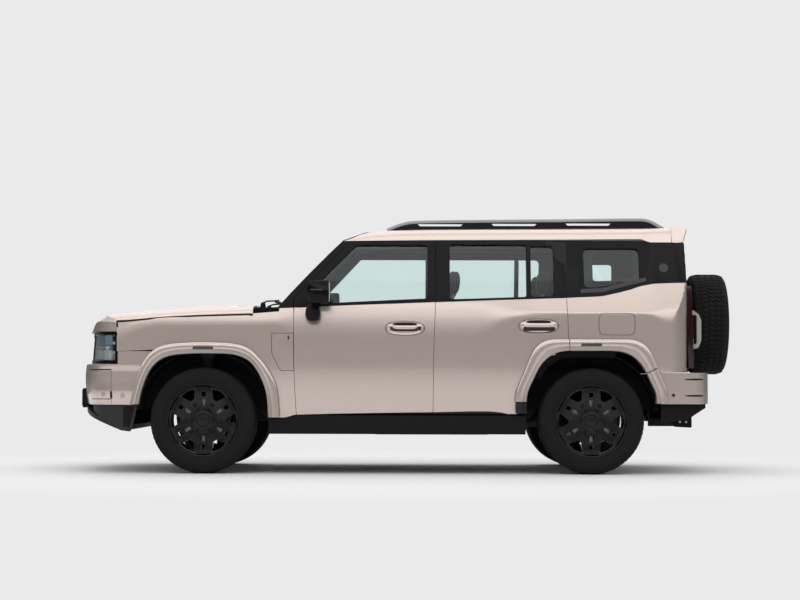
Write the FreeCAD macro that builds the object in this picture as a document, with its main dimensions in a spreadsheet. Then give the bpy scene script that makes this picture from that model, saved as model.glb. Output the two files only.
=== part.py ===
import FreeCAD, Part
import math
import os
import re
from types import SimpleNamespace

import Sketcher

# A lifted off-road estate car with a separate frame, five doors and a spare wheel on the tailgate.
# X points rearward, Y to the car's right and Z up, in millimetres.
# The origin is on the ground, at the middle of the car's length and width.

SIZES = [
    # Wheels and axles
    ("wheel_base", 2880, "front axle to rear axle"),
    ("front_axle_ahead", 1492, "origin forward to the front axle"),
    ("track_half", 840, "centre line to a tyre's middle"),
    ("tyre_radius", 394, "tread radius, and the wheel centres' height"),
    ("tyre_half_width", 137.5, "half the tyre's section width"),
    ("tread_half_width", 108, "half the flat of the tread"),
    ("tyre_shoulder_drop", 16, "shoulder below the tread"),
    ("tyre_bulge_radius", 320, "radius of the widest part of the side wall"),
    ("tyre_bead_radius", 258, "inside of the tyre"),
    ("tyre_bead_half_width", 112, "half the tyre's width at its bead"),
    ("rim_lip_radius", 272, "outer radius of the rim's lip"),
    ("rim_lip", 11, "thickness of the rim's lip"),
    ("rim_wall", 11, "thickness of the rim's barrel"),
    ("rim_dish", 26, "spoke face behind the rim's outer lip"),
    ("spoke_depth", 44, "thickness of the spokes"),
    ("window_inner_radius", 108, "inner edge of a wheel window"),
    ("window_outer_radius", 232, "outer edge of a wheel window"),
    ("window_inner_width", 46, "width of a wheel window at its inner edge"),
    ("window_outer_width", 150, "width of a wheel window at its outer edge"),
    ("wheel_hub_radius", 72, "hub behind the spokes"),
    ("cap_radius", 72, "centre cap"),
    ("cap_height", 9, "centre cap in front of the spokes"),
    ("disc_radius", 160, "brake disc"),
    ("disc_thickness", 26, "brake disc"),
    ("running_gap", 0.3, "between faces that turn on each other"),
    ("seat_gap", 0.3, "between pieces seated on each other"),
    ("move_gap", 6, "between pieces that move past each other"),
    ("overrun", 30, "how far a cutting solid runs past a face"),
    # Body section
    ("body_half_width", 955, "centre line to the doors' widest"),
    ("waist_height", 720, "height at which the side reaches full width"),
    ("flank_height", 1010, "height at which the side starts to lean in"),
    ("shoulder_height", 1180, "shoulder line"),
    ("shoulder_half_width", 948, "half width at the shoulder"),
    ("belt_height", 1277, "foot of the side windows"),
    ("belt_half_width", 934, "half width at the belt"),
    ("gutter_height", 1745, "top of the side windows' frames"),
    ("gutter_half_width", 812, "half width at the gutter"),
    ("roof_edge_height", 1829, "top of the roof's side"),
    ("roof_edge_half_width", 748, "half width at the top of the roof's side"),
    ("roof_crown_height", 27, "roof's middle above the top of its sides"),
    ("door_low", 452, "lower edge of the doors"),
    ("door_low_half_width", 926, "half width at the doors' lower edge"),
    ("sill_height", 440, "top of the sill step"),
    ("sill_low", 295, "bottom of the sill step"),
    ("sill_inner_half_width", 858, "inside of the sill step"),
    ("sill_half_width", 938, "outside of the sill step"),
    ("body_low", 336, "bottom of the inner sill"),
    ("door_thickness", 110, "whole door below the belt"),
    ("frame_thickness", 78, "whole door frame above the belt"),
    ("skin_depth", 30, "door's outer flange"),
    ("flange_width", 60, "door's outer flange past its inner box"),
    ("seal_gap", 8, "behind the door's outer flange"),
    ("core_gap", 15, "round the door's inner box"),
    ("hinge_low", 660, "lower hinges' middle"),
    ("hinge_high", 1060, "upper hinges' middle"),
    ("hinge_height", 70, "hinge leaf"),
    ("hinge_depth", 45, "hinge leaf across the car"),
    ("roof_thickness", 45, "roof with its lining"),
    ("rear_thickness", 95, "whole tailgate"),
    # Body side view
    ("pillar_front_x", -905, "front of the hinge pillars"),
    ("screen_foot_x", -942, "foot of the windscreen"),
    ("screen_foot_height", 1234, "foot of the windscreen"),
    ("screen_top_x", -461, "top of the windscreen"),
    ("roof_front_x", -300, "front of the roof's flat"),
    ("roof_front_height", 1806, "roof at its front"),
    ("roof_rise_x", 120, "where the roof is level"),
    ("roof_rise_height", 1840, "roof where it is level"),
    ("rear_face_x", 2122, "rear face of the body at the bumper"),
    ("rear_lean", 34, "how much the rear face leans forward at the gutter"),
    ("rear_low", 760, "bottom of the rear face"),
    ("corner_start_x", 1930, "where the rear corners start to round"),
    ("corner_radius", 150, "rear corners seen from above"),
    ("screen_frame", 40, "windscreen frame's thickness"),
    ("screen_low_half_width", 792, "half the windscreen opening at its foot"),
    ("screen_top_half_width", 672, "half the windscreen opening at its top"),
    ("glass_thickness", 5, "all windows"),
    ("glass_depth", 16, "side windows behind the outer skin"),
    # Doors
    ("hinge_x", -823, "front doors' hinge line"),
    ("door_front_low_x", -801, "front doors' front edge at its foot"),
    ("door_knee_height", 1305, "where the front door's edge joins the pillar"),
    ("door_pillar_x", -410, "front door's edge at its top"),
    ("door_top", 1735, "upper edge of the doors"),
    ("middle_low_x", 213, "line between the doors at its foot"),
    ("middle_top_x", 233, "line between the doors at its top"),
    ("rear_door_top_x", 1206, "rear door's rear edge at its top"),
    ("rear_door_low_x", 1226, "rear door's rear edge at the wheel arch"),
    ("window_top", 1714, "top of the door windows"),
    ("window_front_low_x", -528, "front window's foot"),
    ("window_front_low", 1265, "front window's foot"),
    ("window_knee_x", -632, "front window's front corner"),
    ("window_knee", 1437, "front window's front corner"),
    ("window_front_top_x", -362, "front window's upper front corner"),
    ("window_front_rear_x", 174, "front window's rear edge"),
    ("window_front_rear_low", 1300, "front window's rear foot"),
    ("window_rear_front_x", 334, "rear window's front edge"),
    ("window_rear_front_low", 1295, "rear window's front foot"),
    ("window_post_x", 911, "rear window's dividing post"),
    ("window_post_width", 30, "rear window's dividing post"),
    ("window_rear_rear_x", 1113, "rear window's rear edge"),
    ("window_rear_rear_low", 1322, "rear window's rear foot"),
    ("window_corner", 28, "rounding of the windows' corners"),
    ("handle_height", 1080, "middle of the door handles"),
    ("handle_front_x", 10, "front door's handle"),
    ("handle_rear_x", 1000, "rear door's handle"),
    ("handle_length", 230, "door handle"),
    ("handle_width", 26, "door handle"),
    ("handle_reach", 24, "door handle past the door"),
    ("mirror_front_x", -712, "mirror housing"),
    ("mirror_rear_x", -556, "mirror housing"),
    ("mirror_low", 1262, "mirror housing"),
    ("mirror_high", 1424, "mirror housing"),
    ("mirror_inner", 988, "mirror housing's inner end"),
    ("mirror_outer", 1164, "mirror housing's outer end"),
    ("mirror_rounding", 32, "mirror housing's edges"),
    ("mirror_arm_x", -677, "mirror arm"),
    ("mirror_arm_height", 71, "mirror arm below its housing"),
    ("mirror_arm_radius", 40, "mirror arm"),
    # Quarter windows
    ("quarter_front_x", 1338, "quarter window's front edge"),
    ("quarter_rear_x", 1752, "quarter window's rear edge"),
    ("quarter_top", 1688, "quarter window's top"),
    ("quarter_low", 1387, "quarter window's foot"),
    ("quarter_knee_x", 1468, "quarter window's lower corner"),
    ("quarter_rear_low", 1453, "quarter window's rear foot"),
    # Wheel arches
    ("arch_half_width", 482, "arch opening"),
    ("arch_waist", 600, "height at which the arch starts to lean in"),
    ("arch_top_half_width", 330, "arch opening's flat top"),
    ("front_arch_top", 890, "front arch opening"),
    ("rear_arch_top", 918, "rear arch opening"),
    ("arch_corner", 270, "rounding of the arch opening's upper corners"),
    ("arch_side_rounding", 240, "rounding of the arch opening's sides"),
    ("flare_half_width", 562, "flare's outer edge"),
    ("flare_top_half_width", 395, "flare's flat top"),
    ("front_flare_top", 972, "front flare"),
    ("rear_flare_top", 996, "rear flare"),
    ("flare_corner", 200, "rounding of the flare's upper corners"),
    ("flare_reach", 35, "flare's outer face past the doors"),
    ("flare_lip_width", 36, "lower lip along the wheel arch's opening"),
    ("flare_lip_reach", 8, "lip's face past the doors"),
    ("flare_front_low", 512, "front flare's front foot"),
    ("flare_rear_low", 420, "front flare's rear foot"),
    ("liner_radius", 512, "inside of the wheel housings"),
    ("liner_wall", 6, "wheel housings"),
    ("liner_inner", 486, "wheel housings' inner face"),
    ("front_liner_outer", 872, "front wheel housings' outer edge"),
    ("rear_liner_outer", 838, "rear wheel housings' outer edge"),
    ("liner_low", 470, "lower edge of the wheel housings"),
    # Nose
    ("nose_x", -2473, "bumper's front face"),
    ("nose_low", 508, "lower edge of the painted bumper"),
    ("ledge_height", 805, "bumper's ledge"),
    ("lamp_face_x", -2430, "face of the grille and lamps at the ledge"),
    ("lamp_low", 812, "foot of the headlamps"),
    ("lamp_top", 1046, "top of the headlamps"),
    ("lamp_rear_x", -2138, "rear edge of the headlamps"),
    ("lamp_inner", 560, "inner edge of the headlamps"),
    ("brow_x", -2412, "front edge of the bonnet"),
    ("brow_height", 1054, "front edge of the bonnet"),
    ("bonnet_roll_x", -2300, "where the bonnet levels out"),
    ("bonnet_roll_height", 1168, "bonnet where it levels out"),
    ("bonnet_front_height", 1205, "bonnet ahead of the front axle"),
    ("bonnet_middle_height", 1245, "bonnet over the front axle"),
    ("bonnet_rear_height", 1258, "bonnet at its rear edge"),
    ("bonnet_rear_x", -1125, "rear edge of the bonnet"),
    ("crease_front", 1132, "joint of bonnet and fender at the lamps"),
    ("crease_middle", 1172, "joint of bonnet and fender at the axle"),
    ("crease_rear", 1196, "joint of bonnet and fender at the door"),
    ("crease_step", 46, "fender's shoulder to the bonnet's top edge"),
    ("bonnet_edge_inset", 70, "bonnet's top edge inboard of the fender"),
    ("nose_half_width_one", 200, "half width at the nose's flat middle"),
    ("nose_station_two", 32, "second cross-section behind the nose's front"),
    ("nose_half_width_two", 410, "half width at the second cross-section"),
    ("nose_station_three", 73, "third cross-section"),
    ("nose_half_width_three", 618, "half width at the third cross-section"),
    ("nose_station_four", 110, "fourth cross-section"),
    ("nose_half_width_four", 755, "half width at the fourth cross-section"),
    ("nose_station_five", 150, "fifth cross-section"),
    ("nose_half_width_five", 846, "half width at the fifth cross-section"),
    ("nose_station_six", 200, "sixth cross-section"),
    ("nose_half_width_six", 902, "half width at the sixth cross-section"),
    ("nose_station_seven", 272, "seventh cross-section"),
    ("nose_half_width_seven", 934, "half width at the seventh cross-section"),
    ("nose_low_tuck", 34, "nose's lower edge inboard of its widest"),
    ("nose_skin", 42, "bonnet, fenders and bumper"),
    ("seam_height", 904, "joint of bumper and fender"),
    ("seam_rear_x", -1880, "rear end of that joint"),
    ("panel_gap", 6, "between the painted panels"),
    ("cowl_half_width", 850, "cowl between the fenders"),
    ("cowl_depth", 60, "cowl panel"),
    ("valance_front_low", 468, "front valance's front foot"),
    ("valance_low", 318, "front valance's lowest edge"),
    ("valance_low_x", -2108, "front valance's lowest edge"),
    ("valance_rear_x", -2062, "front valance's rear edge"),
    ("valance_half_width", 915, "half the front valance"),
    ("valance_wall", 34, "valances"),
    ("grille_bars", 7, "bars in the grille"),
    ("grille_bar_share", 0.42, "share of the grille's pitch that is bar"),
    ("grille_half_width", 520, "grille opening"),
    ("grille_margin", 26, "grille's frame"),
    ("plate_reach", 35, "number plate in front of the bumper"),
    ("plate_half_width", 230, "half the number plate's width"),
    ("plate_low", 482, "number plate's foot"),
    ("plate_height", 140, "number plate"),
    # Rear
    ("bumper_front_x", 1882, "rear bumper's front end"),
    ("bumper_x", 2275, "rear bumper's rear face"),
    ("bumper_corner_x", 2212, "rear bumper's corner"),
    ("bumper_corner_half_width", 905, "rear bumper's corner"),
    ("bumper_flat_half_width", 760, "rear bumper's flat rear face"),
    ("bumper_half_width", 952, "rear bumper"),
    ("bumper_low", 525, "rear bumper's foot"),
    ("bumper_top", 752, "rear bumper's top"),
    ("bumper_step", 700, "rear bumper's step under the spare wheel"),
    ("bumper_step_half_width", 620, "half the step"),
    ("bumper_wall", 50, "rear bumper"),
    ("bumper_depth", 120, "rear bumper's middle"),
    ("rear_valance_x", 2240, "rear valance's rear edge"),
    ("rear_valance_mid_x", 2110, "rear valance's lower corner"),
    ("rear_valance_mid", 410, "rear valance's lower corner"),
    ("rear_valance_front_x", 1910, "rear valance's front edge"),
    ("rear_valance_low", 376, "rear valance's foot"),
    ("gate_half_width", 792, "half the tailgate"),
    ("gate_top_half_width", 716, "half the tailgate at its top"),
    ("gate_low", 768, "foot of the tailgate"),
    ("gate_top", 1722, "top of the tailgate"),
    ("gate_window_half_width", 590, "half the tailgate's window"),
    ("gate_window_top_half_width", 545, "half the tailgate's window at its top"),
    ("gate_window_low", 1318, "foot of the tailgate's window"),
    ("gate_window_top", 1660, "top of the tailgate's window"),
    ("spoiler_front_x", 2004, "spoiler's front edge"),
    ("spoiler_top_x", 2086, "spoiler's top edge"),
    ("spoiler_tip_x", 2131, "spoiler's tip"),
    ("spoiler_tip_height", 1830, "spoiler's tip"),
    ("spoiler_low_x", 2100, "spoiler's lower edge"),
    ("spoiler_height", 1848, "spoiler's top"),
    ("lamp_width", 88, "tail lamp, seen from behind"),
    ("tail_lamp_low", 790, "tail lamp's foot"),
    ("tail_lamp_top", 1400, "tail lamp's top"),
    ("tail_lamp_reach", 40, "tail lamp behind the body"),
    ("pull_rear_x", 2222, "tailgate handle"),
    ("pull_low", 941, "tailgate handle"),
    ("pull_top", 1222, "tailgate handle"),
    ("pull_y", -742, "tailgate handle's middle"),
    ("pull_half_width", 26, "tailgate handle"),
    ("pull_bar", 20, "tailgate handle's bar"),
    ("spare_x", 2370.5, "spare wheel's middle"),
    ("spare_height", 1142, "spare wheel's centre"),
    ("carrier_radius", 150, "spare wheel's carrier plate"),
    ("carrier_foot", 330, "half the carrier's foot"),
    ("carrier_plate", 18, "carrier's plates"),
    # Roof rails
    ("rail_half_width", 716, "centre line to a rail's middle"),
    ("rail_width", 36, "roof rail"),
    ("rail_front_x", -131, "roof rail's front end"),
    ("rail_rear_x", 1952, "roof rail's rear end"),
    ("rail_ramp", 150, "length of a rail's sloping end"),
    ("rail_front_top", 1903, "top of a rail at its front"),
    ("rail_rear_top", 1922, "top of a rail at its rear"),
    ("rail_slot_height", 20, "slots through a rail"),
    ("rail_slot_length", 345, "slots through a rail"),
    ("rail_slot_first_x", 95, "first slot's front end"),
    ("rail_slot_pitch", 558, "from slot to slot"),
    ("rail_cap", 22, "rail above its slots"),
    # Frame and running gear
    ("frame_rail_outer", 478, "frame rail's outer face"),
    ("frame_rail_width", 80, "frame rail"),
    ("frame_rail_height", 128, "frame rail"),
    ("frame_low", 300, "frame rail's bottom between the axles"),
    ("frame_front_low", 480, "frame rail's bottom over the front axle"),
    ("frame_rear_low", 508, "frame rail's bottom over the rear axle"),
    ("frame_front_x", -2350, "frame's front end"),
    ("frame_rear_x", 2120, "frame's rear end"),
    ("frame_drop_front_x", -1130, "where the rail drops behind the front axle"),
    ("frame_drop_end_x", -960, "end of that drop"),
    ("frame_rise_x", 880, "where the rail rises ahead of the rear axle"),
    ("frame_rise_end_x", 1040, "end of that rise"),
    ("cross_width", 90, "cross member along the car"),
    ("cross_height", 50, "cross member"),
    ("floor_height", 442, "underside of the floor"),
    ("floor_thickness", 24, "floor"),
    ("floor_half_width", 842, "half the floor"),
    ("floor_rear_x", 872, "where the floor steps up"),
    ("load_floor_height", 650, "underside of the load floor"),
    ("load_floor_half_width", 486, "half the load floor between the wheel housings"),
    ("load_floor_end_x", 2020, "rear edge of the load floor"),
    ("firewall_x", -960, "front of the firewall"),
    ("firewall_thickness", 24, "firewall"),
    ("firewall_top", 1180, "top of the firewall"),
    ("engine_front_x", -2140, "engine"),
    ("engine_rear_x", -1400, "engine"),
    ("engine_half_width", 250, "engine"),
    ("engine_low", 500, "engine"),
    ("engine_top", 1080, "engine"),
    ("gearbox_rear_x", -380, "gearbox"),
    ("gearbox_radius", 105, "gearbox"),
    ("gearbox_height", 480, "gearbox's centre line"),
    ("shaft_radius", 34, "propeller shaft"),
    ("axle_tube_radius", 48, "rear axle tube"),
    ("axle_case_radius", 128, "rear axle's middle"),
    ("axle_case_width", 210, "rear axle's middle"),
    ("spring_radius", 52, "springs and dampers"),
    ("spring_y", 596, "front dampers from the centre line"),
    ("rear_spring_y", 430, "rear springs from the centre line"),
    ("kingpin_y", 740, "steering axis from the centre line"),
    ("knuckle_half_length", 40, "knuckle along the car"),
    ("knuckle_inner", 714, "knuckle's inner face"),
    ("knuckle_outer", 764, "knuckle's outer face"),
    ("knuckle_reach", 172, "knuckle above and below the wheel centre"),
    ("arm_thickness", 26, "suspension arms"),
    ("arm_half_length", 46, "half a suspension arm along the car"),
    ("arm_inner", 470, "suspension arms' inner ends"),
    ("tank_front_x", -240, "fuel tank"),
    ("tank_rear_x", 760, "fuel tank"),
    ("tank_inner", 90, "fuel tank's inner side"),
    ("tank_low", 278, "fuel tank's bottom"),
    ("tank_clear", 8, "between the fuel tank and the frame"),
    ("pipe_radius", 30, "exhaust pipe"),
    ("pipe_y", 300, "exhaust pipe from the centre line, on the right"),
    ("pipe_height", 345, "exhaust pipe's centre line"),
    ("silencer_radius", 72, "silencer"),
    ("silencer_x", 330, "silencer's front end"),
    ("silencer_length", 420, "silencer"),
    ("receiver_inside", 50.8, "tow receiver's square opening"),
    ("receiver_wall", 6.4, "tow receiver"),
    ("receiver_length", 230, "tow receiver"),
    ("receiver_height", 372, "tow receiver's centre line"),
    ("receiver_rear_x", 2150, "tow receiver's mouth"),
    ("receiver_pin_radius", 8, "tow receiver's pin hole"),
    ("receiver_pin_x", 2096, "tow receiver's pin hole"),
    ("receiver_bar_radius", 28, "tow receiver's cross tube"),
    # Cabin
    ("dash_front_x", -900, "dashboard"),
    ("dash_rear_x", -560, "dashboard"),
    ("dash_low", 860, "dashboard"),
    ("dash_top", 1170, "dashboard"),
    ("dash_half_width", 800, "dashboard"),
    ("dash_slope", 130, "how far the dashboard's foot is ahead of its top"),
    ("seat_y", 385, "driver's seat from the centre line"),
    ("wheel_x", -445, "steering wheel's centre"),
    ("wheel_height", 1080, "steering wheel's centre"),
    ("wheel_radius", 180, "steering wheel's rim"),
    ("wheel_grip", 15, "steering wheel's rim"),
    ("wheel_tilt", 26, "steering wheel's tilt in degrees"),
    ("column_radius", 26, "steering column"),
    ("column_length", 190, "steering column"),
    ("boss_radius", 62, "steering wheel's middle"),
    ("spoke_width", 34, "steering wheel's spokes"),
    ("seat_half_width", 255, "front seats"),
    ("seat_front_x", -300, "front seat's cushion"),
    ("seat_rear_x", 230, "front seat's cushion"),
    ("seat_low", 640, "front seat's cushion"),
    ("seat_top", 790, "front seat's cushion"),
    ("seat_back_top", 1330, "front seat's back"),
    ("seat_back_depth", 120, "seat backs"),
    ("seat_back_lean", 150, "how far the seat backs lean"),
    ("seat_base_inset", 70, "seat base inboard of the cushion"),
    ("head_gap", 18, "between seat back and headrest"),
    ("head_height", 190, "headrest"),
    ("head_half_width", 128, "headrest"),
    ("head_depth", 95, "headrest"),
    ("stalk_radius", 7, "headrest's stalks"),
    ("stalk_y", 60, "headrest's stalks from its middle"),
    ("bench_half_width", 640, "rear bench"),
    ("bench_front_x", 490, "rear bench's cushion"),
    ("bench_rear_x", 940, "rear bench's cushion"),
    ("bench_low", 760, "rear bench's cushion"),
    ("bench_top", 880, "rear bench's cushion"),
    ("bench_back_top", 1330, "rear bench's back"),
    ("bench_base_half_width", 440, "rear bench's base"),
    ("bench_base_rear_x", 860, "rear bench's base"),
    ("soft_rounding", 26, "rounding of the seats' edges"),
]

os.makedirs("parts", exist_ok=True)
doc = FreeCAD.newDocument("OffRoader")
sheet = doc.addObject("Spreadsheet::Sheet", "Sizes")
for row, (name, value, note) in enumerate(SIZES, start=1):
    sheet.set(f"A{row}", name)
    sheet.set(f"B{row}", str(value))
    sheet.set(f"C{row}", note)
    sheet.setAlias(f"B{row}", name)
doc.recompute()
v = SimpleNamespace(**{name: float(sheet.get(name)) for name, _, _ in SIZES})

# Places that follow from the sizes
front_x = -v.front_axle_ahead
rear_x = v.wheel_base - v.front_axle_ahead
FRONT = "-front_axle_ahead"
REAR = "wheel_base - front_axle_ahead"

nodes = {}
ALONG_Y = FreeCAD.Rotation(FreeCAD.Vector(1, 0, 0), -90)
ALONG_X = FreeCAD.Rotation(FreeCAD.Vector(0, 1, 0), 90)
ALONG_Z = FreeCAD.Rotation()


def bound(formula):
    """Point each size's name in a formula at its cell in the sheet."""
    return re.sub(r"[a-z][a-z_]+", lambda found: "Sizes." + found.group(), formula)


def box(name, x, y, z):
    """A box between two formulas along each axis."""
    block = doc.addObject("Part::Box", name)
    for letter, side, (low, high) in zip("xyz", ("Length", "Width", "Height"), (x, y, z)):
        block.setExpression(f"Placement.Base.{letter}", bound(low))
        block.setExpression(side, bound(f"{high} - ({low})"))
    return block


def cylinder(name, turn, radius, length, x, y, z):
    """A cylinder that starts at a point and runs along one axis."""
    rod = doc.addObject("Part::Cylinder", name)
    rod.Placement = FreeCAD.Placement(FreeCAD.Vector(), turn)
    rod.setExpression("Radius", bound(radius))
    rod.setExpression("Height", bound(length))
    for letter, formula in zip("xyz", (x, y, z)):
        rod.setExpression(f"Placement.Base.{letter}", bound(formula))
    return rod


PLANES = {
    "side": (lambda across, up: FreeCAD.Vector(across, 0, up), FreeCAD.Vector(0, 1, 0)),
    "front": (lambda across, up: FreeCAD.Vector(0, across, up), FreeCAD.Vector(1, 0, 0)),
    "top": (lambda across, up: FreeCAD.Vector(across, up, 0), FreeCAD.Vector(0, 0, 1)),
}


def outline(plane, corners):
    """A closed wire through corners, each (across, up) or (across, up, rounding)."""
    place = PLANES[plane][0]
    points = [place(corner[0], corner[1]) for corner in corners]
    starts, ends, edges = [], [], []
    for index, corner in enumerate(corners):
        here = points[index]
        back = points[index - 1] - here
        ahead = points[(index + 1) % len(points)] - here
        rounding = corner[2] if len(corner) > 2 else 0
        if rounding:
            half = back.getAngle(ahead) / 2
            reach = rounding / math.tan(half)
            start = here + back.normalize() * reach
            end = here + ahead.normalize() * reach
            middle_way = (back + ahead).normalize()
            middle = here + middle_way * (rounding / math.sin(half) - rounding)
            edges.append(Part.Arc(start, middle, end).toShape())
        else:
            start = end = here
        starts.append(start)
        ends.append(end)
    for index, end in enumerate(ends):
        following = starts[(index + 1) % len(starts)]
        edges.append(Part.LineSegment(end, following).toShape())
    return Part.Wire(Part.__sortEdges__(edges))


def prism(name, plane, corners, low, high):
    """A solid with one outline, from low to high across the outline's plane."""
    way = PLANES[plane][1]
    face = Part.Face(outline(plane, corners))
    solid = doc.addObject("Part::Feature", name)
    solid.Shape = face.extrude(way * (high - low))
    solid.Placement = FreeCAD.Placement(way * low, FreeCAD.Rotation())
    return solid


def both_ways(corners):
    """An outline's right half and its mirror image, as one closed list of corners."""
    mirror = [(-corner[0], *corner[1:]) for corner in reversed(corners)]
    return corners + mirror


def fused(name, *pieces):
    """The pieces joined into one."""
    whole = doc.addObject("Part::MultiFuse", name)
    whole.Shapes = list(pieces)
    whole.Refine = True
    return whole


def cut(name, base, *tools):
    """The base without the tools."""
    rest = doc.addObject("Part::Cut", name)
    rest.Base = base
    rest.Tool = tools[0] if len(tools) == 1 else fused(name + "_cutter", *tools)
    rest.Refine = True
    return rest


def common(name, base, tool):
    """What two pieces share."""
    rest = doc.addObject("Part::Common", name)
    rest.Base = base
    rest.Tool = tool
    rest.Refine = True
    return rest


def mirrored(name, piece):
    """The piece on the car's other side."""
    image = doc.addObject("Part::Mirroring", name)
    image.Source = piece
    image.Normal = FreeCAD.Vector(0, 1, 0)
    return image


def together(name, *pieces):
    """Pieces that don't touch, kept as one node."""
    group = doc.addObject("Part::Compound", name)
    group.Links = list(pieces)
    return group


def rounded(name, piece, radius):
    """The piece with every edge rounded."""
    fillet = doc.addObject("Part::Fillet", name)
    fillet.Base = piece
    doc.recompute()
    fillet.Edges = [(index + 1, radius, radius) for index in range(len(piece.Shape.Edges))]
    return fillet


def moved(name, piece, place):
    """A copy of a finished piece at another place."""
    doc.recompute()
    copy = doc.addObject("Part::Feature", name)
    copy.Shape = piece.Shape.copy()
    copy.Placement = place.multiply(piece.Placement)
    return copy


def node(label, piece):
    """Name a finished piece, so that it is written to its own file."""
    piece.Label = label
    nodes[label] = piece
    return piece


# Body section

def side_points(inset_low=0.0, inset_high=0.0, lift=0.0):
    """The side's section from the sill to the gutter, moved inward."""
    return [
        (v.door_low_half_width - inset_low, v.door_low - lift),
        (v.body_half_width - inset_low, v.waist_height),
        (v.body_half_width - inset_low, v.flank_height),
        (v.shoulder_half_width - inset_low, v.shoulder_height),
        (v.belt_half_width - (inset_low + inset_high) / 2, v.belt_height),
        (v.gutter_half_width - inset_high, v.gutter_height),
    ]


def cabin_section(inset_low, inset_high, roof_inset):
    """The whole cabin's section, from its open bottom to the roof."""
    low = [(v.sill_inner_half_width - inset_low / 2, v.body_low - v.overrun * bool(inset_low)),
           (v.sill_inner_half_width - inset_low / 2, v.door_low - v.panel_gap)]
    roof = [(v.roof_edge_half_width - inset_high, v.roof_edge_height - roof_inset, v.corner_radius / 5),
            (v.roof_edge_half_width / 2, v.roof_edge_height + v.roof_crown_height - roof_inset - v.panel_gap)]
    return both_ways(low + side_points(inset_low, inset_high, v.panel_gap) + roof)


def rear_line(height, inset=0.0):
    """How far back the rear face is at a height."""
    share = (height - v.rear_low) / (v.gutter_height - v.rear_low)
    return v.rear_face_x - v.rear_lean * share - inset


def cabin_profile(inset, floor):
    """The cabin seen from the side, moved inward."""
    slope = math.atan2(v.gutter_height - v.screen_foot_height, v.screen_top_x - v.screen_foot_x)
    shift = v.screen_frame * inset / math.sin(slope)
    down = v.roof_thickness * inset
    back = v.rear_thickness * inset
    top = v.roof_edge_height + v.roof_crown_height - down
    return [
        (v.pillar_front_x + shift * 2, floor),
        (v.pillar_front_x + shift * 2, v.screen_foot_height),
        (v.screen_foot_x + shift, v.screen_foot_height),
        (v.screen_top_x + shift, v.gutter_height),
        (v.roof_front_x, v.roof_front_height - down),
        (v.roof_rise_x, v.roof_rise_height - down),
        (v.roof_rise_x + (v.roof_rise_x - v.roof_front_x), top),
        (rear_line(top, back), top),
        (rear_line(v.rear_low, back), v.rear_low),
        (rear_line(v.rear_low, back), floor),
    ]


def cabin_plan(inset_side, inset_rear):
    """The cabin seen from above, with its rear corners rounded."""
    side = v.body_half_width - inset_side
    rear = v.rear_face_x - inset_rear
    return [
        (v.screen_foot_x - v.overrun, -side),
        (rear, -side, v.corner_radius),
        (rear, side, v.corner_radius),
        (v.screen_foot_x - v.overrun, side),
    ]


span = v.body_half_width + v.overrun
cabin_outer = common(
    "cabin_outer",
    common(
        "cabin_outer_long",
        prism("cabin_outer_side", "side", cabin_profile(0, v.body_low), -span, span),
        prism("cabin_outer_front", "front", cabin_section(0, 0, 0), v.screen_foot_x - v.overrun,
              v.rear_face_x + v.overrun),
    ),
    prism("cabin_outer_top", "top", cabin_plan(0, 0), v.body_low - v.overrun,
          v.roof_edge_height + v.roof_crown_height + v.overrun),
)
cabin_inner = common(
    "cabin_inner",
    common(
        "cabin_inner_long",
        prism("cabin_inner_side", "side", cabin_profile(1, v.body_low - v.overrun), -span, span),
        prism("cabin_inner_front", "front",
              cabin_section(v.door_thickness, v.frame_thickness, v.roof_thickness),
              v.screen_foot_x - v.overrun, v.rear_face_x + v.overrun),
    ),
    prism("cabin_inner_top", "top", cabin_plan(v.door_thickness, v.rear_thickness),
          v.body_low - v.overrun,
          v.roof_edge_height + v.roof_crown_height + v.overrun),
)
cabin_shell = cut("cabin_shell", cabin_outer, cabin_inner)


# Wheel arches

def arch(axle, top, low, half=v.arch_half_width, top_half=v.arch_top_half_width, corner=v.arch_corner,
         grow=0.0):
    """The outline of a wheel arch's opening, or of its flare."""
    half += grow
    return [
        (axle - half, low),
        (axle - half, v.arch_waist, v.arch_side_rounding),
        (axle - top_half - grow, top + grow, corner),
        (axle + top_half + grow, top + grow, corner),
        (axle + half, v.arch_waist, v.arch_side_rounding),
        (axle + half, low),
    ]


def flare_outline(axle, top, low, grow=0.0):
    """The outer edge of a flare."""
    return arch(axle, top, low, v.flare_half_width, v.flare_top_half_width, v.flare_corner, grow)


past = v.mirror_outer + v.overrun
front_opening = prism("front_opening", "side", arch(front_x, v.front_arch_top, v.sill_low - v.overrun),
                      -past, -v.liner_inner)
rear_opening = prism("rear_opening", "side", arch(rear_x, v.rear_arch_top, v.sill_low - v.overrun),
                     -past, -v.liner_inner)


def flare(name, axle, top, low, arch_top, opening):
    """A flare on the left side: a band along its outer edge and a lower lip along the opening."""
    ring = prism(name + "_outer", "side", flare_outline(axle, top, low),
                 -v.body_half_width - v.flare_reach, -v.body_half_width + v.skin_depth)
    lip_room = prism(name + "_lip_room", "side",
                     arch(axle, arch_top, v.sill_low - v.overrun, grow=v.flare_lip_width),
                     -past, -v.body_half_width - v.flare_lip_reach)
    return cut(name, ring, lip_room, opening)


front_flare = cut(
    "front_flare",
    flare("front_flare_ring", front_x, v.front_flare_top, v.flare_rear_low, v.front_arch_top,
          front_opening),
    box("front_flare_foot", (FRONT + " - flare_half_width - overrun", FRONT),
        ("-body_half_width - flare_reach - overrun", "-body_half_width + skin_depth + overrun"),
        ("sill_low", "flare_front_low")),
)
rear_flare = flare("rear_flare_ring", rear_x, v.rear_flare_top, v.door_low, v.rear_arch_top, rear_opening)


# Doors

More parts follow.
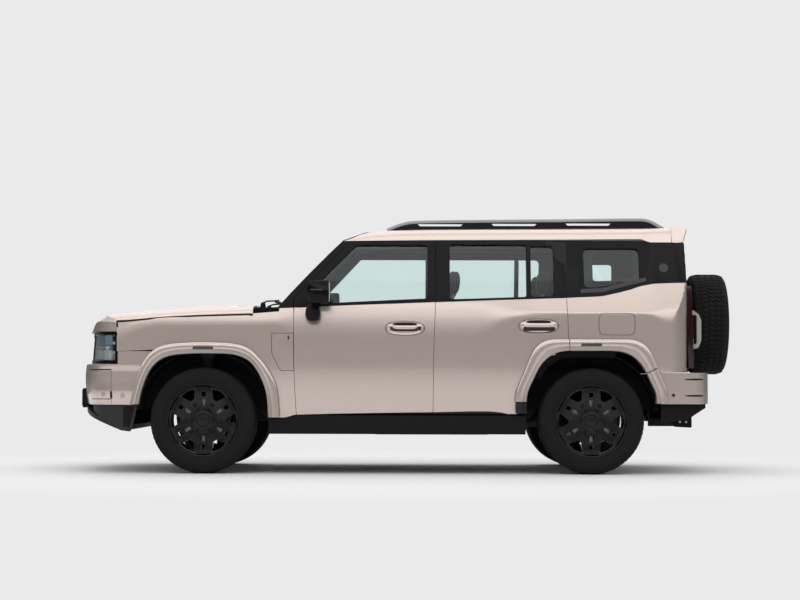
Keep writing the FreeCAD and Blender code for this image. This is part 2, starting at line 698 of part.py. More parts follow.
def door_front_outline(grow=0.0):
    """The front door seen from the side, grown or shrunk all round."""
    half_gap = v.panel_gap / 2
    return [
        (v.door_front_low_x - grow, v.door_low - grow),
        (v.hinge_x - grow, v.door_knee_height + grow),
        (v.door_pillar_x - grow, v.door_top + grow),
        (v.middle_top_x - half_gap + grow, v.door_top + grow),
        (v.middle_low_x - half_gap + grow, v.door_low - grow),
    ]


def door_rear_outline(grow=0.0):
    """The rear door seen from the side, before the wheel arch is cut."""
    half_gap = v.panel_gap / 2
    return [
        (v.middle_low_x + half_gap - grow, v.door_low - grow),
        (v.middle_top_x + half_gap - grow, v.door_top + grow),
        (v.rear_door_top_x + grow, v.door_top + grow),
        (v.rear_door_low_x + grow, v.flank_height),
        (v.rear_door_low_x + grow, v.door_low - grow),
    ]


def strip(name, depth_low, depth_high, start, end, reach=0.0):
    """The left side wall from its outer face to a depth, along a stretch of the car."""
    outer = [(-across, up) for across, up in side_points(-reach, -reach)]
    inner = [(-across, up) for across, up in side_points(depth_low, depth_high)]
    return prism(name, "front", outer + inner[::-1], start, end)


def window_front(grow):
    """The front door's window."""
    return [
        (v.window_front_low_x - grow, v.window_front_low - grow, v.window_corner),
        (v.window_knee_x - grow, v.window_knee, v.window_corner),
        (v.window_front_top_x - grow, v.window_top + grow, v.window_corner),
        (v.window_front_rear_x + grow, v.window_top + grow, v.window_corner),
        (v.window_front_rear_x + grow, v.window_front_rear_low - grow, v.window_corner),
    ]


def window_rear(start, end, grow):
    """One pane of the rear door's window, with its foot on the sloping belt."""
    length = v.window_rear_rear_x - v.window_rear_front_x
    rise = (v.window_rear_rear_low - v.window_rear_front_low) / length
    foot = [v.window_rear_front_low + rise * (x - v.window_rear_front_x) for x in (start, end)]
    return [
        (start - grow, foot[0] - grow, v.window_corner),
        (start - grow, v.window_top + grow, v.window_corner),
        (end + grow, v.window_top + grow, v.window_corner),
        (end + grow, foot[1] - grow, v.window_corner),
    ]


panes = {
    "front": [lambda grow: window_front(grow)],
    "rear": [
        lambda grow: window_rear(v.window_rear_front_x, v.window_post_x, grow),
        lambda grow: window_rear(v.window_post_x + v.window_post_width, v.window_rear_rear_x, grow),
    ],
}


def door_parts(which, outer_line, start, end):
    """A left door and its glass, and the solid that its opening is cut with."""
    name = "door_" + which
    flange = common(name + "_flange", strip(name + "_skin", v.skin_depth, v.skin_depth, start, end),
                    prism(name + "_line", "side", outer_line(0), -span, 0))
    inside = common(name + "_box", strip(name + "_core", v.door_thickness, v.frame_thickness, start, end),
                    prism(name + "_core_line", "side", outer_line(-v.flange_width), -span, 0))
    windows = [prism(f"{name}_window_{index}", "side", pane(0), -span, 0)
               for index, pane in enumerate(panes[which])]
    handle = box(name + "_handle",
                 (f"handle_{which}_x - handle_length / 2", f"handle_{which}_x + handle_length / 2"),
                 ("-body_half_width - handle_reach", "-body_half_width + skin_depth / 2"),
                 ("handle_height - handle_width / 2", "handle_height + handle_width / 2"))
    solid = fused(name + "_solid", flange, inside, handle)
    glass_deep = v.glass_depth + v.glass_thickness
    sheet_outer = strip(name + "_sheet_outer", glass_deep, glass_deep, start, end)
    sheet_inner = strip(name + "_sheet_inner", v.glass_depth, v.glass_depth, start, end, v.overrun)
    sheet_glass = cut(name + "_sheet", sheet_outer, sheet_inner)
    glass = [common(f"{name}_pane_{index}", sheet_glass,
                    prism(f"{name}_pane_line_{index}", "side", pane(-v.seat_gap), -span, 0))
             for index, pane in enumerate(panes[which])]
    step = v.skin_depth + v.seal_gap
    opening = fused(
        name + "_opening",
        common(name + "_opening_flange",
               strip(name + "_opening_skin", step, step, start - v.overrun, end + v.overrun, v.overrun),
               prism(name + "_opening_line", "side", outer_line(v.panel_gap), -past, 0)),
        prism(name + "_opening_core", "side", outer_line(-v.flange_width + v.core_gap), -past,
              -v.roof_edge_half_width / 2),
    )
    return solid, windows, glass, opening


front_solid, front_windows, front_glass, front_door_opening = door_parts(
    "front", door_front_outline, v.hinge_x - v.overrun, v.middle_top_x + v.overrun)
rear_solid, rear_windows, rear_glass, rear_door_opening = door_parts(
    "rear", door_rear_outline, v.middle_low_x - v.overrun, v.rear_door_low_x + v.overrun)

mirror_housing = rounded(
    "mirror_housing",
    box("mirror_block", ("mirror_front_x", "mirror_rear_x"), ("-mirror_outer", "-mirror_inner"),
        ("mirror_low", "mirror_high")),
    v.mirror_rounding)
mirror_arm = fused(
    "mirror_arm",
    cylinder("mirror_foot", ALONG_Y, "mirror_arm_radius",
             "mirror_inner + mirror_arm_radius - belt_half_width", "mirror_arm_x",
             "-mirror_inner - mirror_arm_radius", "mirror_low - mirror_arm_height"),
    cylinder("mirror_neck", ALONG_Z, "mirror_arm_radius * 2 / 3", "mirror_rounding + mirror_arm_height",
             "mirror_arm_x", "-mirror_inner - mirror_arm_radius", "mirror_low - mirror_arm_height"),
)
door_front_left = node("door_front_left", cut(
    "door_front_left", fused("door_front_whole", front_solid, mirror_housing, mirror_arm), *front_windows))
node("door_front_right", mirrored("door_front_right", door_front_left))
node("glass_front_left", front_glass[0])
node("glass_front_right", mirrored("glass_front_right", front_glass[0]))

rear_flare_on_door = common(
    "rear_flare_on_door", rear_flare,
    box("rear_flare_front", ("middle_top_x", "rear_door_low_x"),
        ("-body_half_width - flare_reach - overrun", "0"), ("sill_low", "belt_height")))
rear_liner_room = cylinder(
    "rear_liner_room", ALONG_Y, "liner_radius + liner_wall + move_gap", "rear_liner_outer + move_gap",
    REAR, "-rear_liner_outer - move_gap", "tyre_radius")
door_rear_left = node("door_rear_left", cut(
    "door_rear_left", fused("door_rear_whole", rear_solid, rear_flare_on_door), rear_opening,
    rear_liner_room, *rear_windows))
node("door_rear_right", mirrored("door_rear_right", door_rear_left))
glass_rear_left = node("glass_rear_left", together("glass_rear_left", *rear_glass))
node("glass_rear_right", mirrored("glass_rear_right", glass_rear_left))


# Body sides

def quarter_line(grow):
    """The quarter window."""
    return [
        (v.quarter_front_x - grow, v.quarter_low - grow, v.window_corner),
        (v.quarter_front_x - grow, v.quarter_top + grow, v.window_corner),
        (v.quarter_rear_x + grow, v.quarter_top + grow, v.window_corner),
        (v.quarter_rear_x + grow, v.quarter_rear_low - grow, v.window_corner),
        (v.quarter_knee_x, v.quarter_low - grow, v.window_corner),
    ]


def gate_line(grow):
    """The tailgate seen from behind."""
    return both_ways([
        (v.gate_half_width + grow, v.gate_low - grow),
        (v.gate_half_width + grow, v.belt_height),
        (v.gate_top_half_width + grow, v.gate_top + grow),
    ])


def gate_window(grow):
    """The tailgate's window seen from behind."""
    return both_ways([
        (v.gate_window_half_width + grow, v.gate_window_low - grow, v.window_corner),
        (v.gate_window_top_half_width + grow, v.gate_window_top + grow, v.window_corner),
    ])


def rear_slab(name, near, far):
    """The rear wall between two depths behind its outer face."""
    return prism(name, "side", [
        (rear_line(v.rear_low, far), v.rear_low - v.overrun),
        (rear_line(v.rear_low, near), v.rear_low - v.overrun),
        (rear_line(v.gutter_height, near), v.gutter_height),
        (rear_line(v.gutter_height, far), v.gutter_height),
    ], -span, span)


gate_deep = v.rear_thickness * 3
gate_opening = fused(
    "gate_opening",
    common("gate_opening_flange", rear_slab("gate_opening_skin", -v.overrun, v.skin_depth + v.seal_gap),
           prism("gate_opening_line", "front", gate_line(v.panel_gap), v.corner_start_x,
                 v.rear_face_x + span)),
    prism("gate_opening_core", "front", gate_line(-v.flange_width + v.core_gap), v.rear_face_x - gate_deep,
          v.rear_face_x + span),
)
screen_opening = prism("screen_opening", "front", both_ways([
    (v.screen_low_half_width, v.screen_foot_height - v.overrun * 2),
    (v.screen_low_half_width, v.screen_foot_height),
    (v.screen_top_half_width, v.gutter_height - v.panel_gap),
]), v.screen_foot_x - v.overrun, v.door_pillar_x + v.overrun)
quarter_opening = prism("quarter_opening", "side", quarter_line(0), -span, -v.roof_edge_half_width / 2)
left_half = box("left_half", ("screen_foot_x - overrun", "rear_face_x + overrun"),
                ("-body_half_width - overrun", "-gate_top_half_width + screen_low_half_width / 4"),
                ("body_low - overrun", "gutter_height"))
fender_room = box("fender_room", ("screen_foot_x - overrun", "door_front_low_x"),
                  ("-body_half_width - overrun", "-cowl_half_width - overrun / 2"),
                  ("body_low - overrun", "crease_rear + crease_step"))
shoulder_room = box("shoulder_room", ("screen_foot_x - overrun", "door_front_low_x"),
                    ("-body_half_width - overrun", "-cowl_half_width"),
                    ("crease_rear - crease_step * 2", "bonnet_rear_height"))
dash_room = box("dash_room", ("pillar_front_x - overrun", "door_front_low_x + overrun"),
                ("-dash_half_width - seat_gap", "0"), ("body_low - overrun", "screen_foot_height"))
lower_rear_room = box("lower_rear_room", (REAR, "rear_face_x + overrun"),
                      ("-body_half_width - overrun", "0"), ("body_low - overrun", "rear_low"))
body_side = cut(
    "body_side", common("body_side_raw", cabin_shell, left_half), front_door_opening, rear_door_opening,
    screen_opening, quarter_opening, gate_opening, rear_opening, fender_room, shoulder_room, dash_room,
    lower_rear_room, rear_liner_room)
rear_flare_on_body = common(
    "rear_flare_on_body", rear_flare,
    box("rear_flare_back", ("rear_door_low_x + panel_gap", "rear_face_x"),
        ("-body_half_width - flare_reach - overrun", "0"), ("rear_low", "belt_height")))


def edge_at(low, high, height):
    """How far along the car a slanting edge is at a height."""
    share = (height - low[1]) / (high[1] - low[1])
    return low[0] + (high[0] - low[0]) * share


def hinge_leaves(name, low, high):
    """Two leaves on a pillar, seated against the front of a door's inner box."""
    leaves = []
    for middle in (v.hinge_low, v.hinge_high):
        foot, head = middle - v.hinge_height / 2, middle + v.hinge_height / 2
        foot_x = edge_at(low, high, foot) - v.seat_gap
        head_x = edge_at(low, high, head) - v.seat_gap
        leaves.append(prism(f"{name}_{len(leaves)}", "side", [
            (foot_x, foot), (foot_x - v.core_gap * 2, foot), (head_x - v.core_gap * 2, head), (head_x, head),
        ], -v.body_half_width + v.door_thickness - v.hinge_depth, -v.body_half_width + v.door_thickness))
    return leaves


front_core, rear_core = door_front_outline(-v.flange_width), door_rear_outline(-v.flange_width)
door_hinges = (hinge_leaves("front_door_hinge", front_core[0], front_core[1])
               + hinge_leaves("rear_door_hinge", rear_core[0], rear_core[1]))
body_side_left = fused("body_side_left", body_side, rear_flare_on_body, *door_hinges)
body_side_right = mirrored("body_side_right", body_side_left)

# Roof, spoiler and rails
node("roof_panel", common(
    "roof_panel", cabin_shell,
    box("roof_room", ("screen_top_x - overrun", "spoiler_front_x - panel_gap / 2"),
        ("-body_half_width", "body_half_width"),
        ("gutter_height", "roof_edge_height + roof_crown_height + overrun"))))
spoiler_side = prism("spoiler_side", "side", [
    (v.spoiler_front_x, v.gutter_height + v.seat_gap),
    (v.spoiler_front_x, v.spoiler_height),
    (v.spoiler_top_x, v.spoiler_height),
    (v.spoiler_tip_x, v.spoiler_tip_height),
    (v.spoiler_low_x, v.gutter_height + v.seat_gap),
], -span, span)
node("roof_spoiler", common(
    "roof_spoiler", spoiler_side,
    prism("spoiler_front", "front", cabin_section(0, 0, 0), v.spoiler_front_x - v.overrun,
          v.spoiler_tip_x + v.overrun)))


def rail_top(x):
    """A roof rail's height along the car."""
    share = (x - v.rail_front_x) / (v.rail_rear_x - v.rail_front_x)
    return v.rail_front_top + (v.rail_rear_top - v.rail_front_top) * share


rail_base = v.roof_edge_height - v.seat_gap
rail_inner = v.rail_half_width - v.rail_width / 2
rail_body = prism("rail_body", "side", [
    (v.rail_front_x, rail_base),
    (v.rail_front_x + v.rail_ramp, rail_top(v.rail_front_x), v.rail_ramp),
    (v.rail_rear_x - v.rail_ramp, rail_top(v.rail_rear_x), v.rail_ramp),
    (v.rail_rear_x, rail_base),
], -rail_inner - v.rail_width, -rail_inner)
rail_slots = []
for index in range(3):
    slot_start = v.rail_slot_first_x + index * v.rail_slot_pitch
    slot_top = rail_top(slot_start) - v.rail_cap
    rail_slots.append(prism(f"rail_slot_{index}", "side", [
        (slot_start, slot_top - v.rail_slot_height, v.rail_slot_height / 3),
        (slot_start, slot_top, v.rail_slot_height / 3),
        (slot_start + v.rail_slot_length, slot_top, v.rail_slot_height / 3),
        (slot_start + v.rail_slot_length, slot_top - v.rail_slot_height, v.rail_slot_height / 3),
    ], -span, 0))
roof_rail = cut("roof_rail_left", rail_body, *rail_slots, cabin_outer)
node("roof_rails", together("roof_rails", roof_rail, mirrored("roof_rail_right", roof_rail)))

# Windscreen and quarter windows
screen_slope = math.atan2(v.gutter_height - v.screen_foot_height, v.screen_top_x - v.screen_foot_x)
screen_shift = v.glass_depth / math.sin(screen_slope)
screen_thick = v.glass_thickness / math.sin(screen_slope)
screen_sheet = prism("screen_sheet", "side", [
    (v.screen_foot_x + screen_shift, v.screen_foot_height),
    (v.screen_top_x + screen_shift, v.gutter_height),
    (v.screen_top_x + screen_shift + screen_thick, v.gutter_height),
    (v.screen_foot_x + screen_shift + screen_thick, v.screen_foot_height),
], -span, span)
windscreen = common("windscreen", screen_sheet, prism("screen_line", "front", both_ways([
    (v.screen_low_half_width - v.seat_gap, v.screen_foot_height + v.seat_gap),
    (v.screen_top_half_width - v.seat_gap, v.gutter_height - v.panel_gap - v.seat_gap),
]), v.screen_foot_x - v.overrun, v.door_pillar_x + v.overrun * 2))
quarter_deep = v.glass_depth + v.glass_thickness
quarter_sheet = cut(
    "quarter_sheet",
    strip("quarter_outer", quarter_deep, quarter_deep, v.rear_door_low_x, v.rear_face_x),
    strip("quarter_inner", v.glass_depth, v.glass_depth, v.rear_door_low_x - v.overrun,
          v.rear_face_x + v.overrun, v.overrun))
quarter_pane = common("quarter_pane", quarter_sheet,
                      prism("quarter_pane_line", "side", quarter_line(-v.seat_gap), -span, 0))
node("fixed_glass", together(
    "fixed_glass", windscreen, quarter_pane, mirrored("quarter_right", quarter_pane)))


# Nose

def nose_section(x, side, crease, edge, inset):
    """One cross-section of the nose."""
    low = v.nose_low - v.overrun * 4
    right = [
        (x, side - v.nose_low_tuck, low),
        (x, side, v.waist_height),
        (x, side, crease - v.crease_step),
        (x, side - v.nose_low_tuck / 3, crease),
        (x, side - v.bonnet_edge_inset, edge - inset),
        (x, side / 2, edge + v.nose_low_tuck / 2 - inset),
    ]
    left = [(x, -y, z) for _, y, z in reversed(right)]
    points = [FreeCAD.Vector(*point) for point in right + left]
    return Part.makePolygon(points + points[:1])


nose_plan = [
    (v.nose_x, v.nose_half_width_one),
    (v.nose_x + v.nose_station_two, v.nose_half_width_two),
    (v.nose_x + v.nose_station_three, v.nose_half_width_three),
    (v.nose_x + v.nose_station_four, v.nose_half_width_four),
    (v.nose_x + v.nose_station_five, v.nose_half_width_five),
    (v.nose_x + v.nose_station_six, v.nose_half_width_six),
    (v.nose_x + v.nose_station_seven, v.nose_half_width_seven),
    (v.lamp_rear_x, v.body_half_width - v.nose_low_tuck / 3),
    (front_x, v.body_half_width),
    (v.hinge_x, v.body_half_width),
]


def nose_stations(inset, setback):
    """The nose's sections: how far along, how wide, and the heights of the crease and the bonnet's edge."""
    stations = []
    for index, (x, half) in enumerate(nose_plan):
        before = nose_plan[max(index - 1, 0)]
        after = nose_plan[min(index + 1, len(nose_plan) - 1)]
        along, across = after[0] - before[0], after[1] - before[1]
        length = math.hypot(along, across)
        if x < v.lamp_rear_x:
            share = (x - v.nose_x) / (v.lamp_rear_x - v.nose_x)
            crease = v.brow_height + (v.crease_front - v.brow_height) * min(share * 2, 1)
            edge = v.bonnet_roll_height + (v.crease_front + v.crease_step - v.bonnet_roll_height) * share
        else:
            crease = {v.lamp_rear_x: v.crease_front, front_x: v.crease_middle, v.hinge_x: v.crease_rear}[x]
            edge = crease + v.crease_step
        stations.append((x + (inset + setback) * across / length, half - inset * along / length,
                         crease, edge))
    return stations


def nose_solid(name, inset, setback):
    """The nose as one solid through its cross-sections."""
    solid = doc.addObject("Part::Feature", name)
    sections = [nose_section(*station, inset) for station in nose_stations(inset, setback)]
    solid.Shape = Part.makeLoft(sections, True, True)
    return solid


def nose_profile(inset):
    """The nose seen from the side."""
    low = v.nose_low - (v.overrun if inset else 0)
    rear = v.hinge_x + v.overrun * bool(inset)
    return [
        (v.nose_x + inset, low),
        (v.nose_x + inset, v.ledge_height - inset),
        (v.lamp_face_x + inset, v.ledge_height - inset),
        (v.brow_x + inset, v.brow_height - inset / 2),
        (v.bonnet_roll_x + inset / 2, v.bonnet_roll_height - inset),
        (v.lamp_rear_x, v.bonnet_front_height - inset),
        (front_x, v.bonnet_middle_height - inset),
        (v.bonnet_rear_x, v.bonnet_rear_height - inset),
        (rear, v.bonnet_rear_height - inset),
        (rear, low),
    ]


def nose_form(name, inset):
    """The nose between the ground and its profile: its upper part stands back behind the bumper's ledge."""
    ledge = v.ledge_height - inset
    below = prism(name + "_below", "side", [
        (v.nose_x - v.overrun, v.nose_low - v.overrun * 2), (v.nose_x - v.overrun, ledge),
        (v.hinge_x + v.overrun, ledge), (v.hinge_x + v.overrun, v.nose_low - v.overrun * 2)], -span, span)
    above = prism(name + "_above", "side", [
        (v.nose_x - v.overrun, ledge), (v.nose_x - v.overrun, v.bonnet_rear_height + v.overrun),
        (v.hinge_x + v.overrun, v.bonnet_rear_height + v.overrun),
        (v.hinge_x + v.overrun, ledge)], -span, span)
    setback = v.lamp_face_x - v.nose_x
    whole = fused(
        name + "_whole",
        common(name + "_lower", nose_solid(name + "_lower_solid", inset, 0), below),
        common(name + "_upper", nose_solid(name + "_upper_solid", inset, setback), above))
    return common(name, whole, prism(name + "_side", "side", nose_profile(inset), -span, span))


nose_outer = nose_form("nose_outer", 0)
nose_inner = nose_form("nose_inner", v.nose_skin)
nose_shell = cut("nose_shell", nose_outer, nose_inner)
gap = v.panel_gap


def side_slice(name, source, corners, low=-span, high=span):
    """The part of a shell inside an outline seen from the side."""
    return common(name, source, prism(name + "_line", "side", corners, low, high))


bonnet_line = [
    (v.nose_x - v.overrun, v.lamp_top + gap),
    (v.lamp_rear_x, v.lamp_top + gap),
    (v.lamp_rear_x, v.crease_front + gap / 2),
    (front_x, v.crease_middle + gap / 2),
    (v.bonnet_rear_x, v.crease_middle + (v.crease_rear - v.crease_middle) / 2 + gap / 2),
    (v.bonnet_rear_x, v.bonnet_rear_height + v.overrun),
    (v.nose_x - v.overrun, v.bonnet_rear_height + v.overrun),
]
node("bonnet", side_slice("bonnet", nose_shell, bonnet_line))

fender_line = [
    (v.door_front_low_x - gap, v.flare_rear_low),
    (v.hinge_x - gap, v.belt_height),
    (v.hinge_x - gap, v.screen_foot_height - gap),
    (v.screen_foot_x - gap, v.screen_foot_height - gap),
    (v.screen_foot_x - gap, v.bonnet_rear_height + v.overrun),
    (v.bonnet_rear_x + gap, v.bonnet_rear_height + v.overrun),
    (v.bonnet_rear_x + gap, v.crease_middle + (v.crease_rear - v.crease_middle) / 2 - gap / 2),
    (front_x, v.crease_middle - gap / 2),
    (v.lamp_rear_x + gap, v.crease_front - gap / 2),
    (v.lamp_rear_x + gap, v.seam_height + gap / 2),
    (v.seam_rear_x, v.seam_height + gap / 2),
    (v.seam_rear_x, v.flare_rear_low),
]
fender_skin = cut(
    "fender_skin",
    side_slice("fender_slice", nose_shell, fender_line, -span, -v.cowl_half_width - gap),
    front_opening)
front_fender_left = node("front_fender_left", fused("front_fender_left", fender_skin, front_flare))
node("front_fender_right", mirrored("front_fender_right", front_fender_left))

flare_room = prism("flare_room", "side",
                   flare_outline(front_x, v.front_flare_top, v.sill_low, gap), -past, past)
bumper_line = [
    (v.nose_x - v.overrun, v.nose_low),
    (v.nose_x - v.overrun, v.lamp_low - v.seat_gap),
    (v.lamp_rear_x + gap, v.lamp_low - v.seat_gap),
    (v.lamp_rear_x + gap, v.seam_height - gap / 2),
    (v.seam_rear_x, v.seam_height - gap / 2),
    (v.seam_rear_x, v.nose_low),
]
number_plate = box("number_plate", ("nose_x - plate_reach", "nose_x + nose_skin / 2"),
                   ("-plate_half_width", "plate_half_width"), ("plate_low", "plate_low + plate_height"))
node("front_bumper", fused(
    "front_bumper",
    cut("bumper_skin", side_slice("bumper_slice", nose_shell, bumper_line), flare_room),
    number_plate))

lamp_line = [
    (v.nose_x - v.overrun, v.lamp_low),
    (v.nose_x - v.overrun, v.lamp_top),
    (v.lamp_rear_x, v.lamp_top),
    (v.lamp_rear_x, v.lamp_low),
]
headlamp = side_slice("headlamp_left", nose_shell, lamp_line, -span, -v.lamp_inner)
node("headlamps", together("headlamps", headlamp, mirrored("headlamp_right", headlamp)))

grille_zone = side_slice("grille_zone", nose_shell, lamp_line, -v.lamp_inner + gap, v.lamp_inner - gap)
grille_pitch = (v.lamp_top - v.lamp_low - 2 * v.grille_margin) / v.grille_bars
grille_slots = []
for index in range(int(v.grille_bars)):
    slot_low = v.lamp_low + v.grille_margin + (index + v.grille_bar_share / 2) * grille_pitch
    slot_high = slot_low + grille_pitch * (1 - v.grille_bar_share)
    grille_slots.append(prism(f"grille_slot_{index}", "front", both_ways([
        (v.grille_half_width, slot_low, grille_pitch / 5),
        (v.grille_half_width, slot_high, grille_pitch / 5),
    ]), v.nose_x - v.overrun, v.brow_x + v.nose_skin + v.overrun))
node("grille", cut("grille", grille_zone, *grille_slots))

cowl_half = v.cowl_half_width + gap - v.seat_gap
cowl_skin = side_slice("cowl_skin", nose_shell, [
    (v.bonnet_rear_x + gap, v.bonnet_rear_height - v.cowl_depth * 2),
    (v.bonnet_rear_x + gap, v.bonnet_rear_height + v.overrun),
    (v.screen_foot_x - v.seat_gap, v.bonnet_rear_height + v.overrun),
    (v.screen_foot_x - v.seat_gap, v.bonnet_rear_height - v.cowl_depth * 2),
], -cowl_half, cowl_half)


def bonnet_underside(x):
    """The height of the bonnet's flat underside near its rear edge."""
    share = (x - front_x) / (v.hinge_x - front_x)
    edge = v.crease_middle + (v.crease_rear - v.crease_middle) * share + v.crease_step
    return edge + v.nose_low_tuck / 2 - v.nose_skin


# Two feet under the bonnet's rear edge carry it at its hinges.
bonnet_seat = bonnet_underside(v.bonnet_rear_x - v.hinge_depth) - v.seat_gap
bonnet_foot = prism("bonnet_foot", "side", [
    (v.bonnet_rear_x - v.hinge_depth, bonnet_seat - v.nose_skin),
    (v.bonnet_rear_x - v.hinge_depth, bonnet_seat),
    (v.bonnet_rear_x + gap, bonnet_seat),
    (v.bonnet_rear_x + gap, bonnet_seat + v.nose_skin / 2),
    (v.bonnet_rear_x + gap + v.hinge_depth, bonnet_seat + v.nose_skin / 2),
    (v.bonnet_rear_x + gap + v.hinge_depth, bonnet_seat - v.nose_skin),
], -v.seat_y, -v.seat_y + v.hinge_height)
node("cowl_panel", fused(
    "cowl_panel", cowl_skin, bonnet_foot, mirrored("bonnet_foot_right", bonnet_foot)))


def valance(name, corners, wall, half):
    """A tray under a bumper: its outline with an inner one cut out of it."""
    inner = [(x, z + wall) for x, z in corners]
    tray = prism(name + "_outer", "side", corners, -half, half)
    hollow = prism(name + "_hollow", "side", inner, -half + wall, half - wall)
    return cut(name, tray, hollow)


front_valance_line = [
    (v.nose_x + v.seat_gap, v.nose_low - v.seat_gap),
    (v.nose_x + v.seat_gap, v.valance_front_low),
    (v.valance_low_x, v.valance_low),
    (v.valance_rear_x, v.valance_low),
    (v.valance_rear_x, v.nose_low - v.seat_gap),
]
valance_edge = [(x, -min(half - v.nose_low_tuck, v.valance_half_width)) for x, half in nose_plan[:7]]
valance_edge.append((v.valance_rear_x, -v.valance_half_width))
valance_plan = prism("valance_plan", "top", valance_edge + [(x, -y) for x, y in reversed(valance_edge)],
                     v.valance_low, v.nose_low)
plate_room = box("plate_room", ("nose_x - overrun", "nose_x + nose_skin + move_gap"),
                 ("-plate_half_width - move_gap", "plate_half_width + move_gap"),
                 ("plate_low - move_gap", "nose_low"))
node("front_valance", cut("front_valance", common(
    "front_valance_plan", valance("front_tray", front_valance_line, v.valance_wall, v.valance_half_width),
    valance_plan), plate_room))

# Sill steps
sill = prism("sill_block", "side", [
    (front_x + v.arch_half_width, v.sill_height - gap),
    (front_x + v.arch_half_width + gap, v.sill_low),
    (rear_x - v.arch_half_width - gap, v.sill_low),
    (rear_x - v.arch_half_width, v.sill_height - gap),
], -v.sill_half_width, -v.sill_inner_half_width - v.seat_gap)
sill_cut = box("sill_top_room", ("nose_x", "hinge_x - move_gap"), ("-body_half_width - flare_reach", "0"),
               ("flare_rear_low - move_gap", "belt_height"))
sill_left = cut("sill_left", sill, sill_cut)
node("sill_cladding", together("sill_cladding", sill_left, mirrored("sill_right", sill_left)))


# Rear bumper and valance

def bumper_plan(inset_side, inset_rear):
    """The rear bumper seen from above."""
    right = [
        (v.bumper_front_x - v.overrun * bool(inset_side), v.bumper_half_width - inset_side),
        (v.bumper_corner_x - inset_rear, v.bumper_half_width - inset_side, v.corner_radius / 2),
        (v.bumper_x - inset_rear, v.bumper_flat_half_width - inset_side),
    ]
    left = [(x, -y, *more) for x, y, *more in reversed(right)]
    return right + left


node("rear_bumper", cut(
    "rear_bumper",
    prism("bumper_outer", "top", bumper_plan(0, 0), v.bumper_low, v.bumper_top),
    prism("bumper_inner", "top", bumper_plan(v.bumper_wall, v.bumper_depth), v.bumper_low - v.overrun,
          v.bumper_top + v.overrun),
    box("bumper_step_room", ("bumper_corner_x - bumper_depth", "bumper_x + overrun"),
        ("-bumper_step_half_width", "bumper_step_half_width"), ("bumper_step", "bumper_top + overrun")),
    prism("bumper_arch", "side", arch(rear_x, v.rear_arch_top, v.sill_low), -past, past)))
rear_valance_line = [
    (v.rear_valance_front_x, v.bumper_low - v.seat_gap),
    (v.rear_valance_front_x, v.rear_valance_low),
    (v.rear_valance_mid_x, v.rear_valance_mid),
    (v.rear_valance_x, v.bumper_low - v.skin_depth),
    (v.rear_valance_x, v.bumper_low - v.seat_gap),
]
hitch_room = box("hitch_room", ("receiver_rear_x - receiver_length * 2", "bumper_x"),
                 ("-receiver_inside - receiver_wall * 2", "receiver_inside + receiver_wall * 2"),
                 ("valance_low", "frame_rear_low"))
node("rear_valance", cut(
    "rear_valance",
    valance("rear_tray", rear_valance_line, v.valance_wall, v.bumper_corner_half_width - gap), hitch_room))

# Tailgate, its glass, its handle and the spare wheel's carrier
gate_flange = common(
    "gate_flange", rear_slab("gate_skin", 0, v.skin_depth),
    prism("gate_flange_line", "front", gate_line(0), v.corner_start_x, v.rear_face_x + v.overrun))
gate_core = common(
    "gate_core", rear_slab("gate_core_slab", 0, v.rear_thickness),
    prism("gate_core_line", "front", gate_line(-v.flange_width), v.corner_start_x, v.rear_face_x + v.overrun))
gate_pull = cut(
    "gate_pull",
    box("pull_block", ("rear_face_x - skin_depth", "pull_rear_x"),
        ("pull_y - pull_half_width", "pull_y + pull_half_width"), ("pull_low", "pull_top")),
    box("pull_gap", ("rear_face_x + pull_bar / 2", "pull_rear_x - pull_bar"),
        ("pull_y - pull_half_width - overrun", "pull_y + pull_half_width - pull_bar / 2"),
        ("pull_low + pull_bar", "pull_top - pull_bar")))
carrier = fused(
    "carrier",
    box("carrier_base", ("rear_face_x - skin_depth", "rear_face_x + carrier_plate"),
        ("-carrier_foot", "carrier_foot"),
        ("spare_height - carrier_radius", "spare_height + carrier_radius")),
    cylinder("carrier_post", ALONG_X, "wheel_hub_radius",
             "spare_x - rear_face_x + tyre_half_width - rim_dish - spoke_depth - seat_gap",
             "rear_face_x", "0", "spare_height"))
gate_cut_window = prism("gate_cut_window", "front", gate_window(0), v.corner_start_x, v.rear_face_x + span)
node("tailgate", cut(
    "tailgate", fused("gate_whole", gate_flange, gate_core, gate_pull, carrier), gate_cut_window))
node("tailgate_glass", common(
    "tailgate_glass", rear_slab("gate_glass_slab", v.glass_depth, v.glass_depth + v.glass_thickness),
    prism("gate_glass_line", "front", gate_window(-v.seat_gap), v.corner_start_x, v.rear_face_x + v.overrun)))

# Tail lamps on the rear corners
lamp_block = box("lamp_block", ("corner_start_x", "rear_face_x + tail_lamp_reach"),
                 ("-gate_half_width - lamp_width", "-gate_half_width - move_gap"),
                 ("tail_lamp_low", "tail_lamp_top"))
tail_lamp = cut("tail_lamp_left", common(
    "tail_lamp_zone", lamp_block, rear_slab("lamp_slab", -v.tail_lamp_reach, v.skin_depth)), cabin_inner)
gate_leaves = [box(
    f"gate_hinge_{index}",
    ("rear_face_x - rear_thickness + rear_lean", "rear_face_x - rear_lean - skin_depth / 2"),
    ("gate_half_width - flange_width + seat_gap", "gate_half_width - flange_width + core_gap * 2"),
    (f"{height} + hinge_height", f"{height} + 2 * hinge_height"))
    for index, height in enumerate(("hinge_low + hinge_height", "hinge_high"))]
lamp_room = box("lamp_room", ("rear_face_x - skin_depth - rear_lean", "rear_face_x + overrun"),
                ("-gate_half_width - lamp_width - seat_gap", "-gate_half_width"),
                ("tail_lamp_low - seat_gap", "tail_lamp_top + seat_gap"))


# Wheels

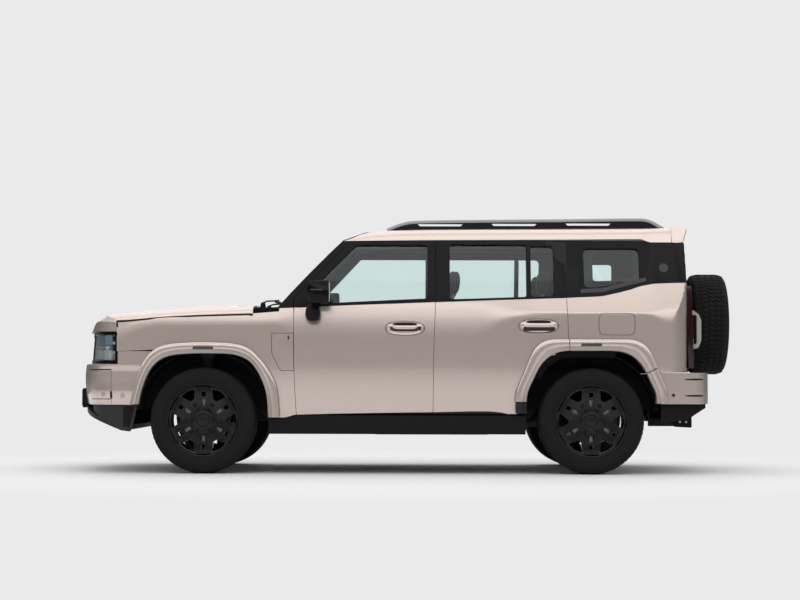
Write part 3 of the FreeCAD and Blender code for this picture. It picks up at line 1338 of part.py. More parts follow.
def polygon_sketch(body, name, role, points):
    """A closed sketch whose every corner is bound to the sheet by a formula for each way."""
    sketch = body.newObject("Sketcher::SketchObject", name)
    plane = next(one for one in body.Origin.OriginFeatures if one.Role == role)
    sketch.AttachmentSupport = [(plane, "")]
    sketch.MapMode = "FlatFace"
    count = len(points)
    spots = [FreeCAD.Vector(point[2], point[3], 0) for point in points]
    for index, spot in enumerate(spots):
        sketch.addGeometry(Part.LineSegment(spot, spots[(index + 1) % count]))
    for index in range(count):
        sketch.addConstraint(Sketcher.Constraint("Coincident", index, 2, (index + 1) % count, 1))
    for index, (across, up, start_across, start_up) in enumerate(points):
        for kind, formula, start in (("DistanceX", across, start_across), ("DistanceY", up, start_up)):
            place = sketch.addConstraint(Sketcher.Constraint(kind, -1, 1, index, 1, start))
            sketch.setExpression(f"Constraints[{place}]", bound(formula))
    return sketch


def ring_body(label, points):
    """A body turned about its own X axis from an outline of (along, radius) formulas."""
    body = doc.addObject("PartDesign::Body", label)
    sketch = polygon_sketch(body, label + "_profile", "XY_Plane", points)
    ring = body.newObject("PartDesign::Revolution", label + "_ring")
    ring.Profile = sketch
    ring.ReferenceAxis = (sketch, ["H_Axis"])
    ring.Angle = 360
    body.Tip = ring
    return body, ring


# The wheel is drawn about its own X axis, which points outward.
tyre_body, _ = ring_body("wheel_tyre", [
    ("-tyre_bead_half_width", "tyre_bead_radius", -v.tyre_bead_half_width, v.tyre_bead_radius),
    ("tyre_bead_half_width", "tyre_bead_radius", v.tyre_bead_half_width, v.tyre_bead_radius),
    ("tyre_bead_half_width", "rim_lip_radius + seat_gap", v.tyre_bead_half_width,
     v.rim_lip_radius + v.seat_gap),
    ("tyre_half_width", "tyre_bulge_radius", v.tyre_half_width, v.tyre_bulge_radius),
    ("tyre_half_width - tyre_shoulder_drop / 2", "tyre_radius - tyre_shoulder_drop",
     v.tyre_half_width - v.tyre_shoulder_drop / 2, v.tyre_radius - v.tyre_shoulder_drop),
    ("tread_half_width", "tyre_radius", v.tread_half_width, v.tyre_radius),
    ("-tread_half_width", "tyre_radius", -v.tread_half_width, v.tyre_radius),
    ("-tyre_half_width + tyre_shoulder_drop / 2", "tyre_radius - tyre_shoulder_drop",
     -v.tyre_half_width + v.tyre_shoulder_drop / 2, v.tyre_radius - v.tyre_shoulder_drop),
    ("-tyre_half_width", "tyre_bulge_radius", -v.tyre_half_width, v.tyre_bulge_radius),
    ("-tyre_bead_half_width", "rim_lip_radius + seat_gap", -v.tyre_bead_half_width,
     v.rim_lip_radius + v.seat_gap),
])

face_x = v.tyre_half_width - v.rim_dish
barrel = v.tyre_bead_radius - v.seat_gap
lip_in = v.tyre_bead_half_width + v.seat_gap
rim_body, rim_ring = ring_body("wheel_rim", [
    ("tyre_bead_half_width + seat_gap", "rim_lip_radius", lip_in, v.rim_lip_radius),
    ("tyre_bead_half_width + seat_gap", "tyre_bead_radius - seat_gap", lip_in, barrel),
    ("-tyre_bead_half_width - seat_gap", "tyre_bead_radius - seat_gap", -lip_in, barrel),
    ("-tyre_bead_half_width - seat_gap", "rim_lip_radius", -lip_in, v.rim_lip_radius),
    ("-tyre_bead_half_width - rim_lip", "rim_lip_radius", -v.tyre_bead_half_width - v.rim_lip,
     v.rim_lip_radius),
    ("-tyre_bead_half_width - rim_lip", "tyre_bead_radius - rim_wall",
     -v.tyre_bead_half_width - v.rim_lip, v.tyre_bead_radius - v.rim_wall),
    ("tyre_half_width - rim_dish - spoke_depth", "tyre_bead_radius - rim_wall", face_x - v.spoke_depth,
     v.tyre_bead_radius - v.rim_wall),
    ("tyre_half_width - rim_dish - spoke_depth", "0", face_x - v.spoke_depth, 0),
    ("tyre_half_width - rim_dish + cap_height", "0", face_x + v.cap_height, 0),
    ("tyre_half_width - rim_dish + cap_height", "cap_radius", face_x + v.cap_height, v.cap_radius),
    ("tyre_half_width - rim_dish", "cap_radius + cap_height", face_x, v.cap_radius + v.cap_height),
    ("tyre_half_width - rim_dish", "tyre_bead_radius - rim_wall", face_x, v.tyre_bead_radius - v.rim_wall),
    ("tyre_bead_half_width + rim_lip", "rim_lip_radius - rim_wall", v.tyre_bead_half_width + v.rim_lip,
     v.rim_lip_radius - v.rim_wall),
    ("tyre_bead_half_width + rim_lip", "rim_lip_radius", v.tyre_bead_half_width + v.rim_lip,
     v.rim_lip_radius),
])
window_sketch = polygon_sketch(rim_body, "rim_window_outline", "YZ_Plane", [
    ("-window_inner_width / 2", "window_inner_radius", -v.window_inner_width / 2, v.window_inner_radius),
    ("-window_outer_width / 2", "window_outer_radius", -v.window_outer_width / 2, v.window_outer_radius),
    ("window_outer_width / 2", "window_outer_radius", v.window_outer_width / 2, v.window_outer_radius),
    ("window_inner_width / 2", "window_inner_radius", v.window_inner_width / 2, v.window_inner_radius),
])
rim_window = rim_body.newObject("PartDesign::Pocket", "rim_window")
rim_window.Profile = window_sketch
rim_window.Type = "Length"
rim_window.Midplane = True
rim_window.setExpression("Length", bound("tyre_half_width * 3"))
rim_windows = rim_body.newObject("PartDesign::PolarPattern", "rim_windows")
rim_windows.Originals = [rim_window]
rim_windows.Axis = (window_sketch, ["N_Axis"])
rim_windows.Angle = 360
rim_windows.Occurrences = 6
rim_body.Tip = rim_windows
doc.recompute()
if rim_windows.Shape.Volume >= rim_ring.Shape.Volume:
    raise RuntimeError("the wheel's windows cut nothing")

hub = fused(
    "wheel_hub",
    cylinder("hub_drum", ALONG_X, "wheel_hub_radius",
             "tyre_half_width - rim_dish - spoke_depth + track_half - knuckle_outer - running_gap",
             "knuckle_outer + running_gap - track_half", "0", "0"),
    cylinder("hub_disc", ALONG_X, "disc_radius", "disc_thickness",
             "knuckle_outer + move_gap - track_half", "0", "0"))
rim_with_hub = fused("rim_with_hub", rim_body, hub)

TURN_LEFT = FreeCAD.Rotation(FreeCAD.Vector(0, 0, 1), -90)
TURN_RIGHT = FreeCAD.Rotation(FreeCAD.Vector(0, 0, 1), 90)
for side, turn, way in (("left", TURN_LEFT, -1), ("right", TURN_RIGHT, 1)):
    for axle, x in (("front", front_x), ("rear", rear_x)):
        place = FreeCAD.Placement(FreeCAD.Vector(x, way * v.track_half, v.tyre_radius), turn)
        node(f"tyre_{axle}_{side}", moved(f"tyre_{axle}_{side}", tyre_body, place))
        node(f"rim_{axle}_{side}", moved(f"rim_{axle}_{side}", rim_with_hub, place))
spare_place = FreeCAD.Placement(FreeCAD.Vector(v.spare_x, 0, v.spare_height), FreeCAD.Rotation())
node("spare_tyre", moved("spare_tyre", tyre_body, spare_place))
node("spare_rim", moved("spare_rim", rim_body, spare_place))

# Knuckles and front suspension, left side first
knuckle = fused(
    "knuckle_left",
    box("knuckle_post", (FRONT + " - knuckle_half_length", FRONT + " + knuckle_half_length"),
        ("-knuckle_outer", "-knuckle_inner"),
        ("tyre_radius - knuckle_reach", "tyre_radius + knuckle_reach")),
    box("knuckle_caliper",
        (FRONT + " + disc_radius / 2", FRONT + " + disc_radius + disc_thickness"),
        ("-knuckle_outer", "-knuckle_inner"),
        ("tyre_radius - disc_radius / 3", "tyre_radius + disc_radius / 3")),
    box("knuckle_bridge", (FRONT, FRONT + " + disc_radius"), ("-knuckle_outer", "-knuckle_inner"),
        ("tyre_radius - disc_thickness", "tyre_radius + disc_thickness")))
node("knuckle_left", knuckle)
node("knuckle_right", mirrored("knuckle_right", knuckle))

arm_reach = v.kingpin_y + v.arm_half_length / 2
low_ball = v.tyre_radius - v.knuckle_reach - v.running_gap
high_ball = v.tyre_radius + v.knuckle_reach + v.running_gap
arm_start, arm_end = front_x - v.arm_half_length, front_x + v.arm_half_length
arm_root = v.frame_front_low
elbow = v.knuckle_inner - v.overrun
lower_arm = prism("lower_arm", "front", [
    (-arm_reach, low_ball - v.arm_thickness),
    (-arm_reach, low_ball),
    (-elbow, low_ball),
    (-v.arm_inner, arm_root - v.arm_half_length * 2),
    (-v.arm_inner, arm_root - v.arm_half_length * 2 - v.arm_thickness),
    (-elbow, low_ball - v.arm_thickness),
], arm_start, arm_end)
upper_arm = prism("upper_arm", "front", [
    (-arm_reach, high_ball),
    (-arm_reach, high_ball + v.arm_thickness),
    (-v.frame_rail_outer - v.seat_gap, high_ball + v.arm_thickness),
    (-v.frame_rail_outer - v.seat_gap, high_ball),
], arm_start, arm_end)
damper = cylinder("front_damper", ALONG_Z, "spring_radius", "front_arch_top - frame_low",
                  FRONT, "-spring_y", "frame_low")
tower = box("front_tower", (FRONT + " - spring_radius", FRONT + " + spring_radius"),
            ("-spring_y - spring_radius", "-frame_rail_outer + frame_rail_width"),
            ("front_arch_top - arm_thickness", "front_arch_top"))
tower_leg = box("front_tower_leg", (FRONT + " - spring_radius", FRONT + " + spring_radius"),
                ("-frame_rail_outer + frame_rail_width / 2", "-frame_rail_outer + frame_rail_width"),
                ("frame_front_low + frame_rail_height + seat_gap", "front_arch_top"))
front_corner = fused("front_corner", lower_arm, upper_arm, damper, tower, tower_leg)
subframe = box("front_subframe", (FRONT + " - arm_half_length", FRONT + " + arm_half_length"),
               ("-arm_inner - overrun / 2", "arm_inner + overrun / 2"),
               ("frame_front_low - arm_half_length * 2 - arm_thickness", "frame_front_low - seat_gap"))
node("front_suspension", fused(
    "front_suspension", front_corner, mirrored("front_corner_right", front_corner), subframe))


# Frame

def frame_line(height_above):
    """The line of a frame rail, from its front end to its rear end."""
    return [
        (v.frame_front_x, v.frame_front_low + height_above),
        (v.frame_drop_front_x, v.frame_front_low + height_above),
        (v.frame_drop_end_x, v.frame_low + height_above),
        (v.frame_rise_x, v.frame_low + height_above),
        (v.frame_rise_end_x, v.frame_rear_low + height_above),
        (v.frame_rear_x, v.frame_rear_low + height_above),
    ]


frame_rail = prism("frame_rail", "side", frame_line(0) + frame_line(v.frame_rail_height)[::-1],
                   -v.frame_rail_outer, -v.frame_rail_outer + v.frame_rail_width)
cross_members = []
for index, (x, low) in enumerate((
        ("frame_front_x", "frame_front_low"),
        ("frame_drop_end_x", "frame_low"),
        ("frame_rise_x - cross_width", "frame_low"),
        ("frame_rise_end_x", "frame_rear_low"),
        ("frame_rear_x - cross_width", "frame_rear_low"))):
    cross_members.append(box(
        f"cross_member_{index}", (x, f"{x} + cross_width"), ("-frame_rail_outer", "frame_rail_outer"),
        (low, f"{low} + cross_height")))
outriggers = []
for index, x in enumerate(("frame_drop_end_x + cross_width", "frame_rise_x - cross_width * 2")):
    outrigger = box(
        f"outrigger_{index}", (x, f"{x} + cross_width"),
        ("-dash_half_width", "-frame_rail_outer + seat_gap"),
        ("body_low + seat_gap", "floor_height - seat_gap"))
    outriggers += [outrigger, mirrored(f"outrigger_right_{index}", outrigger)]
bumper_posts = [
    box("front_bumper_post", ("nose_x + nose_skin + seat_gap", "frame_front_x"),
        ("-nose_half_width_one + overrun", "nose_half_width_one - overrun"),
        ("frame_front_low + move_gap + skin_depth", "frame_front_low + frame_rail_height")),
    box("rear_bumper_post", ("frame_rear_x - cross_width", "bumper_x - bumper_depth - seat_gap"),
        ("-frame_rail_outer", "frame_rail_outer"),
        ("frame_rear_low + skin_depth", "frame_rear_low + frame_rail_height")),
]
node("chassis_frame", fused(
    "chassis_frame", frame_rail, mirrored("frame_rail_right", frame_rail), *cross_members, *outriggers,
    *bumper_posts))

# Floor, firewall and load floor
node("floor_pan", cut(
    "floor_pan",
    fused(
        "floor_whole",
        box("floor_sheet", ("firewall_x", "floor_rear_x"),
            ("-floor_half_width + door_thickness", "floor_half_width - door_thickness"),
            ("floor_height", "floor_height + floor_thickness")),
        box("floor_wings", ("pillar_front_x + move_gap", "floor_rear_x"),
            ("-floor_half_width + door_thickness / 2", "floor_half_width - door_thickness / 2"),
            ("floor_height", "floor_height + floor_thickness")),
        box("firewall", ("firewall_x", "firewall_x + firewall_thickness"),
            ("-dash_half_width", "dash_half_width"), ("floor_height", "firewall_top")),
        box("floor_step", ("floor_rear_x - floor_thickness", "floor_rear_x"),
            ("-load_floor_half_width", "load_floor_half_width"),
            ("floor_height", "load_floor_height + floor_thickness")),
        box("load_floor", ("floor_rear_x - floor_thickness", "load_floor_end_x"),
            ("-load_floor_half_width + seat_gap", "load_floor_half_width - seat_gap"),
            ("load_floor_height", "load_floor_height + floor_thickness")),
        box("tunnel", ("firewall_x", "gearbox_rear_x + floor_thickness + move_gap"),
            ("-gearbox_radius - move_gap - floor_thickness", "gearbox_radius + move_gap + floor_thickness"),
            ("floor_height", "gearbox_height + gearbox_radius + move_gap + floor_thickness"))),
    box("floor_tunnel_room", ("firewall_x - overrun", "gearbox_rear_x + move_gap"),
        ("-gearbox_radius - move_gap", "gearbox_radius + move_gap"),
        ("floor_height - overrun", "gearbox_height + gearbox_radius + move_gap"))))


# Wheel housings

def housing(name, axle, outer, top_low):
    """A left wheel housing: a half round shell with a disc on its inner side."""
    drum = cylinder(name + "_drum", ALONG_Y, "liner_radius + liner_wall", f"{outer} - liner_inner",
                    axle, f"-({outer})", "tyre_radius")
    hollow = cylinder(name + "_hollow", ALONG_Y, "liner_radius",
                      f"{outer} - liner_inner - liner_wall + overrun", axle, f"-({outer}) - overrun",
                      "tyre_radius")
    lower = box(name + "_lower", (f"{axle} - liner_radius - overrun", f"{axle} + liner_radius + overrun"),
                (f"-({outer}) - overrun", "0"), ("-tyre_radius", top_low))
    return cut(name, drum, hollow, lower)


front_housing = cut(
    "front_housing",
    housing("front_housing_shell", FRONT, "front_liner_outer", "liner_low"),
    box("front_housing_room",
        (FRONT + " - arm_half_length - move_gap", FRONT + " + arm_half_length + move_gap"),
        ("-spring_y - spring_radius - move_gap", "0"), ("0", "front_arch_top + move_gap")))
rear_housing = housing("rear_housing", REAR, "rear_liner_outer", "liner_low")
node("wheel_liners", together(
    "wheel_liners", front_housing, rear_housing, mirrored("front_housing_right", front_housing),
    mirrored("rear_housing_right", rear_housing)))

# Engine, gearbox and shafts
engine_feet = box("engine_feet", ("engine_front_x + cross_width * 2", "engine_front_x + cross_width * 3"),
                  ("-frame_rail_outer + frame_rail_width / 2", "frame_rail_outer - frame_rail_width / 2"),
                  ("frame_front_low + frame_rail_height + seat_gap",
                   "frame_front_low + frame_rail_height + cross_width / 2"))
node("engine_block", fused(
    "engine_block",
    box("engine_mass", ("engine_front_x", "engine_rear_x"), ("-engine_half_width", "engine_half_width"),
        ("engine_low", "engine_top")),
    engine_feet))
node("driveline", fused(
    "driveline",
    cylinder("gearbox", ALONG_X, "gearbox_radius", "gearbox_rear_x - engine_rear_x - front_axle_ahead / 8",
             "engine_rear_x + front_axle_ahead / 8", "0", "gearbox_height"),
    cylinder("gearbox_bell", ALONG_X, "gearbox_radius * 3 / 2", "front_axle_ahead / 8 + seat_gap",
             "engine_rear_x + seat_gap", "0", "engine_low + gearbox_radius"),
    box("gearbox_output", ("gearbox_rear_x - cross_width", "gearbox_rear_x"),
        ("-shaft_radius", "shaft_radius"), ("tyre_radius - shaft_radius", "gearbox_height")),
    cylinder("rear_shaft", ALONG_X, "shaft_radius",
             REAR + " - axle_case_radius - gearbox_rear_x + cross_width - seat_gap",
             "gearbox_rear_x - cross_width", "0", "tyre_radius")))

# Rear axle with its springs and links
rear_spring = cylinder("rear_spring", ALONG_Z, "spring_radius",
                       "frame_rear_low - tyre_radius - seat_gap", REAR, "-rear_spring_y", "tyre_radius")
rear_link = box("rear_link", ("frame_rise_x - cross_width + overrun", REAR),
                ("-frame_rail_outer - seat_gap - overrun * 2", "-frame_rail_outer - seat_gap"),
                ("tyre_radius - arm_thickness * 2", "tyre_radius - arm_thickness / 2"))
rear_axle_half = fused("rear_axle_half", rear_spring, rear_link)
node("rear_axle", fused(
    "rear_axle",
    cylinder("axle_tube", ALONG_Y, "axle_tube_radius", "2 * knuckle_outer", REAR, "-knuckle_outer",
             "tyre_radius"),
    cylinder("axle_case", ALONG_Y, "axle_case_radius", "axle_case_width", REAR, "-axle_case_width / 2",
             "tyre_radius"),
    rear_axle_half, mirrored("rear_axle_half_right", rear_axle_half)))

# Fuel tank on the left and exhaust on the right
tank = rounded("tank_rounded", box(
    "tank", ("tank_front_x", "tank_rear_x - cross_width - move_gap"),
    ("-frame_rail_outer + frame_rail_width + tank_clear", "-tank_inner"),
    ("tank_low", "floor_height - seat_gap")), v.soft_rounding)
exhaust = fused(
    "exhaust",
    cylinder("exhaust_pipe", ALONG_X, "pipe_radius", "frame_rise_x - cross_width - move_gap - gearbox_rear_x",
             "gearbox_rear_x", "pipe_y", "pipe_height"),
    cylinder("exhaust_silencer", ALONG_X, "silencer_radius", "silencer_length - move_gap",
             "silencer_x - cross_width", "pipe_y", "pipe_height"),
    box("exhaust_hanger", ("gearbox_rear_x + cross_width", "gearbox_rear_x + cross_width * 2"),
        ("pipe_y - pipe_radius", "pipe_y + pipe_radius"), ("pipe_height", "floor_height - seat_gap")))
node("exhaust_and_tank", together("exhaust_and_tank", tank, exhaust))

# Tow receiver
receiver_half = "receiver_inside / 2 + receiver_wall"
receiver_tube = cut(
    "receiver_tube",
    box("receiver_outer", ("receiver_rear_x - receiver_length", "receiver_rear_x"),
        (f"-({receiver_half})", receiver_half),
        (f"receiver_height - ({receiver_half})", f"receiver_height + {receiver_half}")),
    box("receiver_opening", ("receiver_rear_x - receiver_length - overrun", "receiver_rear_x + overrun"),
        ("-receiver_inside / 2", "receiver_inside / 2"),
        ("receiver_height - receiver_inside / 2", "receiver_height + receiver_inside / 2")),
    cylinder("receiver_pin_hole", ALONG_Y, "receiver_pin_radius", "4 * receiver_inside",
             "receiver_pin_x", "-2 * receiver_inside", "receiver_height"))
receiver_top = v.receiver_height + v.receiver_inside / 2 + v.receiver_wall
receiver_plate = prism("receiver_plate", "side", [
    (v.receiver_rear_x - v.receiver_length, receiver_top - v.receiver_wall),
    (v.receiver_rear_x - v.receiver_length, v.frame_rear_low - v.seat_gap),
    (v.receiver_rear_x - v.receiver_length / 4, v.frame_rear_low - v.seat_gap),
    (v.receiver_rear_x - v.receiver_length / 4, receiver_top - v.receiver_wall),
], -v.receiver_inside / 2 - v.receiver_wall, v.receiver_inside / 2 + v.receiver_wall)
receiver_beam = box("receiver_beam", ("frame_rear_x - cross_width", "frame_rear_x"),
                    ("-frame_rail_outer", "frame_rail_outer"),
                    ("frame_rear_low - receiver_bar_radius", "frame_rear_low - seat_gap"))
node("tow_hitch", cut(
    "tow_hitch", fused("tow_hitch_whole", receiver_tube, receiver_plate, receiver_beam),
    box("receiver_way", ("receiver_rear_x - receiver_length - overrun", "receiver_rear_x + overrun"),
        ("-receiver_inside / 2", "receiver_inside / 2"),
        ("receiver_height - receiver_inside / 2", "receiver_height + receiver_inside / 2"))))

# Tail lamps, seated in the body's corners
node("tail_lamps", together("tail_lamps", tail_lamp, mirrored("tail_lamp_right", tail_lamp)))
for side in ("left", "right"):
    whole = body_side_left if side == "left" else body_side_right
    room = lamp_room if side == "left" else mirrored("lamp_room_right", lamp_room)
    carved = cut(f"body_side_{side}_lamp", whole, room)
    node(f"body_side_{side}", fused("body_side_gate", carved, *gate_leaves) if side == "right" else carved)

# Dashboard, steering wheel and seats
node("dashboard", prism("dashboard", "side", [
    (v.dash_front_x, v.dash_low),
    (v.dash_front_x, v.dash_top),
    (v.dash_rear_x, v.dash_top, v.soft_rounding),
    (v.dash_rear_x, v.dash_top - v.dash_slope, v.soft_rounding),
    (v.dash_rear_x - v.dash_slope, v.dash_low, v.soft_rounding),
], -v.dash_half_width, v.dash_half_width))

wheel_rim = Part.makeTorus(v.wheel_radius, v.wheel_grip)
wheel_boss = Part.makeCylinder(v.boss_radius, v.spoke_width, FreeCAD.Vector(0, 0, -v.spoke_width / 2))
wheel_spokes = Part.makeBox(2 * v.wheel_radius, v.spoke_width, v.wheel_grip,
                            FreeCAD.Vector(-v.wheel_radius, -v.spoke_width / 2, -v.wheel_grip / 2))
column = Part.makeCylinder(v.column_radius, v.column_length, FreeCAD.Vector(0, 0, -v.column_length))
steering = doc.addObject("Part::Feature", "steering_wheel_shape")
steering.Shape = wheel_rim.fuse([wheel_boss, wheel_spokes, column]).removeSplitter()
steering.Placement = FreeCAD.Placement(
    FreeCAD.Vector(v.wheel_x, -v.seat_y, v.wheel_height),
    FreeCAD.Rotation(FreeCAD.Vector(0, 1, 0), 90 - v.wheel_tilt).multiply(
        FreeCAD.Rotation(FreeCAD.Vector(0, 0, 1), 90)))
node("steering_wheel", cut("steering_wheel", steering, nodes["dashboard"]))


def seat_back(name, x, low, top, half, middle):
    """A leaning seat back."""
    lean = v.seat_back_lean * (top - low) / (v.seat_back_top - v.seat_low)
    back = prism(name, "side", [
        (x, low, v.soft_rounding),
        (x + lean, top, v.soft_rounding),
        (x + lean + v.seat_back_depth, top, v.soft_rounding),
        (x + v.seat_back_depth, low, v.soft_rounding),
    ], middle - half, middle + half)
    return back, x + lean


def headrest(name, x, top, middle):
    """A headrest on two stalks above a seat back."""
    low = top + v.head_gap
    pad = prism(name + "_pad", "side", [
        (x + v.seat_back_depth / 2 - v.head_depth / 2, low, v.soft_rounding),
        (x + v.seat_back_depth / 2 - v.head_depth / 2, low + v.head_height, v.soft_rounding),
        (x + v.seat_back_depth / 2 + v.head_depth / 2, low + v.head_height, v.soft_rounding),
        (x + v.seat_back_depth / 2 + v.head_depth / 2, low, v.soft_rounding),
    ], middle - v.head_half_width, middle + v.head_half_width)
    stalks = [prism(f"{name}_stalk_{way}", "top", [
        (x + v.seat_back_depth / 2 - v.stalk_radius, middle + way * v.stalk_y - v.stalk_radius),
        (x + v.seat_back_depth / 2 + v.stalk_radius, middle + way * v.stalk_y - v.stalk_radius),
        (x + v.seat_back_depth / 2 + v.stalk_radius, middle + way * v.stalk_y + v.stalk_radius),
        (x + v.seat_back_depth / 2 - v.stalk_radius, middle + way * v.stalk_y + v.stalk_radius),
    ], top - v.head_gap, low + v.head_gap) for way in (-1, 1)]
    return [pad, *stalks]


seat_cushion = rounded("seat_cushion", box(
    "seat_cushion_block", ("seat_front_x", "seat_rear_x"),
    ("-seat_y - seat_half_width", "-seat_y + seat_half_width"), ("seat_low", "seat_top")), v.soft_rounding)
seat_base = box("seat_base", ("seat_front_x + seat_base_inset", "seat_rear_x - seat_base_inset"),
                ("-seat_y - seat_half_width + seat_base_inset",
                 "-seat_y + seat_half_width - seat_base_inset"),
                ("floor_height + floor_thickness + seat_gap", "seat_low + soft_rounding"))
seat_rest, seat_rest_x = seat_back(
    "seat_rest", v.seat_rear_x - v.seat_back_depth / 2, v.seat_low + v.soft_rounding, v.seat_back_top,
    v.seat_half_width - v.move_gap, -v.seat_y)
front_seat = fused("front_seat_left", seat_cushion, seat_base, seat_rest,
                   *headrest("front_head", seat_rest_x, v.seat_back_top, -v.seat_y))
node("front_seats", together("front_seats", front_seat, mirrored("front_seat_right", front_seat)))

bench_cushion = rounded("bench_cushion", box(
    "bench_cushion_block", ("bench_front_x", "bench_rear_x"), ("-bench_half_width", "bench_half_width"),
    ("bench_low", "bench_top")), v.soft_rounding)
bench_base = box("bench_base", ("bench_front_x + seat_base_inset", "bench_base_rear_x - move_gap * 3"),
                 ("-bench_base_half_width", "bench_base_half_width"),
                 ("floor_height + floor_thickness + seat_gap", "bench_low + soft_rounding"))
bench_rest, bench_rest_x = seat_back(
    "bench_rest", v.bench_rear_x - v.seat_back_depth / 2, v.bench_low + v.move_gap, v.bench_back_top,
    v.bench_half_width - v.move_gap, 0)
bench_heads = []
for way in (-1, 1):
    bench_heads += headrest(f"bench_head_{way + 1}", bench_rest_x, v.bench_back_top, way * v.seat_y)
node("rear_bench", fused("rear_bench", bench_cushion, bench_base, bench_rest, *bench_heads))

# Check every object, then write each node's own file
doc.recompute()
for thing in doc.Objects:
    if "Invalid" in thing.State or "Error" in thing.State:
        raise RuntimeError(f"{thing.Name} failed: {thing.State}")
for label, piece in nodes.items():
    if piece.Shape.isNull() or not piece.Shape.isValid():
        raise RuntimeError(f"{label} has no valid shape")
for label, piece in nodes.items():
    piece.Shape.exportStep(f"parts/{label}.step")
    print(label, len(piece.Shape.Solids), round(piece.Shape.Volume / 1e6, 2))
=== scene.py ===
"""The looks of the lifted off-road 4x4: skins, glass, lamps, wheels and cabin around the CAD frame.

Lengths are metres, with +X rearward, +Y to the vehicle's right and +Z up."""

import math

import bmesh
import bpy
from mathutils import Matrix, Vector
from mathutils.geometry import delaunay_2d_cdt


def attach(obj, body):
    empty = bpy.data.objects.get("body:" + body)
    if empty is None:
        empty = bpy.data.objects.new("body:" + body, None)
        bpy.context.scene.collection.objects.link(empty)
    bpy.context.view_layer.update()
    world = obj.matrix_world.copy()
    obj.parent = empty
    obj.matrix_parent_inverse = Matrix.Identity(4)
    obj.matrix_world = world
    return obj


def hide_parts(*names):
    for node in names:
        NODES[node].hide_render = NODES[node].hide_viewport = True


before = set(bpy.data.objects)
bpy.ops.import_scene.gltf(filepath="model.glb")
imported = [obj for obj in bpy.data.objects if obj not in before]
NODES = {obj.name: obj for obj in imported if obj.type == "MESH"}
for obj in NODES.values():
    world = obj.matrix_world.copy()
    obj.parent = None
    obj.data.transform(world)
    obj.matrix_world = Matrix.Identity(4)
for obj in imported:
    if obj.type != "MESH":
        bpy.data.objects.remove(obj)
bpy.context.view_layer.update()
scene = bpy.context.scene
SIDES = (("left", -1), ("right", 1))
FRONT_X, REAR_X, HUB_Z = -1.492, 1.388, 0.394


# Camera, light and floor

scene.view_settings.view_transform = "Standard"
camera_data = bpy.data.cameras.new("photo_camera")
camera = bpy.data.objects.new("photo_camera", camera_data)
scene.collection.objects.link(camera)
camera_data.sensor_width = 36
camera_data.lens = 91.06
camera_data.clip_end = 200
camera.location = (0.031, -15.975, 0.682)
camera.rotation_euler = (math.radians(92.32), math.radians(-0.15), math.radians(0.24))
scene.camera = camera


def new_material(name):
    """An empty node material with its output and main shader."""
    material = bpy.data.materials.new(name)
    material.use_nodes = True
    tree = material.node_tree
    return material, tree, tree.nodes["Principled BSDF"]


def add(tree, kind, **values):
    """A node with its settings and plain inputs."""
    made = tree.nodes.new(kind)
    for key, value in values.items():
        if hasattr(made, key):
            setattr(made, key, value)
        else:
            made.inputs[key].default_value = value
    return made


def fill(node, **values):
    """Sets plain inputs by name, with _ for each space."""
    for key, value in values.items():
        node.inputs[key.replace("_", " ")].default_value = value


def wire(tree, *pairs):
    """Links each output to its input."""
    for source, target in pairs:
        tree.links.new(source, target)


# The sky lights the car from above, and rays that show it see one pale tone
PALE = (0.822, 0.824, 0.828)
world = bpy.data.worlds.new("studio")
scene.world = world
world.use_nodes = True
sky = world.node_tree
sky.nodes.clear()
coords = add(sky, "ShaderNodeTexCoord")
split = add(sky, "ShaderNodeSeparateXYZ")
ramp = add(sky, "ShaderNodeValToRGB")
for stop, place, tone in zip(ramp.color_ramp.elements, (0.0, 0.75), ((0.62, 0.63, 0.65, 1), (1, 1, 1, 1))):
    stop.position, stop.color = place, tone
light_sky = add(sky, "ShaderNodeBackground", Strength=0.95)
pale_sky = add(sky, "ShaderNodeBackground", Color=(*PALE, 1), Strength=1)
path = add(sky, "ShaderNodeLightPath")
either = add(sky, "ShaderNodeMath", operation="MAXIMUM")
any_of = add(sky, "ShaderNodeMath", operation="MAXIMUM")
mix = add(sky, "ShaderNodeMixShader")
out = add(sky, "ShaderNodeOutputWorld")
wire(sky, (coords.outputs["Generated"], split.inputs[0]), (split.outputs[2], ramp.inputs[0]),
     (ramp.outputs[0], light_sky.inputs[0]), (path.outputs["Is Camera Ray"], either.inputs[0]),
     (path.outputs["Is Glossy Ray"], either.inputs[1]), (either.outputs[0], any_of.inputs[0]),
     (path.outputs["Is Transmission Ray"], any_of.inputs[1]), (any_of.outputs[0], mix.inputs[0]),
     (light_sky.outputs[0], mix.inputs[1]), (pale_sky.outputs[0], mix.inputs[2]),
     (mix.outputs[0], out.inputs[0]))


def lamp(name, place, aim, size, watts):
    """A soft rectangular light."""
    data = bpy.data.lights.new(name, "AREA")
    data.shape = "RECTANGLE"
    data.size, data.size_y = size
    data.energy = watts
    thing = bpy.data.objects.new(name, data)
    thing.location = place
    thing.rotation_euler = (Vector(aim) - Vector(place)).to_track_quat("-Z", "Y").to_euler()
    thing.visible_camera = False
    thing.visible_transmission = False
    scene.collection.objects.link(thing)


lamp("top_softbox", (0, 0, 7.0), (0, 0, 0), (9, 5), 105)
for index, way in enumerate((-1, 1)):
    lamp(f"high_softbox_{index}", (0, 7.5 * way, 9.0), (0, 0, 0.8), (12, 6), 165 if way < 0 else 130)
    lamp(f"low_strip_{index}", (0, 24.0 * way, 8.4), (0, 0, 1.0), (44, 4.6), 620 if way < 0 else 500)


def stage_piece(name, verts, faces, material):
    """A piece of the studio, not of the car."""
    mesh = bpy.data.meshes.new(name)
    mesh.from_pydata(verts, [], faces)
    mesh.materials.append(material)
    thing = bpy.data.objects.new(name, mesh)
    scene.collection.objects.link(thing)
    return thing


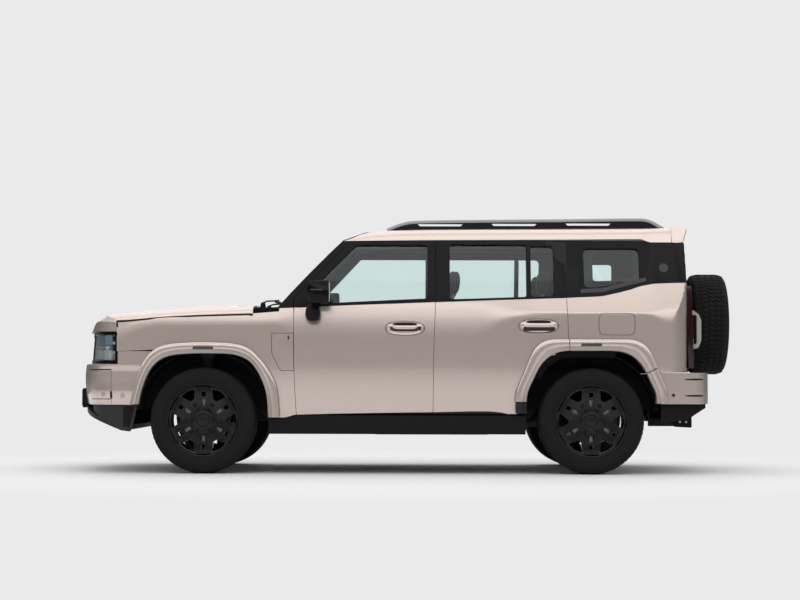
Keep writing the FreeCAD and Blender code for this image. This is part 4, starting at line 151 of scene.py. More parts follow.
# The floor catches the car's shadow near it and fades into the background further off
FADE_START, FADE_END = 2.6, 5.0
FLOOR_REACH = 60
floor_material, tree, shader = new_material("studio_floor")
fill(shader, Base_Color=(0.8, 0.8, 0.8, 1), Roughness=0.9, Specular_IOR_Level=0.1)
where = add(tree, "ShaderNodeTexCoord")
away = add(tree, "ShaderNodeVectorMath", operation="LENGTH")
fade = add(tree, "ShaderNodeMapRange", interpolation_type="SMOOTHSTEP")
fill(fade, From_Min=FADE_START, From_Max=FADE_END)
seen = add(tree, "ShaderNodeLightPath")
share = add(tree, "ShaderNodeMath", operation="MULTIPLY")
plain = add(tree, "ShaderNodeEmission", Color=(*PALE, 1))
blend = add(tree, "ShaderNodeMixShader")
wire(tree, (where.outputs["Object"], away.inputs[0]), (away.outputs["Value"], fade.inputs["Value"]),
     (fade.outputs[0], share.inputs[0]), (seen.outputs["Is Camera Ray"], share.inputs[1]),
     (share.outputs[0], blend.inputs[0]), (shader.outputs[0], blend.inputs[1]),
     (plain.outputs[0], blend.inputs[2]), (blend.outputs[0], tree.nodes["Material Output"].inputs["Surface"]))
corners = [(FLOOR_REACH * a, FLOOR_REACH * b, 0) for a, b in ((-1, -1), (1, -1), (1, 1), (-1, 1))]
stage_piece("studio_floor", corners, [(0, 1, 2, 3)], floor_material)

# A grey wall far round it, which the flanks mirror
WALL_RADIUS, WALL_HEIGHT, WALL_SIDES = 24, 5.5, 64
wall_material, tree, shader = new_material("studio_wall")
fill(shader, Base_Color=(0.16, 0.16, 0.16, 1), Roughness=1.0)
ring = [(WALL_RADIUS * math.cos(a), WALL_RADIUS * math.sin(a))
        for a in (2 * math.pi * k / WALL_SIDES for k in range(WALL_SIDES))]
wall = stage_piece("studio_wall", [(x, y, z) for z in (0.0, WALL_HEIGHT) for x, y in ring],
                   [(k, (k + 1) % WALL_SIDES, WALL_SIDES + (k + 1) % WALL_SIDES, WALL_SIDES + k)
                    for k in range(WALL_SIDES)], wall_material)
wall.visible_camera = False
wall.visible_transmission = False


# Geometry helpers

def even(low, high, count):
    """Evenly spaced values, both ends among them."""
    return [low + (high - low) * k / (count - 1) for k in range(count)]


def around(count):
    """Evenly spaced angles round a circle."""
    return [2 * math.pi * k / count for k in range(count)]


def smooth(low, high, value):
    """A soft step from 0 at low to 1 at high."""
    share = min(max((value - low) / (high - low), 0.0), 1.0)
    return share * share * (3 - 2 * share)


def soft_min(values, room):
    """The lowest value, rounded where two meet."""
    low = values[0]
    for other in values[1:]:
        blend = max(room - abs(low - other), 0.0) / room
        low = min(low, other) - blend * blend * room / 4
    return low


def curve(points):
    """A smooth line that doesn't overshoot, through points of (place, value)."""
    xs = [p[0] for p in points]
    ys = [p[1] for p in points]
    count = len(xs)
    steps = [(ys[i + 1] - ys[i]) / (xs[i + 1] - xs[i]) for i in range(count - 1)]
    slopes = [steps[0]]
    for i in range(1, count - 1):
        a, b = steps[i - 1], steps[i]
        slopes.append(0.0 if a * b <= 0 else 2 * a * b / (a + b))
    slopes.append(steps[-1])

    def at(x):
        if x <= xs[0]:
            return ys[0] + slopes[0] * (x - xs[0])
        if x >= xs[-1]:
            return ys[-1] + slopes[-1] * (x - xs[-1])
        i = max(k for k in range(count - 1) if xs[k] <= x)
        h = xs[i + 1] - xs[i]
        t = (x - xs[i]) / h
        return (ys[i] * (1 + 2 * t) * (1 - t) ** 2 + slopes[i] * h * t * (1 - t) ** 2
                + ys[i + 1] * t * t * (3 - 2 * t) + slopes[i + 1] * h * t * t * (t - 1))
    return at


def rounded(corners, steps=6):
    """A closed outline whose corners (u, v, radius) are rounded."""
    points = []
    count = len(corners)
    for i, corner in enumerate(corners):
        here = Vector(corner[:2])
        radius = corner[2] if len(corner) > 2 else 0
        if not radius:
            points.append(tuple(here))
            continue
        before = Vector(corners[i - 1][:2]) - here
        after = Vector(corners[(i + 1) % count][:2]) - here
        half = before.angle(after) / 2
        reach = min(radius / math.tan(half), before.length * 0.49, after.length * 0.49)
        start, end = here + before.normalized() * reach, here + after.normalized() * reach
        for k in range(steps + 1):
            t = k / steps
            point = start * (1 - t) ** 2 + here * 2 * t * (1 - t) + end * t * t
            points.append(tuple(point))
    return points


def bar_outline(low_u, high_u, low_w, high_w, radius=0, steps=4):
    """A rectangle, with round corners if radius is given."""
    corners = ((low_u, low_w), (high_u, low_w), (high_u, high_w), (low_u, high_w))
    return rounded([(u, w, radius) for u, w in corners], steps)


def dense(outline, step, closed=True):
    """An outline with no run longer than step."""
    points = []
    count = len(outline)
    for i in range(count if closed else count - 1):
        a, b = Vector(outline[i]), Vector(outline[(i + 1) % count])
        parts = max(1, math.ceil((b - a).length / step))
        points += [tuple(a.lerp(b, k / parts)) for k in range(parts)]
    if not closed:
        points.append(tuple(outline[-1]))
    return points


def inside(point, outline):
    """Whether a point is inside a closed outline."""
    x, y = point
    hit = False
    j = len(outline) - 1
    for i, (xi, yi) in enumerate(outline):
        xj, yj = outline[j]
        if (yi > y) != (yj > y) and x < (xj - xi) * (y - yi) / (yj - yi) + xi:
            hit = not hit
        j = i
    return hit


def settle(name, mesh, body, material, replaces=()):
    """An object of a mesh, smooth and in its material, that rides on a body."""
    mesh.materials.append(material)
    mesh.polygons.foreach_set("use_smooth", [True] * len(mesh.polygons))
    thing = bpy.data.objects.new(name, mesh)
    scene.collection.objects.link(thing)
    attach(thing, body)
    if replaces:
        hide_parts(*replaces)
    return thing


def finish(name, verts, faces, body, material, normals=None, sharp=None, replaces=()):
    """A piece made of points and faces."""
    mesh = bpy.data.meshes.new(name)
    mesh.from_pydata([tuple(p) for p in verts], [], faces)
    mesh.validate()
    thing = settle(name, mesh, body, material, replaces)
    if normals:
        mesh.normals_split_custom_set_from_vertices([tuple(n) for n in normals])
    elif sharp:
        mesh.set_sharp_from_angle(angle=math.radians(sharp))
    return thing


def facing(verts, face, normals):
    """The face, turned so that it looks the way its normals do."""
    a, b, c = (Vector(verts[i]) for i in face[:3])
    wanted = sum((Vector(normals[i]) for i in face), Vector())
    return face if (b - a).cross(c - a).dot(wanted) >= 0 else face[::-1]


def panel(name, outline, place, outward, body, material, holes=(), step=0.035, run=0.014,
          fold=0.012, corner=0.0016, hole_fold=None, replaces=()):
    """A sheet cut to an outline on a surface, with its edges rolled and folded in.

    place gives the point for (u, v), outward a rough direction from the object at a point. The grid
    inside has cells of a step, and no run of an edge is longer than run. fold is how far the outer
    edge folds in, hole_fold the same at the holes, and corner the radius of the roll."""
    loops = [dense(outline, run)] + [dense(hole, run) for hole in holes]
    points, edges = [], []
    for loop in loops:
        first = len(points)
        points += [Vector(p) for p in loop]
        edges += [(first + i, first + (i + 1) % len(loop)) for i in range(len(loop))]
    us, vs = [p[0] for p in loops[0]], [p[1] for p in loops[0]]
    cells = {}
    for p in points:
        cells.setdefault((int(p[0] // step), int(p[1] // step)), []).append(p)
    u = math.floor(min(us) / step) * step
    while u < max(us):
        w = math.floor(min(vs) / step) * step
        while w < max(vs):
            column, row = int(u // step), int(w // step)
            near = [p for a in (-1, 0, 1) for b in (-1, 0, 1) for p in cells.get((column + a, row + b), [])]
            if all((p[0] - u) ** 2 + (p[1] - w) ** 2 > (step * 0.4) ** 2 for p in near):
                if inside((u, w), loops[0]) and not any(inside((u, w), hole) for hole in loops[1:]):
                    points.append(Vector((u, w)))
            w += step
        u += step
    flat, _, triangles, _, _, _ = delaunay_2d_cdt(points, edges, [], 0, 1e-7)
    kept = []
    for triangle in triangles:
        middle = sum((flat[i] for i in triangle), Vector((0, 0))) / 3
        if inside(middle, loops[0]) and not any(inside(middle, hole) for hole in loops[1:]):
            kept.append(tuple(triangle))
    verts, normals = [], []

    def normal_at(a, b):
        e = 0.002
        across = place(a + e, b) - place(a - e, b)
        along = place(a, b + e) - place(a, b - e)
        n = across.cross(along).normalized()
        return n if n.dot(outward(place(a, b))) > 0 else -n

    for p in flat:
        verts.append(place(p[0], p[1]))
        normals.append(normal_at(p[0], p[1]))
    faces = [facing(verts, face, normals) for face in kept]
    for index, loop in enumerate(loops):
        depth = fold if index == 0 or hole_fold is None else hole_fold
        count = len(loop)
        area = sum(loop[i][0] * loop[(i + 1) % count][1] - loop[(i + 1) % count][0] * loop[i][1]
                   for i in range(count))
        rings = [[], [], [], []]
        for i in range(count):
            a, b = Vector(loop[i - 1]), Vector(loop[(i + 1) % count])
            here = loop[i]
            top = place(*here)
            n = normal_at(*here)
            tangent = (place(*b) - place(*a)).normalized()
            side = tangent.cross(n)
            to_out = place(here[0] + (b - a).y * 0.01 * (1 if area > 0 else -1),
                           here[1] - (b - a).x * 0.01 * (1 if area > 0 else -1)) - top
            if index:
                to_out = -to_out
            if side.dot(to_out) < 0:
                side = -side
            side.normalize()
            for ring, (shift, down, turn) in zip(rings, (
                    (0, 0, 0), (corner * 0.7, corner * 0.3, 0.5), (corner, corner, 1), (corner, depth, 1))):
                ring.append(len(verts))
                verts.append(top + side * shift - n * down)
                normals.append((n * (1 - turn) + side * turn).normalized())
        for low, high in zip(rings, rings[1:]):
            for i in range(count):
                j = (i + 1) % count
                faces.append(facing(verts, (low[i], low[j], high[j], high[i]), normals))
    return finish(name, verts, faces, body, material, normals, replaces=replaces)


def loft(name, rows, body, material, close_rows=False, close_row=False, caps=False, sharp=35, replaces=()):
    """A skin through rows of points, each row as long as the next."""
    verts = [p for row in rows for p in row]
    width, count = len(rows[0]), len(rows)
    faces = []
    for i in range(count if close_rows else count - 1):
        for k in range(width if close_row else width - 1):
            a, b = i * width + k, i * width + (k + 1) % width
            c, d = ((i + 1) % count) * width + (k + 1) % width, ((i + 1) % count) * width + k
            faces.append((a, b, c, d))
    if caps:
        faces.append(tuple(range(width))[::-1])
        faces.append(tuple(range((count - 1) * width, count * width)))
    thing = finish(name, verts, faces, body, material, sharp=sharp, replaces=replaces)
    edit = bmesh.new()
    edit.from_mesh(thing.data)
    bmesh.ops.recalc_face_normals(edit, faces=edit.faces)
    edit.to_mesh(thing.data)
    edit.free()
    thing.data.set_sharp_from_angle(angle=math.radians(sharp))
    return thing


def solid(name, parts, body, material, sharp=35, bevel=0.0, segments=2, replaces=()):
    """One object of several closed hulls, each a pair of equal outlines."""
    edit = bmesh.new()
    for first, last in parts:
        low = [edit.verts.new(p) for p in first]
        high = [edit.verts.new(p) for p in last]
        edit.faces.new(low)
        edit.faces.new(high[::-1])
        for i in range(len(low)):
            edit.faces.new((low[i], high[i], high[(i + 1) % len(low)], low[(i + 1) % len(low)]))
    bmesh.ops.recalc_face_normals(edit, faces=edit.faces)
    if bevel:
        keen = [e for e in edit.edges if e.is_manifold and e.calc_face_angle() > 0.6]
        bmesh.ops.bevel(edit, geom=keen, offset=bevel, segments=segments, profile=0.6, affect="EDGES",
                        clamp_overlap=True)
    mesh = bpy.data.meshes.new(name)
    edit.to_mesh(mesh)
    edit.free()
    mesh.set_sharp_from_angle(angle=math.radians(sharp))
    return settle(name, mesh, body, material, replaces)


def slab(outline, axis, low, high):
    """A pair of outlines for solid(): the (u, v) outline at two places along an axis."""
    order = {"x": lambda t, u, w: Vector((t, u, w)), "y": lambda t, u, w: Vector((u, t, w)),
             "z": lambda t, u, w: Vector((u, w, t))}[axis]
    return [order(low, *p) for p in outline], [order(high, *p) for p in outline]


def block(low, high):
    """The two outlines of an upright box."""
    (x0, y0, z0), (x1, y1, z1) = low, high
    return slab(bar_outline(x0, x1, z0, z1), "y", y0, y1)


def tube(name, points, radius, body, material, sides=10, flat=1.0):
    """A round bar along points."""
    points = [Vector(p) for p in points]
    rows = []
    for i, p in enumerate(points):
        along = (points[min(i + 1, len(points) - 1)] - points[max(i - 1, 0)]).normalized()
        across = along.cross(Vector((0, 0, 1)))
        if across.length < 0.05:
            across = along.cross(Vector((1, 0, 0)))
        across.normalize()
        rise = across.cross(along).normalized()
        rows.append([p + across * radius * math.cos(a) + rise * radius * flat * math.sin(a)
                     for a in around(sides)])
    return loft(name, rows, body, material, close_row=True, caps=True, sharp=50)


def lathe(name, profile, centre, axis, body, material, steps=64, sharp=30, replaces=(), closed=False):
    """A turned shape: profile of (radius, height along the axis)."""
    axis = Vector(axis).normalized()
    one = axis.orthogonal().normalized()
    two = axis.cross(one)
    rows = []
    for a in around(steps):
        way = one * math.cos(a) + two * math.sin(a)
        rows.append([Vector(centre) + way * r + axis * h for r, h in profile])
    return loft(name, rows, body, material, close_rows=True, close_row=closed, sharp=sharp, replaces=replaces)


def oval(u, w, half_u, half_w, power_u=1, power_w=1, count=20):
    """An outline round (u, w): an ellipse at powers of 1, squarer below."""
    points = []
    for a in around(count):
        c, s = math.cos(a), math.sin(a)
        points.append((u + half_u * math.copysign(abs(c) ** power_u, c),
                       w + half_w * math.copysign(abs(s) ** power_w, s)))
    return points


def disc(u, w, radius):
    """A round outline."""
    return oval(u, w, radius, radius)


def span(sign, a, b):
    """Two distances from the centre line on one side, the lower value first."""
    return sorted((sign * a, sign * b))


def way_curves(points):
    """For a line through points: the way along it to each point, and both coordinates by that way."""
    steps = [0.0]
    for a, b in zip(points, points[1:]):
        steps.append(steps[-1] + math.dist(a, b))
    return steps, *(curve([(way, p[i]) for way, p in zip(steps, points)]) for i in (0, 1))


# Materials

def noise(tree, **values):
    """A noise texture on the object's own coordinates."""
    made = add(tree, "ShaderNodeTexNoise", **values)
    wire(tree, (add(tree, "ShaderNodeTexCoord").outputs["Object"], made.inputs["Vector"]))
    return made.outputs[0]


def tint(tree, shader, share, light, dark):
    """The base colour, mixed from two tones."""
    mixer = add(tree, "ShaderNodeMix", data_type="RGBA")
    mixer.inputs[6].default_value = (*dark, 1)
    mixer.inputs[7].default_value = (*light, 1)
    wire(tree, (share, mixer.inputs[0]), (mixer.outputs[2], shader.inputs["Base Color"]))


def bump(tree, target, height, strength, distance):
    """A bump into a normal socket."""
    made = add(tree, "ShaderNodeBump", Strength=strength, Distance=distance)
    wire(tree, (height, made.inputs["Height"]), (made.outputs[0], target))


def painted(name, light, dark, metallic, rough, coat=0.6):
    """Metallic paint under a clear coat, with fine flakes and a faint orange peel."""
    material, tree, shader = new_material(name)
    tint(tree, shader, noise(tree, Scale=700.0, Detail=2.0), light, dark)
    bump(tree, shader.inputs["Coat Normal"], noise(tree, Scale=160.0, Detail=1.0), 0.015, 0.001)
    fill(shader, Metallic=metallic, Roughness=rough, Coat_Weight=coat, Coat_Roughness=0.04)
    return material


def grained(name, light, dark, rough, scale=900.0, strength=0.25, metallic=0.0, spread=0.12, coat=0.0,
            shine=0.25):
    """A moulded or cast surface: fine grain, soft patches of tone, uneven gloss."""
    material, tree, shader = new_material(name)
    patches = noise(tree, Scale=6.0, Detail=4.0)
    tint(tree, shader, patches, light, dark)
    gloss = add(tree, "ShaderNodeMapRange")
    fill(gloss, To_Min=max(rough - spread, 0.02), To_Max=min(rough + spread, 1.0))
    wire(tree, (patches, gloss.inputs["Value"]), (gloss.outputs[0], shader.inputs["Roughness"]))
    bump(tree, shader.inputs["Normal"], noise(tree, Scale=scale, Detail=2.0), strength, 0.0006)
    fill(shader, Metallic=metallic, Coat_Weight=coat, Coat_Roughness=0.05, Specular_IOR_Level=shine)
    return material


def woven(name, light, dark):
    """Seat cloth: two crossing threads, in bump and in tone."""
    pitch = 0.0028
    material, tree, shader = new_material(name)
    where = add(tree, "ShaderNodeTexCoord")
    both = add(tree, "ShaderNodeMath", operation="MULTIPLY")
    for index, direction in enumerate(("X", "Z")):
        wave = add(tree, "ShaderNodeTexWave", Scale=0.314 / pitch, Distortion=0.6, bands_direction=direction)
        wire(tree, (where.outputs["Object"], wave.inputs["Vector"]),
             (wave.outputs["Fac"], both.inputs[index]))
    tint(tree, shader, both.outputs[0], light, dark)
    bump(tree, shader.inputs["Normal"], both.outputs[0], 0.4, 0.0008)
    fill(shader, Roughness=0.85, Sheen_Weight=0.3)
    return material


def glassy(name, light, dark):
    """Clear or tinted glass with a faint unevenness."""
    material, tree, shader = new_material(name)
    tint(tree, shader, noise(tree, Scale=2.0, Detail=2.0), light, dark)
    fill(shader, Transmission_Weight=1.0, Roughness=0.0, IOR=1.45)
    return material


PAINT = painted("champagne_paint", (0.675, 0.575, 0.523), (0.588, 0.492, 0.441), 0.82, 0.26)
# A dark copy of the paint: painted shade round the parking sensors and on the rear sensors
PAINT_SHADE = painted("champagne_lip", (0.4, 0.335, 0.3), (0.33, 0.275, 0.245), 0.6, 0.45, 0.3)
# A darker copy of the paint: painted shade on the flares' lips in the arches and on the front sensors' faces
SHADED_PAINT = painted("champagne_lip_face", (0.5, 0.44, 0.41), (0.43, 0.375, 0.345), 0.7, 0.36, 0.4)
BLACK_GLOSS = grained("black_gloss", (0.005, 0.005, 0.006), (0.003, 0.003, 0.004), 0.16, 300, 0.02, 0, 0.04,
                      0.1, shine=0.12)
BLACK_SATIN = grained("black_satin", (0.008, 0.008, 0.009), (0.005, 0.005, 0.006), 0.36, 700, 0.1, 0, 0.06,
                      shine=0.14)
BLACK_PLASTIC = grained("black_plastic", (0.009, 0.009, 0.01), (0.006, 0.006, 0.007), 0.62, 1100, 0.35,
                        shine=0.14)
GREY_PLASTIC = grained("grey_plastic", (0.072, 0.067, 0.063), (0.05, 0.047, 0.044), 0.5, 900, 0.2)
TYRE = grained("tyre_rubber", (0.0125, 0.0125, 0.013), (0.0085, 0.0085, 0.009), 0.78, 700, 0.4, shine=0.15)
RIM = grained("rim_black", (0.009, 0.009, 0.0095), (0.006, 0.006, 0.0065), 0.29, 500, 0.06, 0.2, 0.06, 0.25)
# A darker, matt copy of the rim black: painted shade for the wheels' grooves and the space behind the grille
DEEP_SHADE = grained("rim_pocket", (0.004, 0.004, 0.0045), (0.003, 0.003, 0.0035), 0.6, 500, 0.1, shine=0.1)
STEEL = grained("steel", (0.42, 0.41, 0.4), (0.28, 0.27, 0.26), 0.42, 260, 0.25, 0.9)
SILVER = grained("silver_trim", (0.6, 0.6, 0.6), (0.5, 0.5, 0.5), 0.33, 300, 0.04, 0.9, 0.04)
RAIL = grained("rail_grey", (0.31, 0.31, 0.31), (0.25, 0.25, 0.25), 0.36, 300, 0.04, 0.9, 0.04)
CAST = grained("cast_iron", (0.055, 0.055, 0.055), (0.028, 0.027, 0.026), 0.7, 160, 0.6, 0.5)
CHASSIS = grained("chassis_black", (0.012, 0.012, 0.012), (0.007, 0.007, 0.007), 0.5, 300, 0.2)
TRIM = grained("cabin_trim", (0.024, 0.024, 0.026), (0.015, 0.015, 0.017), 0.7, 700, 0.35)
LINING = grained("roof_lining", (0.2, 0.2, 0.195), (0.16, 0.16, 0.155), 0.9, 1200, 0.4)
FABRIC = woven("seat_cloth", (0.055, 0.055, 0.06), (0.022, 0.022, 0.025))
GLASS = glassy("window_glass", (0.88, 0.975, 0.962), (0.83, 0.94, 0.925))
LENS = glassy("lamp_lens", (0.93, 0.95, 0.97), (0.86, 0.88, 0.91))
TAIL = grained("tail_lens", (0.022, 0.004, 0.004), (0.01, 0.003, 0.003), 0.12, 300, 0.02, 0, 0.03, 0.5)
REFLECTOR = grained("lamp_reflector", (0.62, 0.65, 0.69), (0.42, 0.44, 0.48), 0.25, 60, 0.1, 0.9)
LAMP_DARK = grained("lamp_inside", (0.42, 0.47, 0.51), (0.33, 0.37, 0.41), 0.35, 60, 0.1, 0.3)
LAMP_BLUE = grained("lamp_blue", (0.235, 0.305, 0.365), (0.18, 0.24, 0.29), 0.3, 60, 0.1, 0.4)
LAMP_GREY = grained("lamp_grey", (0.55, 0.59, 0.58), (0.46, 0.5, 0.49), 0.35, 60, 0.1, 0.4)
PLATE = grained("blank_plate", (0.03, 0.03, 0.032), (0.02, 0.02, 0.022), 0.5, 500, 0.1)
LIGHT_GREY = grained("handle_grey", (0.42, 0.42, 0.41), (0.34, 0.34, 0.33), 0.5, 600, 0.1)
# Near black: the colour of real gaps, slits and seams, and also painted shadow in the door handles' recesses
# and painted shade on the flares' outer walls
GAP_AND_SHADOW = grained("shut_line", (0.02, 0.018, 0.016), (0.012, 0.011, 0.01), 0.8, 500, 0.1)
RED = grained("red_reflector", (0.3, 0.02, 0.015), (0.2, 0.012, 0.01), 0.25, 200, 0.1, 0, 0.05, 0.5)
WHITE = grained("lamp_white", (0.72, 0.74, 0.76), (0.6, 0.62, 0.65), 0.3, 200, 0.05)
VALANCE = grained("valance_grey", (0.032, 0.031, 0.031), (0.024, 0.0235, 0.023), 0.55, 900, 0.25)


def dress(material, *names):
    """A material for CAD nodes that stay visible."""
    for name in names:
        for slot in NODES[name].material_slots:
            slot.material = material


# Body surface

# Height of the shoulder line along the car
crease_height = curve([(-2.138, 1.0), (-2.07, 1.035), (-2.0, 1.078), (-1.9, 1.108), (-1.8, 1.118),
                       (-1.1, 1.122), (-0.8, 1.135), (0.0, 1.141), (0.6, 1.144), (0.75, 1.163), (0.98, 1.201),
                       (1.4, 1.204), (2.1, 1.204)])

# Where the side meets the windows and the roof, as height and half width, and the roof side's lean
BELT_Z, BELT_HALF = 1.277, 0.9378
ROOF_Z, ROOF_HALF, ROOF_LEAN = 1.745, 0.8155, 0.76
TAPER_X, TAPER_RUN, TAPER_DEPTH = -1.25, 0.888, 0.0113


def roof_half(z):
    """How far the roof's side stands from the centre line."""
    return ROOF_HALF - (z - ROOF_Z) * ROOF_LEAN


def half_width(x, z):
    """How far the painted side stands from the centre line."""
    crease, at_crease = crease_height(x) - 0.03 * smooth(1.8, 2.05, x), 0.958
    full = 0.9588 - 0.018 * (z - 0.9) ** 2
    tuck = 0.9315 + (z - 0.452) * 0.118
    shoulder = at_crease - (z - crease) * (at_crease - BELT_HALF) / (BELT_Z - crease)
    window = BELT_HALF - (z - BELT_Z) * 0.2606
    keen = 0.005 + 0.02 * (smooth(-1.0, -0.7, x) - smooth(0.5, 0.8, x)) + 0.012 * smooth(1.75, 1.95, x)
    wide = soft_min([soft_min([soft_min([full, tuck], 0.016), shoulder], keen), window, roof_half(z)], 0.004)
    if x < TAPER_X:
        wide -= TAPER_DEPTH * ((TAPER_X - x) / TAPER_RUN) ** 2
    return wide


def rear_edge(z):
    """X of the body's rear face."""
    return 2.1225 - 0.034 * (z - 0.76) / 0.985


# Past the post the side swings round the rear corner, by a radian for each SWING of u. EDGE is the
# middle of the corner's round edge, from the post.
POST_X, POST_Y, SWING = 1.95, 0.7, 0.26
EDGE_X, EDGE_Y, EDGE_RADIUS = 0.022, 0.105, 0.1538


def side_place(sign):
    """A point on the painted side for (x, z), swinging round the rear corner past the post."""
    def place(u, z):
        wide = half_width(min(u, POST_X), z)
        if u <= POST_X:
            return Vector((u, sign * wide, z))
        turn = (u - POST_X) / SWING
        along, across = math.sin(turn), math.cos(turn)
        reaches = [(rear_edge(z) + 0.0032 - POST_X) / along]
        if across > 0.02:
            reaches.append((wide - POST_Y) / across)
        toward = EDGE_X * along + EDGE_Y * across
        arc = toward + math.sqrt(max(toward ** 2 - EDGE_X ** 2 - EDGE_Y ** 2 + EDGE_RADIUS ** 2, 0))
        if arc * along > EDGE_X and arc * across > EDGE_Y:
            reaches.append(arc)
        reach = soft_min(reaches, 0.0008 + 0.0045 * smooth(0.1, 0.5, turn))
        reach += 0.003 * smooth(1.15, 1.25, z) * smooth(0.45, 0.6, turn) * smooth(1.2, 1.05, turn)
        return Vector((POST_X + reach * along, sign * (POST_Y + reach * across), z))
    return place


def side_out(sign):
    """Roughly outward from a side, and rearward behind it."""
    return lambda p: Vector((max(p.x - 1.9, 0) * 4, sign, 0.1))


PLACES = {-1: side_place(-1), 1: side_place(1)}


def way_round(z, y):
    """Where the side, swung round the rear corner, comes in to a distance from the centre line."""
    low, high = POST_X, 2.52
    for _ in range(30):
        middle = (low + high) / 2
        low, high = (middle, high) if PLACES[1](middle, z).y > y else (low, middle)
    return (low + high) / 2


def gate_half(z):
    """The tailgate's half width at a height."""
    return 0.792 - 0.076 * max(z - BELT_Z, 0) / 0.445


# Height of the belt and of the roof's gutter along the car
belt_line = curve([(-0.944, 1.229), (-0.805, 1.233), (-0.552, 1.246), (-0.404, 1.253), (-0.032, 1.267),
                   (0.191, 1.276),
        (0.34, 1.281), (0.712, 1.295), (1.009, 1.305), (1.202, 1.311), (1.306, 1.315), (1.455, 1.322),
        (1.53, 1.336), (1.678, 1.372), (1.753, 1.398), (1.827, 1.413), (1.864, 1.419), (2.08, 1.426)])
gutter_line = curve([(-0.48, 1.737), (-0.032, 1.742), (0.267, 1.745), (1.242, 1.751), (1.766, 1.755),
                     (1.789, 1.75),
          (1.841, 1.731), (2.2, 1.731)])

# X of the doors' shut lines by height
shut_front = curve([(0.437, -0.801), (0.586, -0.811), (0.771, -0.819), (0.994, -0.823), (1.3, -0.823)])
shut_middle = curve([(0.437, 0.213), (0.995, 0.22), (1.278, 0.231), (1.75, 0.233)])
shut_rear = curve([(0.7, 1.226), (0.92, 1.224), (0.994, 1.219), (1.143, 1.214), (1.314, 1.206),
                   (1.75, 1.204)])


def upright(line, shift, low, high, count):
    """Points up or down a shut line, moved to one side of it."""
    return [(line(z) + shift, z) for z in even(low, high, count)]


def level(line, lift, places):
    """Points along a line that runs the car's way, moved up or down from it."""
    return [(x, line(x) + lift) for x in places]


# Wheel arches and flares: points of the photograph's outline, about the axle

FRONT_OUTER = [(-2.032, 0.512), (-1.995, 0.66), (-1.958, 0.775), (-1.921, 0.845), (-1.884, 0.893),
               (-1.847, 0.921), (-1.81, 0.94), (-1.735, 0.957), (-1.661, 0.965), (-1.513, 0.971),
               (-1.365, 0.968), (-1.291, 0.963), (-1.217, 0.95), (-1.18, 0.938), (-1.143, 0.917),
               (-1.106, 0.886), (-1.069, 0.846), (-1.032, 0.801), (-0.995, 0.745), (-0.962, 0.682),
               (-0.943, 0.615), (-0.935, 0.549), (-0.928, 0.418)]
FRONT_INNER = [(-1.969, 0.512), (-1.958, 0.575), (-1.921, 0.695), (-1.884, 0.77), (-1.847, 0.815),
               (-1.81, 0.843), (-1.772, 0.862), (-1.735, 0.873), (-1.661, 0.884), (-1.513, 0.89),
               (-1.365, 0.889), (-1.291, 0.885), (-1.217, 0.868), (-1.143, 0.826), (-1.106, 0.782),
               (-1.069, 0.719), (-1.038, 0.645), (-1.022, 0.58), (-1.014, 0.512), (-1.009, 0.418)]


def arch_line(half, top_half, corner, top, low_front, low_rear):
    """An arch about the rear axle with rounded shoulders."""
    points = rounded([(REAR_X - half, low_front), (REAR_X - half, 0.6, 0.24),
                      (REAR_X - top_half, top, corner), (REAR_X + top_half, top, corner),
                      (REAR_X + half, 0.6, 0.24), (REAR_X + half, low_rear)], 8)
    return dense(points, 0.03, closed=False)


REAR_OUTER = arch_line(0.565, 0.397, 0.2, 0.999, 0.446, 0.527)
REAR_INNER = arch_line(0.48, 0.328, 0.3, 0.916, 0.446, 0.527)


def resampled(points, count):
    """Evenly spaced points along a smooth line through points."""
    ways, across, up = way_curves(points)
    return [(across(way), up(way)) for way in even(0, ways[-1], count)]


def matched(outer, inner, count):
    """Pairs of an outer point and its nearest inner point, in step round the arch."""
    rim = resampled(outer, count)
    lip = resampled(inner, 400)
    pairs = []
    last = 0
    for i, p in enumerate(rim):
        nearest = min(range(last, 400), key=lambda k: math.dist(lip[k], p))
        if i == 0:
            nearest = 0
        if i == count - 1:
            nearest = 399
        last = nearest
        pairs.append((p, lip[nearest]))
    return pairs


# A flare's sections: the share of the way from its outer to its inner line, and how far it stands out
FLARE_BASE = 0.956
FLARE_FORM = [(-0.045, -0.004), (-0.038, 0.01), (-0.028, 0.026), (-0.005, 0.0335), (0.03, 0.0352),
              (0.3, 0.0362), (0.545, 0.0366), (0.59, 0.0352), (0.65, 0.028), (0.76, 0.0215), (0.88, 0.016),
              (0.965, 0.0125), (1.0, 0.0085), (1.012, 0.0), (1.012, -0.06)]
GROOVE_FORM = [(-0.052, 0.0005), (-0.052, 0.003), (-0.036, 0.015)]
LIP_FORM = [(0.655, 0.0284), (0.76, 0.0222), (0.88, 0.0167), (0.965, 0.0132), (1.0, 0.0092), (1.016, 0.0),
            (1.016, -0.055)]


def flare_piece(name, pairs, sign, body):
    """A stretch of a flare: the dark groove at its foot, a joint darkened further as painted shade, its face,
    and the lip in the arch in a darker copy of the paint as painted shade.
    """
    for label, form, material in (("_groove", GROOVE_FORM, GAP_AND_SHADOW), ("_lip", LIP_FORM, SHADED_PAINT),
                                  ("", FLARE_FORM, PAINT)):
        rows = [[Vector((outer[0] + (inner[0] - outer[0]) * share, sign * (FLARE_BASE + proud),
                         outer[1] + (inner[1] - outer[1]) * share)) for share, proud in form]
                for outer, inner in pairs]
        loft(name + label, rows, body, material, sharp=40)


